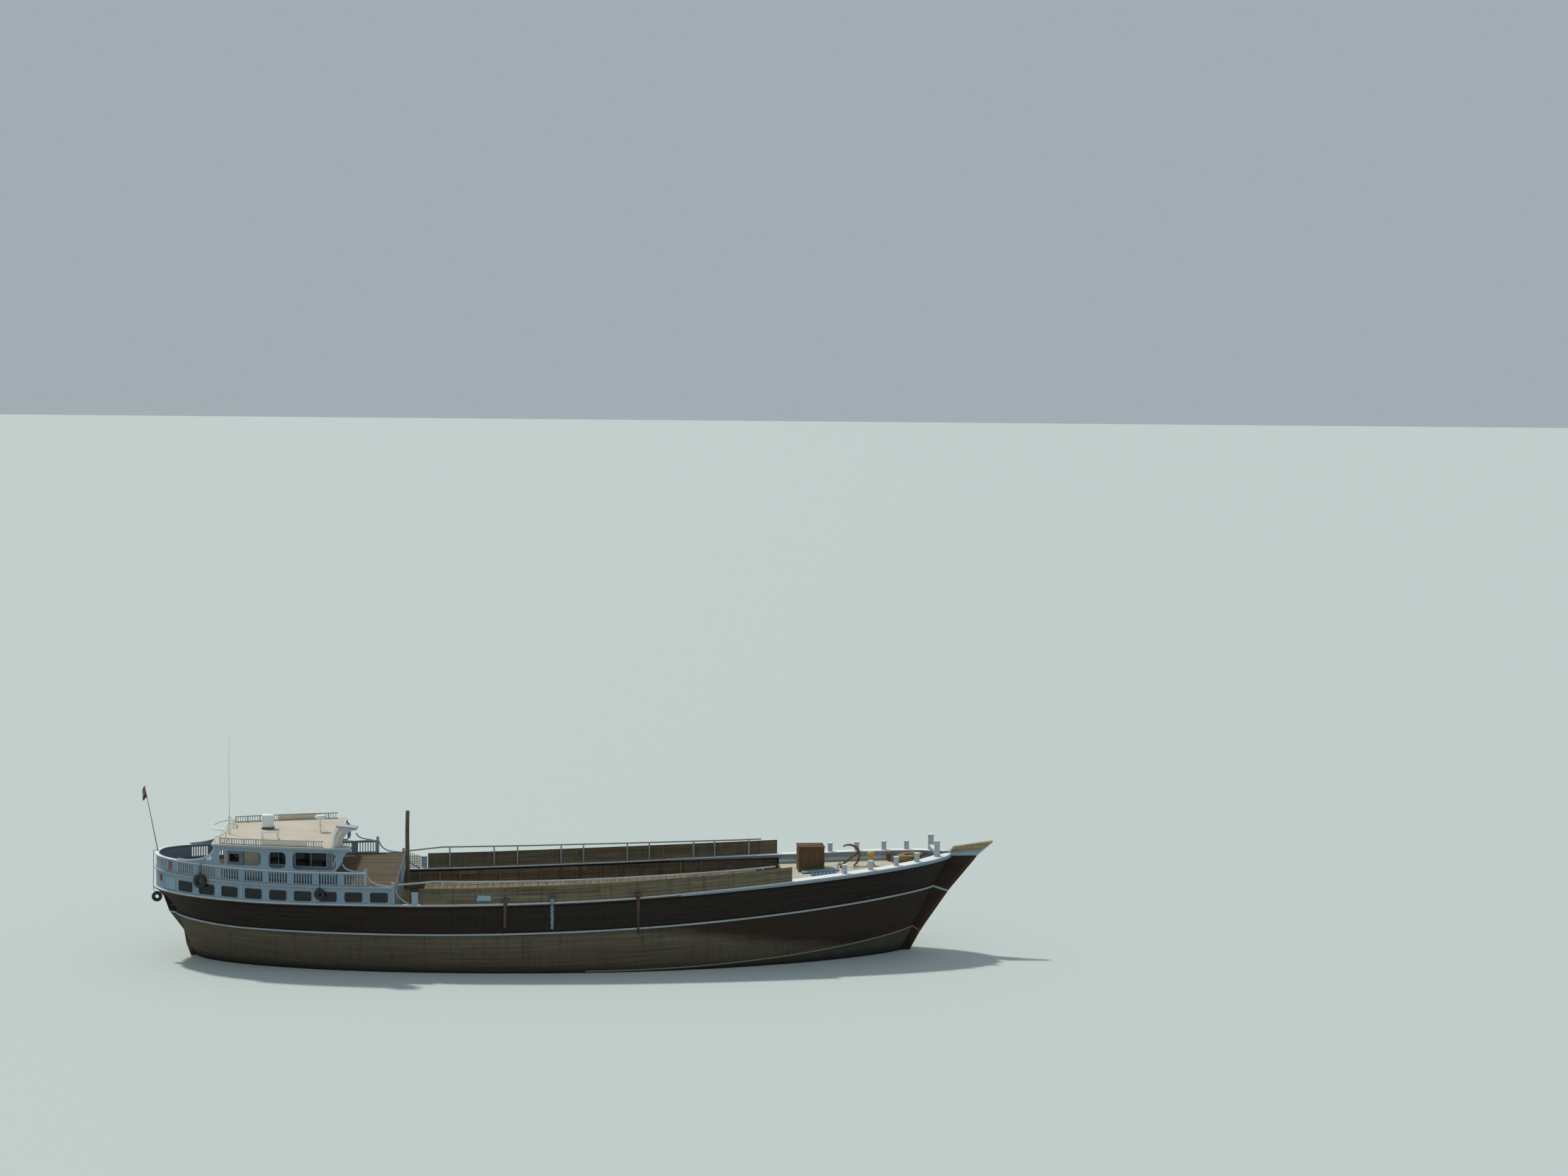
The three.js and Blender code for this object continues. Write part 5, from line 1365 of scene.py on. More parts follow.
def build_skids():
    """Adzed timbers that guard the planking, narrower towards the foot, with dark caps over the rail."""
    bare, caps = [], []
    for k, (x, top, low, wide, narrow) in enumerate(SKIDS):
        rings = []
        for z in np.linspace(low, top, 16):
            t = (z - low) / (top - low)
            half = (narrow + (wide - narrow) * t) / 2 + 0.005 * (chance.random() - 0.5)
            out = 0.046 if abs(z - wale_z(x)) < 0.05 else 0.028 if z > sheer_z(x) - 0.02 else 0.0
            y = -(topside_half(x, z) + out)
            front = max(y - 0.04 + 0.014 * (1 - t), -SKID_REACH)
            middle = x + 0.02 * (k - 1) * (1 - t)
            rings.append([(middle - half, y + 0.006, z), (middle - half + 0.008, front, z),
                          (middle + half - 0.008, front, z), (middle + half, y + 0.006, z)])
        skid = grained(lofted(rings), 2, 0)
        if k == 1:
            done(skid, "side_skid_painted", PEELED)
        else:
            bare.append(skid)
        reach = wide / 2 + 0.012
        caps.append(beam((x - reach, -SKID_REACH - 0.003, top - 0.06),
                         (x + reach, 0.03 - topside_half(x, top), top + 0.022), 0.01))
    done(merged(bare), "side_skids", SKID_WOOD)
    done(merged(caps), "side_skid_caps", DARK_CAP)


# Poop, lower tier

WINDOW_FIRST, WINDOW_PITCH, WINDOW_COUNT = 0.45, 0.738, 9
WINDOW_HALF, WINDOW_HEIGHT, WINDOW_RADIUS = 0.258, 0.285, 0.06
WINDOW_SPOTS = [FRONT_S - WINDOW_FIRST - WINDOW_PITCH * k for k in range(WINDOW_COUNT)]
WALL_HEIGHT = 0.444
WINDOW_LOW = WALL_HEIGHT / 2 - 0.022 - WINDOW_HEIGHT / 2


def bends(start, end, step=0.16):
    """Places along the side where a flat piece needs a cut before it is bent: closer at the stern."""
    places = np.concatenate([np.arange(0.06, 2.4, 0.08), np.arange(2.5, FRONT_S, step)])
    return [s for s in places if start + 0.01 < s < end - 0.01]


def build_poop_wall():
    """Side of the lower tier with its windows, frames and panes, battens and sill."""
    opening = lambda s, grow, radius, half=WINDOW_HALF: rectangle(
        s - half, s + half, WINDOW_LOW, WINDOW_LOW + WINDOW_HEIGHT, radius, grow=grow)
    bend = lambda piece: wrapped(piece, above(rail_top_z, 0.001), above(mid_rail_z, -0.061), WALL_HEIGHT)
    holes = [opening(s, 0, WINDOW_RADIUS) for s in WINDOW_SPOTS]
    wall = grained(plate(rectangle(0.0, FRONT_S, 0, WALL_HEIGHT), holes, 0.05, 0.004, -0.02))
    wall = bend(sliced(wall, bends(0, FRONT_S)))
    both(wall, "poop_side", BLUE, nodes=["poop_wall"])
    frames, panes = [], []
    for s in WINDOW_SPOTS:
        cuts = [s - 0.15, s, s + 0.15]
        ring = plate(opening(s, 0.011, WINDOW_RADIUS + 0.01, WINDOW_HALF + 0.001),
                     [opening(s, -0.003, WINDOW_RADIUS - 0.003)], 0.012, 0.004, -0.012)
        frames.append(sliced(ring, cuts))
        panes.append(sliced(plate(opening(s, 0.01, WINDOW_RADIUS), (), 0.006, 0.001, -0.036), cuts))
    both(bend(merged(frames)), "poop_window_frames", BLUE)
    both(bend(merged(panes)), "poop_window_glass", GLASS)
    spots = [FRONT_S - 0.035, *(0.5 * (a + b) for a, b in zip(WINDOW_SPOTS[2::3], WINDOW_SPOTS[3::3]))]
    battens = [beam((s - 0.022, -0.024, 0.0), (s + 0.022, -0.006, WALL_HEIGHT)) for s in spots]
    both(bend(merged(battens)), "poop_side_battens", BLUE_TRIM)
    sill = rail(0.0, FRONT_S, 0.002, -0.024, above(rail_top_z, 0.0005), above(rail_top_z, 0.026), 0.1, 0.004)
    both(sill, "poop_side_sill", BLUE_TRIM)


# What the starboard quarter carries: name, place along the side and height from and to above a rail,
# that rail, thickness, outer face, width of a frame's sides, finish and slot
QUARTER_DOOR = (1.31, 1.67, -0.48, -0.15)
QUARTER = [
    ("quarter_port_lid", (0.9, 1.07, -0.316, -0.126), mid_rail_z, 0.012, -0.012, 0, GLASS,
     "pale_blue_paint"),
    ("quarter_door", QUARTER_DOOR, mid_rail_z, 0.016, -0.012, 0, SKY_BLUE, "pale_blue_paint"),
    ("quarter_door_frame", (1.29, 1.69, -0.48, -0.13), mid_rail_z, 0.02, -0.004, 0.02, DIM_WHITE,
     "white_paint"),
    ("quarter_light_frame", (0.98, 1.22, -0.24, -0.05), top_rail_z, 0.018, -0.008, 0.024, DIM_WHITE,
     "white_paint"),
    ("quarter_board", (1.41, 1.54, -0.33, -0.08), top_rail_z, 0.018, -0.01, 0, RED, "white_paint"),
]


def build_quarter():
    for name, spot, curve, thick, face, hole, finish, slot in QUARTER:
        inner = [rectangle(*spot, grow=-hole)] if hole else []
        board = plate(rectangle(*spot), inner, thick, 0.003, face)
        board = wrapped(sliced(board, np.linspace(*spot[:2], 6)[1:-1]), curve)
        done(to_starboard(board), name, finish)


# Poop, upper tier

BALUSTER_FRONT_X, BALUSTRADE_HEIGHT = -6.19, 0.369
SLOT_COUNT, SLOT_WIDTH, SLOT_PITCH, SLOT_HEIGHT, SLOT_MIDDLE = 7, 0.05, 0.08, 0.29, 0.19
BALUSTER = [(0, 0.018), (0.013, 0.018), (0.014, 0.04), (0.009, 0.06), (0.012, 0.12), (0.016, 0.165),
            (0.012, 0.23), (0.008, 0.29), (0.013, 0.32), (0.014, 0.345), (0, 0.345)]


def build_balustrade():
    """Panel with groups of upright slots, and turned balusters on what is left between them."""
    end = s_at(BALUSTER_FRONT_X)
    low, high = SLOT_MIDDLE - SLOT_HEIGHT / 2, SLOT_MIDDLE + SLOT_HEIGHT / 2
    holes, beads = [], []
    for s in WINDOW_SPOTS[1:]:
        for k in range(SLOT_COUNT):
            at = s + (k - (SLOT_COUNT - 1) / 2) * SLOT_PITCH
            holes.append(rectangle(at - SLOT_WIDTH / 2, at + SLOT_WIDTH / 2, low, high, 0.022, 4))
        for k in range(SLOT_COUNT - 1):
            at = s + (k - (SLOT_COUNT - 2) / 2) * SLOT_PITCH
            beads.append(turned(BALUSTER, (at, -0.03, 0.012), 10))
    panel = grained(plate(rectangle(0.0, end, 0, BALUSTRADE_HEIGHT), holes, 0.04, 0.003, -0.027))
    bend = lambda piece: wrapped(piece, above(mid_rail_z, 0.001), above(top_rail_z, -0.041),
                                 BALUSTRADE_HEIGHT)
    panel = bend(sliced(panel, bends(0, end)))
    both(panel, "baluster_panel", BLUE, nodes=["balustrade"])
    both(bend(merged(beads)), "balusters_turned", BLUE_TRIM)


# Rails of the poop: name, how far short of the front they end, outer and inner side, height from and to
# above the mid rail, step, rounding, finish, slot and node
POOP_RAILS = [
    ("mid_rail", 0.0, 0.028, -0.024, -0.04, 0.008, 0.09, 0.008, MID_WHITE, "white_paint", ["poop_mid_rail"]),
    ("mid_rail_apron", 0.01, 0.004, -0.07, -0.0605, -0.0405, 0.12, 0.003, BLUE, "pale_blue_paint", ()),
    ("mid_rail_line", 0.02, 0.029, 0.02, 0.0015, 0.0085, 0.12, 0.002, RUST_LINE, "white_paint", ()),
]


def build_poop_rails():
    for name, short, outer, inner, low, high, step, radius, finish, slot, nodes in POOP_RAILS:
        end = FRONT_S - short
        piece = rail(-end, end, outer, inner, above(mid_rail_z, low), above(mid_rail_z, high), step, radius)
        done(piece, name, finish, nodes=nodes)
    x = -5.35
    y, z = side_y(x) - 0.034, mid_rail_z(x)
    post = beam((x - 0.04, y - 0.045, z - 0.02), (x + 0.04, y + 0.045, z + 0.122), 0.006)
    knob = beam((x - 0.046, y - 0.05, z + 0.118), (x + 0.046, y + 0.05, z + 0.13))
    both(merged([post, knob, sweep_strip(MID_SWEEP, 0.06)]), "mid_sweep", BLUE_TRIM)

    front = s_at(BALUSTER_FRONT_X + 0.092)
    top = rail(-front, front, 0.016, -0.105, above(top_rail_z, -0.04), top_rail_z, 0.09, 0.01)
    done(top, "top_rail", RAIL_WHITE, nodes=["poop_top_rail"])
    x = BALUSTER_FRONT_X + 0.012
    y, z = side_y(x) - 0.045, top_rail_z(x)
    post = beam((x, y - 0.045, mid_rail_z(x) + 0.009), (x + 0.08, y + 0.045, z + 0.1), 0.006)
    knob = turned([(0, 0), (0.05, 0), (0.052, 0.01), (0.03, 0.022), (0, 0.026)],
                  (x + 0.04, y, z + 0.084), 16)
    both(merged([post, knob, sweep_strip(TOP_SWEEP, 0.06)]), "top_sweep", BLUE_TRIM)


# Gallery: outer walls of the upper tier, under the roof

ROOF_AFT, ROOF_FORE, ROOF_WING, ROOF_UNDER, ROOF_TOP = -10.6, -7.05, -6.56, 3.55, 3.62
GALLERY_AFT, GALLERY_FRONT = -11.65, -6.8
GALLERY_OPENINGS = [(-10.385, -9.145, 3.035, 3.46), (-8.935, -8.42, 2.985, 3.465),
                    (-8.24, -6.97, 2.965, 3.475)]
GALLERY_LIGHT = [(-10.85, 3.12), (-10.61, 3.12), (-10.61, 3.35)]
LIGHT_BOARD = [(-10.865, 3.108), (-10.6, 3.108), (-10.6, 3.362)]
MOULDING = [(-0.072, -0.052), (-0.008, -0.052), (0.0, -0.044), (0.0, -0.006), (-0.008, 0.002),
            (-0.072, 0.002)]


def laid_off(outline):
    """An outline of x and z with the distance along the sheer line in x's place."""
    return [(s_at(x), z) for x, z in outline]


def quarter_curve():
    """Hollow curve, x and z, in which the gallery's wall drops from the roof to the top rail."""
    head = ROOF_UNDER - 0.001
    curve = []
    for x in GALLERY_AFT + 1.11 * np.sin(np.linspace(0, QUARTER_TURN, 22)):
        t = min(1.0, (x - GALLERY_AFT) / (ROOF_AFT + 0.06 - GALLERY_AFT))
        curve.append((x, head - (head - top_rail_z(x) - 0.045) * sqrt(1 - t * t)))
    return curve


def gallery_plate(fore, holes):
    """Flat gallery wall, its x laid off as the distance along the sheer line."""
    foot = [(x, top_rail_z(x) + 0.001) for x in np.linspace(min(fore, GALLERY_FRONT), GALLERY_AFT, 24)]
    corner = foot[:1]
    if fore > GALLERY_FRONT:
        corner = [(fore - (fore - GALLERY_FRONT) * t, ROOF_UNDER - 0.351 + 0.32 * sqrt(1 - t * t))
                  for t in np.linspace(0, 1, 10)]
    outline = laid_off([*quarter_curve(), (fore, ROOF_UNDER - 0.001), *corner, *foot[1:]])
    wall = plate(outline[::-1], [laid_off(hole) for hole in holes], 0.045, 0.004, -0.02)
    return sliced(wall, bends(s_at(GALLERY_AFT), s_at(fore)))


def build_gallery():
    """Walls with three rounded openings and a light, their trims, and a moulding on the quarter's curve."""
    flat = risen(0.0)
    holes = [rectangle(*opening, 0.13, 8) for opening in GALLERY_OPENINGS]
    for side, fore in (("port", ROOF_FORE), ("starboard", ROOF_WING)):
        wall = wrapped(grained(gallery_plate(fore, [*holes, GALLERY_LIGHT])), flat)
        trims = []
        for opening in GALLERY_OPENINGS:
            ring = plate(laid_off(rectangle(*opening, 0.144, 8, 0.016)),
                         [laid_off(rectangle(*opening, 0.126, 8, -0.006))], 0.014, 0.004, -0.01)
            trims.append(sliced(ring, bends(s_at(opening[0]) - 0.03, s_at(opening[1]) + 0.03)))
        strip = ribbon(quarter_curve(), MOULDING, lambda x, out: outside(s_at(x), out))
        spots = laid_off(LIGHT_BOARD)
        board = sliced(plate(spots, (), 0.01, 0.002, -0.067), bends(spots[0][0], spots[1][0]))
        pieces = [wall, wrapped(merged(trims), flat), strip, wrapped(board, flat)]
        wall, trim, strip, board = [to_starboard(p) for p in pieces] if side == "starboard" else pieces
        done(board, f"gallery_light_board_{side}", WHITE)
        done(wall, f"gallery_side_{side}", BLUE, nodes=[f"gallery_wall_{side}"])
        done(trim, f"gallery_trim_{side}", BLUE_TRIM)
        done(strip, f"gallery_moulding_{side}", LAVENDER)


# Deckhouse

HOUSE_AFT, HOUSE_FORE, HOUSE_AFT_HALF, HOUSE_FORE_HALF = -10.3, -7.15, 1.56, 2.33
HOUSE_WINDOWS = [(-10.15, -9.85, 3.01, 3.26), (-8.95, -8.45, 2.99, 3.4),
                 (-8.2, -7.3, 2.96, 3.4)]
# Windows that look ahead and aft: opening, reach of the frame, thickness of the frame, depth of the
# pane, place along the boat, way and places across
FRONT_WINDOWS = ((-0.34, 0.34, 2.96, 3.4), 0.03, 0.018, 0.03, HOUSE_FORE + 0.01, -1,
                 (-1.68, -0.84, 0.0, 0.84, 1.68))
AFT_WINDOWS = ((-0.25, 0.25, 3.0, 3.3), 0.028, 0.018, 0.03, HOUSE_AFT - 0.01, 1, (-0.7, 0.7))
BULKHEAD_WINDOWS = ((-0.19, 0.19, 1.99, 2.29), 0.028, 0.016, 0.035, -5.297, -1,
                    (-2.3, 1.1, 1.9, 2.7))
LEAF_X, LEAF_HIGH = (-9.695, -9.265), 0.87
KNOB = [(0, 0), (0.012, 0), (0.012, 0.008), (0.006, 0.012), (0.006, 0.024), (0.014, 0.028), (0.016, 0.036),
        (0.01, 0.044), (0, 0.045)]


def on_house(piece):
    """Lays a plate, drawn with its outer face at y 0, against the port wall of the deckhouse."""
    co = coordinates(piece)
    share = (co[:, 0] - HOUSE_AFT) / (HOUSE_FORE - HOUSE_AFT)
    co[:, 1] += between((HOUSE_AFT_HALF, HOUSE_FORE_HALF), share)
    return reshaped(piece, co)


def build_deckhouse():
    """Boarded walls with framed windows, a panel, a vent slot drawn as a dark plate of painted shade,
    and a corner board on each side.
    """
    for side in ("port", "starboard"):
        node = f"deckhouse_wall_{side}"
        from_node(node, f"house_side_{side}", HOUSE_BLUE, 0.003, 2, 0)
    frames, panes = [], []
    for opening in HOUSE_WINDOWS:
        ring, pane = window(opening, 0.03, 0.02, 0.008, -0.022)
        frames.append(ring)
        panes.append(pane)
        a, b, low, high = opening
        if b - a > 0.35:
            x = (a + b) / 2
            frames.append(plate(rectangle(x - 0.012, x + 0.012, low, high), (), 0.016, 0.002, -0.006))
    both(on_house(merged(frames)), "house_window_frames", LAVENDER)
    both(on_house(merged(panes)), "house_window_glass", GLASS)
    panel = plate(rectangle(-10.292, -9.76, 2.735, 3.54), [rectangle(*HOUSE_WINDOWS[0], grow=0.032)],
                  0.005, 0.001, 0.0055)
    both(on_house(panel), "house_lavender_panel", LAVENDER)
    # Painted shade: the vent slot is a dark glass plate standing for the dark inside of the slot.
    slot = plate(rectangle(-10.12, -9.905, 3.395, 3.458, 0.012, 2), (), 0.008, 0.002, 0.0125)
    both(on_house(slot), "house_vent_slot", GLASS)
    corner = plate(rectangle(-10.298, -10.19, 2.8, 3.5), (), 0.008, 0.002, 0.014)
    both(on_house(corner), "house_corner_board", WHITE)
    for node in ("wheelhouse_front", "deckhouse_aft_wall"):
        from_node(node, f"{node}_boards", HOUSE_BLUE, 0.003, 2, 1)
    frames, panes = (a + b for a, b in zip(windows_across(*FRONT_WINDOWS), windows_across(*AFT_WINDOWS)))
    done(merged(frames), "house_end_frames", WHITE)
    done(merged(panes), "house_end_glass", GLASS)


def door_panel(x0, x1, low, high):
    """Raised moulding round a door's panel."""
    return plate(rectangle(x0, x1, low, high), [rectangle(x0, x1, low, high, grow=-0.045)], 0.006, 0.002,
                 0.0055)


def build_house_doors():
    """Boarded doors with two panels, a vent drawn as a dark plate of painted shade, and a knob,
    each on its own body.
    """
    (x0, x1), low = LEAF_X, mid_rail_z(-9.73) + 0.066
    high = low + LEAF_HIGH
    for side in ("port", "starboard"):
        node, body = f"deckhouse_door_{side}", f"house_door_{side}"
        leaf = refined(node, 0.003)
        trim = merged([door_panel(x0 + 0.03, x1 - 0.03, a, b)
                       for a, b in ((low + 0.03, low + 0.4), (low + 0.46, high - 0.13))])
        knob = turned(KNOB, (x0 + 0.05, 0, low + 0.43), 14, placed(angle=-QUARTER_TURN, axis="X"))
        # Painted shade: the vent is a dark glass plate standing for the dark inside of the vent.
        vent = plate(rectangle(x0 + 0.11, x1 - 0.095, high - 0.1, high - 0.045, 0.01, 2), (), 0.006,
                     0.002, 0.006)
        pieces = [on_house(piece) for piece in (trim, knob, vent)]
        trim, knob, vent = [to_starboard(p) for p in pieces] if side == "starboard" else pieces
        done(vent, f"house_leaf_vent_shade_{side}", GLASS, body)
        done(leaf, f"house_leaf_{side}", CREAM, body, [node])
        done(trim, f"house_leaf_panels_{side}", CREAM, body)
        done(knob, f"house_knob_{side}", BRONZE, body)


# Roof

HOUSE_WING_Y = -2.48
PARAPET_AFT, PARAPET_FORE, PARAPET_TOP, PARAPET_STEP = -10.4, -7.35, 3.805, 0.075
NAME_BOARD = (-9.14, -7.83)
ON_ROOF = ROOF_TOP + 0.001


def roof_outline(grow=0.0):
    """Plan of the roof, from the starboard aft corner round to port; grow moves the edge outwards."""
    edge = lambda x: side_y(x) + 0.04 + grow
    along = np.linspace(ROOF_AFT - grow, ROOF_FORE, 26)
    fore, wing = ROOF_FORE + grow, ROOF_WING + grow
    return [*((x, -edge(x)) for x in along), (wing, -edge(ROOF_WING)), (wing, HOUSE_WING_Y + grow),
            (fore, HOUSE_WING_Y + grow), (fore, edge(ROOF_FORE)), *((x, edge(x)) for x in along[::-1][1:])]


def slab(grow, low, high, edge=0.004, hole=None):
    """Flat slab with the roof's outline, with a hole of the same shape in it."""
    holes = [] if hole is None else [roof_outline(hole)]
    piece = plate(roof_outline(grow), holes, high - low, edge)
    return moved(piece, placed(z=low, angle=-QUARTER_TURN, axis="X"))


def build_roof():
    """Canvas deck with a fascia and a lip round it, on beams."""
    deck = grained(slab(-0.014, ROOF_UNDER + 0.004, ROOF_TOP - 0.001), 0, 1)
    done(deck, "roof_canvas", CANVAS, nodes=["roof"])
    fascia = slab(-0.004, ROOF_UNDER, ROOF_TOP - 0.0125, 0.003, -0.0125)
    done(fascia, "roof_fascia", MID_WHITE)
    lip = slab(0.0, ROOF_TOP - 0.012, ROOF_TOP + 0.006, 0.004, -0.03)
    done(lip, "roof_lip", RAIL_WHITE)
    beams = []
    for x in np.arange(ROOF_AFT + 0.25, ROOF_FORE, 0.5):
        half = side_y(x) - 0.1
        beams.append(beam((x - 0.025, -half, ROOF_UNDER - 0.045), (x + 0.025, half, ROOF_UNDER + 0.003)))
    done(grained(merged(beams), 1), "roof_beams", BLUE_TRIM)


def build_parapet():
    """Low fence along the roof's edge: rails and short balusters, with a bare board amidships."""
    start, end, board0, board1 = (s_at(x) for x in (PARAPET_AFT, PARAPET_FORE, *NAME_BOARD))
    low, flat = ON_ROOF, risen(0.0)
    rails = merged([beam((start, -0.094, PARAPET_TOP - 0.03), (end, -0.07, PARAPET_TOP)),
                    beam((start, -0.092, low), (end, -0.072, low + 0.026), 0.003)])
    pieces = [sliced(rails, bends(start, end, 0.2))]
    spots = [s for s in np.arange(start + 0.02, end, PARAPET_STEP)
             if not board0 - 0.02 < s < board1 + 0.02]
    for k, s in enumerate(spots):
        wide = 0.02 if k % 5 == 0 else 0.009
        pieces.append(beam((s - wide, -0.091, low + 0.02), (s + wide, -0.073, PARAPET_TOP - 0.026), 0.003))
    fence = wrapped(merged(pieces), flat)
    both(fence, "parapet_fence", DIM_WHITE, nodes=["roof_parapet"])
    board = beam((board0, -0.09, low + 0.022), (board1, -0.066, PARAPET_TOP - 0.018))
    board = sliced(board, np.arange(board0 + 0.2, board1, 0.2))
    both(wrapped(board, flat), "parapet_board", CREAM)


# Sidelight hood, x and z: its cheeks, their after edge and their fore edge
HOOD_PROFILE = [(-7.11, 3.621), (-7.09, 3.85), (-7.04, 4.05), (-6.965, 4.235), (-6.618, 4.2),
                (-6.38, 4.17), (-6.4, 4.13), (-6.56, 4.095), (-6.68, 4.01), (-6.77, 3.88),
                (-6.83, 3.74), (-6.84, 3.621)]
HOOD_AFT = [(-7.105, 3.622), (-7.085, 3.85), (-7.035, 4.05), (-6.962, 4.212)]
HOOD_FORE = [(-6.84, 3.622), *HOOD_PROFILE[-2:-7:-1]]
HOOD_SKIN, HOOD_ACROSS = (-2.99, -2.9765), (-2.9555, -2.534)
HOOD_TILT, HOOD_PIVOT = 0.105, (6.67, 0, -4.216)


def hood_band(curve, near, far, y0, y1):
    """Strip of the hood's side between two distances forward of a curve, x and z."""
    section = [(y0, -near), (y1, -near), (y1, -far), (y0, -far)]
    return ribbon(smoothed(curve, 5), section, lambda x, y: (x, y))


def build_hood():
    """Hood that shelters the starboard sidelight: bright edge band, sunk panel, cream band and a
    darker strip at the fore edge, with plates across and a lip on top. A thin dark strip under the lip
    is painted shadow."""
    cheeks = ((0.034, -2.5), (0.02, -2.956))
    done(merged(plate(HOOD_PROFILE, (), thick, 0.004, face) for thick, face in cheeks), "hood_cheeks", CANVAS,
         nodes=["sidelight_hood"])
    done(hood_band(HOOD_AFT, 0.0, 0.06, *HOOD_SKIN), "hood_edge_band", WHITE)
    done(hood_band(HOOD_FORE[:4], -0.19, -0.125, *HOOD_SKIN), "hood_cream_band", CREAM)
    plates = [hood_band(HOOD_FORE, -0.075, 0.0, -2.984, HOOD_SKIN[1]),
              hood_band(HOOD_AFT, 0.0, 0.014, *HOOD_ACROSS),
              hood_band(HOOD_FORE, -0.014, 0.0, *HOOD_ACROSS)]
    done(merged(plates), "hood_plates", LAVENDER)
    lip = beam((-6.98, -2.995, 4.206), (-6.372, -2.494, 4.22), 0.005)
    # Painted shadow: the thin blue-black strip under the lip stands for the shade beneath it.
    edge = beam((-6.986, -2.999, 4.199), (-6.366, -2.49, 4.206), 0.002)
    pivot = Matrix.Translation(HOOD_PIVOT)
    turn = pivot.inverted() @ placed(angle=HOOD_TILT, axis="Y") @ pivot
    done(moved(lip, turn), "hood_lip", LAVENDER)
    done(moved(edge, turn), "hood_lip_edge", DARK_CAP)


LOCKER_X, LOCKER_Y = (-9.415, -9.1), (0.62, 0.94)
RADAR_X, RADAR_Y, AERIAL_X, AERIAL_Y = -7.66, 0.15, -10.29, -0.25
RADAR_FOOT = [(0, 0), (0.06, 0), (0.06, 0.01), (0.03, 0.018), (0.024, 0.05), (0, 0.05)]
RADAR_DRUM = [(0, -0.004), (0.11, 0.0), (0.158, 0.018), (0.165, 0.04), (0.162, 0.07), (0.14, 0.104),
              (0.06, 0.114), (0, 0.115)]
AERIAL_COLLAR = [(0, 0), (0.034, 0), (0.036, 0.012), (0.03, 0.04), (0.014, 0.06), (0, 0.06)]
# Rail round the roof's after edge: height, where its middle lobe meets the side arcs, their radii
LOBE_Z, LOBE_X, CUSP_Y, LOBE_DEEP, ARC_X, ARC_WIDE, ARC_DEEP, ARC_DROP = (
    3.85, -10.3, 1.025, 0.48, -10.52, 0.96, 0.23, 0.06)
BENCH_X, BENCH_Y = (-9.232, -8.782), (-1.32, -1.08)


def build_locker():
    low, (x0, x1), (y0, y1) = ON_ROOF, LOCKER_X, LOCKER_Y
    skids = [beam((x0 - 0.015, y, low), (x1 + 0.015, y + 0.06, 3.69), 0.005) for y in (y0, y1 - 0.06)]
    done(grained(merged(skids)), "locker_skids", ROUGH_BOARDS)
    body = beam((x0, y0, 3.688), (x1, y1, 4.015), 0.012)
    lid = beam((x0 - 0.013, y0 - 0.012, 4.012), (x1 + 0.012, y1 + 0.012, 4.048), 0.01)
    front = (x0 + 0.03, x1 - 0.03, 3.73, 3.97)
    panel = plate(rectangle(*front), [rectangle(*front, grow=-0.03)], 0.012, 0.003, y0 + 0.004)
    done(merged([body, lid, panel]), "roof_locker_box", WHITE, nodes=["roof_locker"])


def build_masts():
    """Radar on its pole with three stays, and the aerial on its stump."""
    low, (x, y) = ON_ROOF, (RADAR_X, RADAR_Y)
    parts = [rod((x, y, low), (x, y, 4.015), 0.02, sides=20), turned(RADAR_FOOT, (x, y, low)),
             turned(RADAR_DRUM, (x, y, 4.01), 32)]
    for a in (0.5, 2.6, 4.7):
        foot = (x + 0.22 * cos(a), y + 0.22 * sin(a), low)
        parts.append(rod(foot, (x, y, 3.86), 0.006, sides=8))
    done(merged(parts), "radar_pole", WHITE, nodes=["radar_mast"])
    x, y = AERIAL_X, AERIAL_Y
    parts = [rod((x, y, low), (x, y, 4.15), 0.032, 0.026, 18),
             rod((x, y, 4.14), (x, y, 6.565), 0.011, 0.004, 10), turned(AERIAL_COLLAR, (x, y, 4.12))]
    done(merged(parts), "aerial_pole", WHITE, nodes=["antenna"])


def build_aft_rail():
    """Pipe rail round the roof's after edge: a lobe amidships and an arc on each side, on posts."""
    low, z = ON_ROOF, LOBE_Z
    lobe = [(LOBE_X - LOBE_DEEP * sin(a), -CUSP_Y * cos(a), z) for a in np.linspace(0, pi, 33)]
    parts = [pipe(lobe, 0.022)]
    for side in (-1, 1):
        arc = [(ARC_X + ARC_DEEP * cos(a), side * (CUSP_Y - 0.02 + ARC_WIDE * sin(a)),
                z - ARC_DROP * a / QUARTER_TURN) for a in np.linspace(0, QUARTER_TURN, 17)]
        parts.append(pipe(arc, 0.022))
        for x, y, top in ((LOBE_X, CUSP_Y, z + 0.002), (ARC_X, CUSP_Y + 0.93, z - 0.054)):
            parts.append(rod((x, side * y, low), (x, side * y, top), 0.02))
    done(merged(parts), "aft_roof_rails", WHITE, nodes=["aft_roof_rail"])


def build_bench():
    (x0, x1), (y0, y1) = BENCH_X, BENCH_Y
    parts = []
    for x in BENCH_X:
        for y in BENCH_Y:
            parts.append(beam((x - 0.014, y - 0.014, ON_ROOF), (x + 0.014, y + 0.014, 3.821), 0.003))
        parts.append(beam((x - 0.012, y0, 3.7), (x + 0.012, y1, 3.724), 0.003))
    parts += [beam((x0 - 0.028, y - 0.018, 3.811), (x1 + 0.028, y + 0.018, 3.835), 0.003) for y in BENCH_Y]
    done(merged(parts), "roof_bench", WHITE)


# Front of the poop, helm and mast

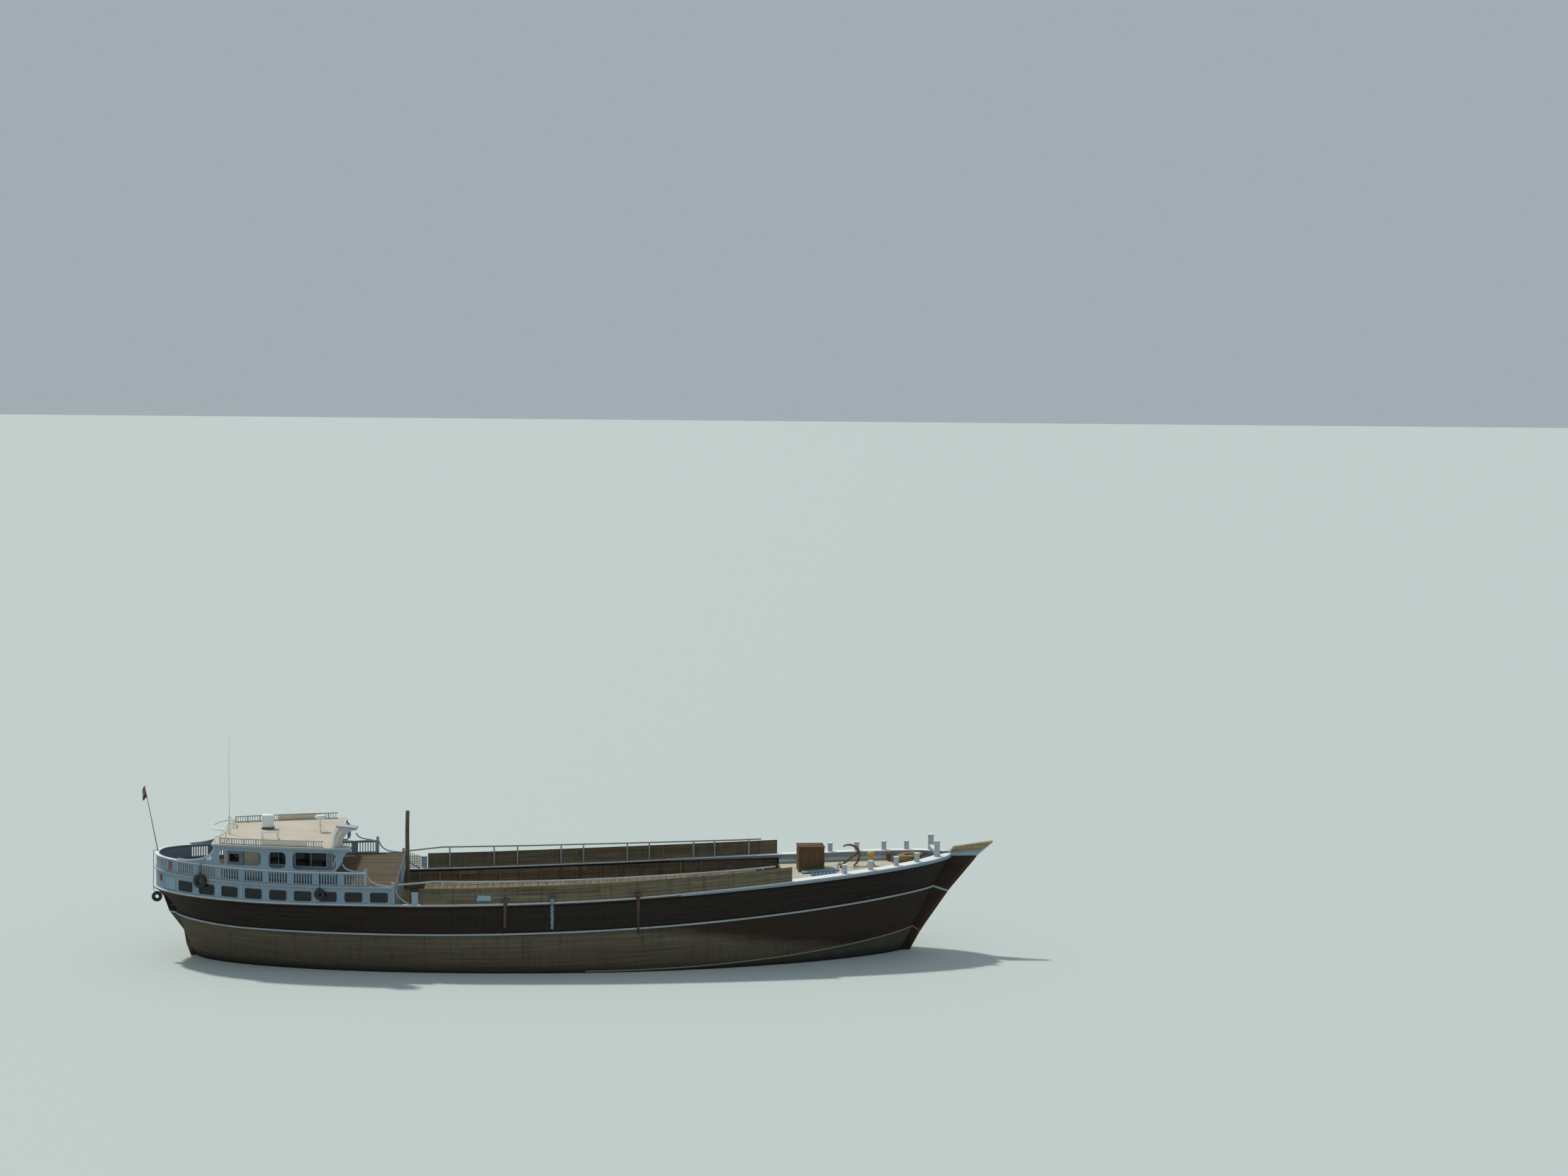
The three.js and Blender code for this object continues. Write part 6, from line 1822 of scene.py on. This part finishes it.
WHEEL_X, WHEEL_Z, WHEEL_RADIUS, WHEEL_SPOKES = -7.5873, 3.04, 0.18, 8
WHEEL_HUB = [(0, -0.017), (0.046, -0.017), (0.048, -0.01), (0.048, 0.01), (0.046, 0.017), (0, 0.017)]
SPOKE = [(0, 0), (0.008, 0.0), (0.01, 0.06), (0.006, 0.12), (0.009, 0.165), (0.009, 0.195), (0.006, 0.2),
         (0.009, 0.22), (0.007, 0.238), (0, 0.24)]
MAST_X, MAST_TOP = -5.085, 4.265
CREW_LEAF_X, CREW_LEAF_Y = -5.305, (1.085, 1.465)


def build_poop_front():
    """Bulkhead with its windows, and the crew's door with two panels."""
    from_node("poop_bulkhead", "bulkhead_boards", HOUSE_BLUE, 0.003, 2, 1)
    frames, panes = windows_across(*BULKHEAD_WINDOWS)
    done(merged(frames), "bulkhead_frames", WHITE)
    done(merged(panes), "bulkhead_glass", GLASS)
    base = main_deck_z(POOP_FRONT_X) + 0.041
    turn = placed(CREW_LEAF_X, angle=-QUARTER_TURN)
    panels = [moved(door_panel(*CREW_LEAF_Y, base + a, base + b), turn)
              for a, b in ((0.03, 0.42), (0.48, 0.9))]
    done(refined("poop_door", 0.003), "crew_leaf", CREAM, "crew_door", ["poop_door"])
    done(merged(panels), "crew_leaf_panels", CREAM, "crew_door")


def build_steering():
    from_node("helm_stand", "helm_pedestal", SPAR_WOOD, 0.006, 2)
    x, z = WHEEL_X, WHEEL_Z
    rim = ring_bar(WHEEL_RADIUS, 0.015, (x, 0, z), (0, QUARTER_TURN, 0), (40, 12))
    hub = turned(WHEEL_HUB, (x, 0, z), 24, placed(angle=QUARTER_TURN, axis="Y"))
    spokes = [turned(SPOKE, (x, 0, z), 10, placed(angle=2 * pi * k / WHEEL_SPOKES, axis="X"))
              for k in range(WHEEL_SPOKES)]
    wheel = grained(merged([rim, hub, *spokes]), 2)
    done(wheel, "helm_wheel_turned", SPAR_WOOD, "helm", ["helm_wheel"])
    from_node("rudder", "rudder_blade", HULL_LOWER, 0.008, 2, 0, "rudder_body")
    screw = refined("propeller", 0.003)
    done(screw, "propeller_cast", BRONZE, "propeller_body", ["propeller"])


def build_mast():
    foot = main_deck_z(MAST_X) + 0.012
    pole = rod((MAST_X, 0, foot), (MAST_X, 0, MAST_TOP), 0.066, 0.058, 28, 0.006)
    sliced(pole, np.linspace(foot + 0.2, MAST_TOP - 0.1, 14), (0, 0, 1))
    co = coordinates(pole)
    co[:, 0] += 0.006 * np.sin(co[:, 2] * 3.1)
    done(grained(reshaped(pole, co), 2, 1), "mast_pole", SPAR_WOOD, nodes=["mast"])
    partner = beam((MAST_X - 0.11, -0.16, foot), (MAST_X + 0.11, 0.16, foot + 0.09), 0.008)
    done(grained(partner, 1), "mast_partner", ROUGH_BOARDS)


# Deck gear

ANCHOR_Y, ANCHOR_LOW, ANCHOR_CENTRE = 0.7, 2.423, (8.17, 2.745)
ARM_RADIUS, ARM_THICK, ARM_TIP, ARM_STEPS, ARM_FROM, ARM_TO = 0.35, 0.042, 0.026, 24, 1.9, -0.95
STOCK_X, STOCK_Z = 7.96, 2.48
BOLLARD_X, BOLLARD_Y = 8.85, 0.466
BOLLARD = [(0, 0), (0.148, 0), (0.15, 0.018), (0.132, 0.034), (0.104, 0.08), (0.082, 0.15), (0.07, 0.22),
           (0.066, 0.285), (0.084, 0.308), (0.11, 0.326), (0.116, 0.36), (0.108, 0.402), (0.082, 0.434),
           (0.03, 0.443), (0, 0.444)]
BOLT = [(0, 0), (0.013, 0), (0.013, 0.008), (0.009, 0.012), (0, 0.012)]
COMPANION_LID = ((6.632, 0.446), (7.448, 1.268))


def build_anchor():
    """Iron anchor with round arms, flat palms, a tapered shank with its ring and a wooden stock."""
    y, cx, cz = ANCHOR_Y, *ANCHOR_CENTRE
    place = lambda x, z: (x, y, z + 0.001 - ANCHOR_LOW + foredeck_z(x))
    angles = np.linspace(ARM_FROM, ARM_TO, ARM_STEPS)
    arm = [place(cx + ARM_RADIUS * cos(a), cz + ARM_RADIUS * sin(a)) for a in angles]
    middle = (ARM_STEPS - 1) / 2
    rings = []
    for k, (a, (x, _, z)) in enumerate(zip(angles, arm)):
        radius = ARM_THICK + (ARM_TIP - ARM_THICK) * abs(k - middle) / middle
        around = [(radius * cos(b), radius * sin(b)) for b in np.linspace(0, 2 * pi, 13)[:-1]]
        rings.append([(x + out * cos(a), y + over, z + out * sin(a)) for out, over in around])
    parts = [lofted(rings), rod(place(8.5, 2.866), place(7.93, 2.455), 0.044, 0.032, 16)]
    for k, tilt in ((1, 1.95), (22, -0.85)):
        palm = beam((-0.085, -0.095, -0.011), (0.085, 0.095, 0.011), 0.008)
        parts.append(moved(palm, placed(*arm[k], QUARTER_TURN - tilt, "Y")))
    z = place(STOCK_X, STOCK_Z)[2]
    parts.append(rod((STOCK_X, y - 0.33, z), (STOCK_X, y + 0.33, z), 0.028))
    for side in (-1, 1):
        bpy.ops.mesh.primitive_uv_sphere_add(segments=16, ring_count=10, radius=0.04,
                                             location=(STOCK_X, y + side * 0.318, z))
        parts.append(settled(bpy.context.object))
    parts.append(ring_bar(0.052, 0.012, place(7.905, 2.47), (QUARTER_TURN, 0.6, 0), (28, 10)))
    done(merged(parts), "anchor_forged", RUSTY_IRON, nodes=["anchor"])


def build_bollard():
    x, y = BOLLARD_X, BOLLARD_Y
    foot = foredeck_z(x) + 0.001
    parts = [turned(BOLLARD, (x, y, foot), 32)]
    for a in np.arange(6) * pi / 3:
        parts.append(turned(BOLT, (x + 0.126 * cos(a), y + 0.126 * sin(a), foot + 0.024), 10))
    done(merged(parts), "bollard_cast", OCHRE, nodes=["bollard"])


def build_companion():
    """Boarded box with a stained lid; its door carries two battens."""
    from_node("companion_house", "companion_box", BROWN_TIMBER, 0.006, 2, 0)
    from_node("companion_door", "companion_leaf", BROWN_TIMBER, 0.004, 2, 0, "hatchway_door")
    low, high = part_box("companion_door")
    battens = [grained(beam((low.x + 0.02, 0.444, z), (high.x - 0.045, 0.4495, z + 0.036), 0.002))
               for z in (low.z + 0.07, high.z - 0.1)]
    done(merged(battens), "companion_leaf_battens", BROWN_TIMBER, "hatchway_door")
    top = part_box("companion_house")[1].z
    lid = beam((*COMPANION_LID[0], top - 0.002), (*COMPANION_LID[1], top + 0.02), 0.006)
    done(grained(lid, 0, 1), "companion_lid", HATCH_LID)


def build_foredeck_gear():
    """Platform and ladder that lie on the sloping foredeck, and a crosspiece on two posts."""
    slope = (foredeck_z(7.4) - foredeck_z(7.2)) / 0.2
    tilt = lambda x: placed(x, 0, foredeck_z(x), -atan(slope), "Y") @ placed(-x)
    parts = [beam((6.72, y + 0.003, 0.034), (7.84, y + 0.092, 0.058), 0.005)
             for y in (0.02 + 0.095 * k for k in range(4))]
    parts += [beam((x - 0.03, 0.03, 0.003), (x + 0.03, 0.39, 0.036), 0.005) for x in (6.8, 7.28, 7.76)]
    platform = moved(merged(parts), tilt(7.28))
    done(platform, "deck_platform", PLATFORM_BLUE)
    parts = [beam((6.95, y - 0.018, 0.003), (7.75, y + 0.018, 0.048), 0.006) for y in (-0.44, -0.14)]
    for x in np.arange(7.02, 7.74, 0.115):
        parts.append(beam((x - 0.016, -0.44, 0.018), (x + 0.016, -0.14, 0.036)))
    done(moved(merged(parts), tilt(7.35)), "deck_ladder", PLATFORM_BLUE)
    x, z = 9.476, foredeck_z(9.476)
    parts = [beam((x - 0.045, y, z + 0.002), (x + 0.045, y + 0.04, z + 0.3), 0.006) for y in (1.0, 1.3)]
    parts.append(beam((x - 0.06, 0.8, z + 0.21), (x + 0.06, 1.48, z + 0.29), 0.01))
    done(grained(merged(parts), 1), "foredeck_crosspiece", BROWN_TIMBER)


# Tyre fenders: place along the boat, height, radius, radius of the tube and gap to the side
FENDERS = [(-10.891, 2.53, 0.203, 0.06, 0.03), (-7.44, 2.29, 0.153, 0.048, -0.01)]
STERN_TYRE, STERN_TYRE_PLACE = (0.148, 0.046), (-12.39, -0.3, 1.79)
TREAD_BLOCKS, TREAD_HALF, CORD = 36, 0.18, 0.008
FENDER_KNOT = [(0, -0.009), (0.016, -0.007), (0.018, 0), (0.016, 0.007), (0, 0.009)]
BLOCK_FACES = [(0, 3, 2, 1), (4, 5, 6, 7), (0, 1, 5, 4), (1, 2, 6, 5), (2, 3, 7, 6), (3, 0, 4, 7)]


def tyre(radius, tube):
    """Used tyre lying in the x and z plane round the origin: tread blocks, shoulders, open bead."""
    inner, half = radius - 2 * tube, tube * 0.98
    outside_half = [(inner, 0.62), (inner + tube * 0.16, 0.74), (radius - tube * 0.75, 1),
                    (radius - tube * 0.2, 0.86), (radius, 0.62)]
    inside_half = [(inner + tube * 0.14, 0.52), (radius - tube * 0.7, 0.8), (radius - tube * 0.26, 0.55)]
    profile = [*((r, -half * w) for r, w in outside_half), *((r, half * w) for r, w in outside_half[::-1]),
               *((r, half * w) for r, w in inside_half), *((r, -half * w) for r, w in inside_half[::-1]),
               (inner, -half * 0.62)]
    parts = [turned(profile, (0, 0, 0), 48, placed(angle=QUARTER_TURN, axis="X"))]
    foot, head = tube * TREAD_HALF, tube * (TREAD_HALF - 0.02)
    corners = [(-0.01, -foot, -0.004), (0.006, -foot, -0.004), (0.01, foot, -0.004), (-0.006, foot, -0.004),
               (-0.009, -head, 0.004), (0.005, -head, 0.004), (0.009, head, 0.004), (-0.005, head, 0.004)]
    for row, shift in ((-0.34, 0.0), (0.0, 0.5), (0.34, 0.0)):
        for k in range(TREAD_BLOCKS):
            block = meshed([(x, y + row * tube * 1.5, z + radius) for x, y, z in corners], BLOCK_FACES)
            parts.append(moved(block, placed(angle=2 * pi * (k + shift) / TREAD_BLOCKS, axis="Y")))
    return merged(parts)


def lashing(points):
    return pipe([tuple(p) for p in smoothed(points, 5)], CORD)


def build_fenders():
    """Two tyres hung over the starboard side by lashings with three knots, and one at the stern."""
    for k, (x, z, radius, tube, out) in enumerate(FENDERS, 1):
        slope = (side_y(x + 0.005) - side_y(x - 0.005)) / 0.01
        turn = placed(x, -side_y(x), z, -atan(slope))
        hook, away, low = top_rail_z(x) - z, -(tube + out), radius - 2 * tube
        ring = moved(tyre(radius, tube), turn @ placed(y=away))
        done(ring, f"fender_tyre_{k}", RUBBER, nodes=[f"tyre_fender_{k}"])
        loop = [(0.004, away + 0.012, radius + 0.012), (0.006, away - tube * 0.7, radius - 0.02),
                (0.004, away - tube * 0.9, radius - tube), (0, away - tube * 0.5, low - 0.01),
                (0, away, low - 0.016), (-0.004, away + tube * 0.5, low - 0.006),
                (-0.006, away + tube * 0.8, radius - tube), (-0.002, away + tube * 0.5, radius + 0.004),
                (0.0, away + 0.016, radius + 0.014)]
        line = [(0, away + 0.01, radius + 0.01), (0.002, away + 0.016, radius + 0.06),
                (0.0, away + 0.02, hook - 0.1), (0.0, away + 0.028, hook - 0.02),
                (0, away + 0.045, hook + 0.008), (0, -0.02, hook + 0.014), (0, 0.01, hook + 0.013),
                (0, 0.036, hook + 0.011)]
        ropes = [lashing(loop), lashing(line)]
        ropes += [turned(FENDER_KNOT, (0, away + 0.012, radius + 0.018 + 0.013 * i), 12) for i in range(3)]
        done(moved(merged(ropes), turn), f"fender_lashing_{k}", DARK_GEAR)
    ring = moved(tyre(*STERN_TYRE), placed(*STERN_TYRE_PLACE))
    done(ring, "fender_tyre_3", RUBBER, nodes=["tyre_fender_3"])
    top = top_rail_z(-12.44) + 0.01
    line = [(-12.4, -0.3, 1.9), (-12.44, -0.292, 1.94), (-12.49, -0.24, 1.99), (-12.518, -0.14, 2.1),
            (-12.52, -0.075, 2.25), (-12.52, -0.055, 2.5), (-12.518, -0.052, top - 0.1),
            (-12.505, -0.052, top + 0.004), (-12.47, -0.052, top + 0.008), (-12.43, -0.052, top + 0.006)]
    done(lashing(line), "fender_lashing_3", DARK_GEAR)


# Ensign and rope

STAFF_FOOT_X, STAFF_HEAD_X, STAFF_HEAD_Z = -12.4, -12.775, 5.04
FLAG_TOP, FLAG_SPREAD, FLAG_FOLDS, FLAG_SAG, FLAG_STEPS = 5.022, 0.118, 3.5, 0.11, (64, 20)
SOCKET = [(0.0, 0), (0.034, 0), (0.034, 0.006), (0.022, 0.012), (0.02, 0.05), (0.0, 0.05)]


def build_staff():
    foot = top_rail_z(-12.44) + 0.004
    pole = rod((STAFF_FOOT_X, 0, foot), (STAFF_HEAD_X, 0, STAFF_HEAD_Z), 0.015, 0.008, 14, 0.002)
    done(grained(pole, 2, 1), "flagstaff_pole", SPAR_WOOD, nodes=["flagstaff"])
    socket = turned(SOCKET, (STAFF_FOOT_X - 0.001, 0, foot - 0.004), 18)
    done(socket, "flagstaff_socket", GREY_IRON)
    build_flag((STAFF_HEAD_X - STAFF_FOOT_X) / (STAFF_HEAD_Z - foot))


def build_flag(lean):
    """Ensign hanging limp in upright folds from the staff, its free edge sunk below the hoist."""
    wide, deep = FLAG_STEPS
    points, marks = [], []
    for j in range(deep + 1):
        down = FLAG_DEEP * j / deep
        for i in range(wide + 1):
            t = i / wide
            sag = FLAG_SAG * t ** 1.3
            z = FLAG_TOP - 0.94 * down - sag - 0.012 * sin(9 * t + 5 * down)
            hoist = STAFF_HEAD_X + lean * (z + sag - STAFF_HEAD_Z) - 0.01
            swell = min(1.0, 5 * t) * (0.7 + 0.9 * down)
            x = hoist - FLAG_SPREAD * t * (0.45 + 1.3 * down) - 0.004 * sin(14 * down)
            y = 0.036 * swell * sin(2 * pi * FLAG_FOLDS * t + 3.0 * down)
            points.append((x, y, z))
            marks.append((FLAG_LONG * t, down, 0.0))
    row = wide + 1
    faces = [(j * row + i, j * row + i + 1, (j + 1) * row + i + 1, (j + 1) * row + i)
             for j in range(deep) for i in range(wide)]
    flag = marked(meshed(points, faces), marks)
    pick(flag)
    cloth = flag.modifiers.new("cloth", "SOLIDIFY")
    cloth.thickness = 0.0016
    bpy.ops.object.modifier_apply(modifier=cloth.name)
    done(flag, "ensign_cloth", CLOTH, nodes=["flag"], smooth=60)


# Coil of rope on the foredeck: centre, rope diameter, least radius, turns in a layer and layers
COIL_X, COIL_Y, ROPE_THICK, COIL_LEAST, COIL_TURNS, COIL_LAYERS = 10.01, 0.43, 0.044, 0.166, 5, 6
ROPE_PITCH, RISE_SHARE, ROPE_LAY, ROPE_SIDES = 0.0446, 1 / 6, 0.26, 12


def coil_path(step=0.03):
    """Centreline of the coil: out along one layer, up, in along the next."""
    points = []
    angle = 0.0
    most = COIL_LEAST + COIL_TURNS * ROPE_PITCH
    for layer in range(COIL_LAYERS):
        low = 0.5 * ROPE_THICK + 0.001 + layer * ROPE_PITCH
        sweep = COIL_TURNS + (RISE_SHARE if layer < COIL_LAYERS - 1 else 0)
        turn = 0.0
        while turn < sweep - 1e-9:
            along = min(turn, COIL_TURNS) * ROPE_PITCH
            radius = most - along if layer % 2 else COIL_LEAST + along
            lift = max(0.0, turn - COIL_TURNS) / RISE_SHARE
            lift = ROPE_PITCH * lift * lift * (3 - 2 * lift)
            a = 2 * pi * (angle + turn)
            x, y = COIL_X + radius * cos(a), COIL_Y + radius * sin(a)
            points.append((x, y, foredeck_z(x) + low + lift))
            turn += step / (2 * pi * radius)
        angle += sweep
    return np.array(points)


def build_rope():
    """Hawser coiled down flat, layer on layer; its three strands turn about the centreline."""
    path = coil_path()
    flow, gone = directions(path), run_of(path)
    side = np.cross(flow, (0, 0, 1))
    side /= np.linalg.norm(side, axis=1, keepdims=True)
    over = np.cross(side, flow)
    rings, marks = [], []
    for point, out, up, s in zip(path, side, over, gone):
        ring = []
        for k in range(ROPE_SIDES):
            b = 2 * pi * k / ROPE_SIDES
            crown = abs(cos(1.5 * b))
            radius = ROPE_THICK / 2 * (0.8 + 0.2 * crown)
            b += 2 * pi * s / ROPE_LAY
            ring.append(point + radius * (cos(b) * out + sin(b) * up))
            marks.append((s, crown, 0.0))
        rings.append(ring)
    rope = marked(lofted(rings), marks)
    done(rope, "coiled_hawser", ROPE, nodes=["rope_coil"], smooth=70)
    ends = [rod(path[k], path[k] + (path[k + d] - path[k]) * 1.6, ROPE_THICK / 2 + 0.0012, sides=14,
                edge=0.002) for k, d in ((0, 1), (-1, -2))]
    done(merged(ends), "hawser_whippings", DIM_WHITE)


for build in (build_rope, build_hull, build_wales, build_boot_batten, build_cap_rail, build_bow_bitts,
              build_stem_cap, build_decks, build_linings, build_hatch, build_weather_boards, build_guard_rail,
              build_lattice, build_skids, build_poop_wall, build_quarter, build_balustrade, build_poop_rails,
              build_gallery, build_deckhouse, build_house_doors, build_roof, build_parapet, build_hood,
              build_locker, build_masts, build_aft_rail, build_bench, build_poop_front, build_steering,
              build_mast, build_anchor, build_bollard, build_companion, build_foredeck_gear, build_fenders,
              build_staff):
    build()


# Floor, sky and lamps

FLOOR_COLOUR, SKY_COLOUR, SKY_STRENGTH = "#b9c4c2", "#c9d6de", 0.62
# Lamps: strength, spread in degrees, tint and the way they shine from
LAMPS = {"key": (2.6, 4, (1.0, 0.95, 0.87), (-0.42, 0.55, 0.95)),
         "fill": (0.2, 60, (0.86, 0.93, 1.0), (0.1, -1.0, 0.55))}


def build_stage():
    """Pale floor at the waterline out to the horizon, a soft sky and a low-contrast sun from behind."""
    pick()
    bpy.ops.mesh.primitive_plane_add(size=6000, location=(0, 1500, 0))
    floor = bpy.context.object
    floor.name = "floor"
    material, _, shader, _ = surface("studio_floor", 0.9)
    shader.inputs["Base Color"].default_value = colour(FLOOR_COLOUR)
    floor.data.materials.append(material)

    scene = bpy.context.scene
    world = bpy.data.worlds.new("world")
    world.use_nodes = True
    background = world.node_tree.nodes["Background"]
    background.inputs["Color"].default_value = colour(SKY_COLOUR)
    background.inputs["Strength"].default_value = SKY_STRENGTH
    scene.world = world
    scene.view_settings.view_transform = "Standard"
    for name, (strength, spread, tint, towards) in LAMPS.items():
        sun = bpy.data.lights.new(name, "SUN")
        sun.energy = strength
        sun.angle = radians(spread)
        sun.color = tint
        lamp = linked(sun, name)
        lamp.rotation_euler = Vector(towards).to_track_quat("Z", "Y").to_euler()


build_stage()
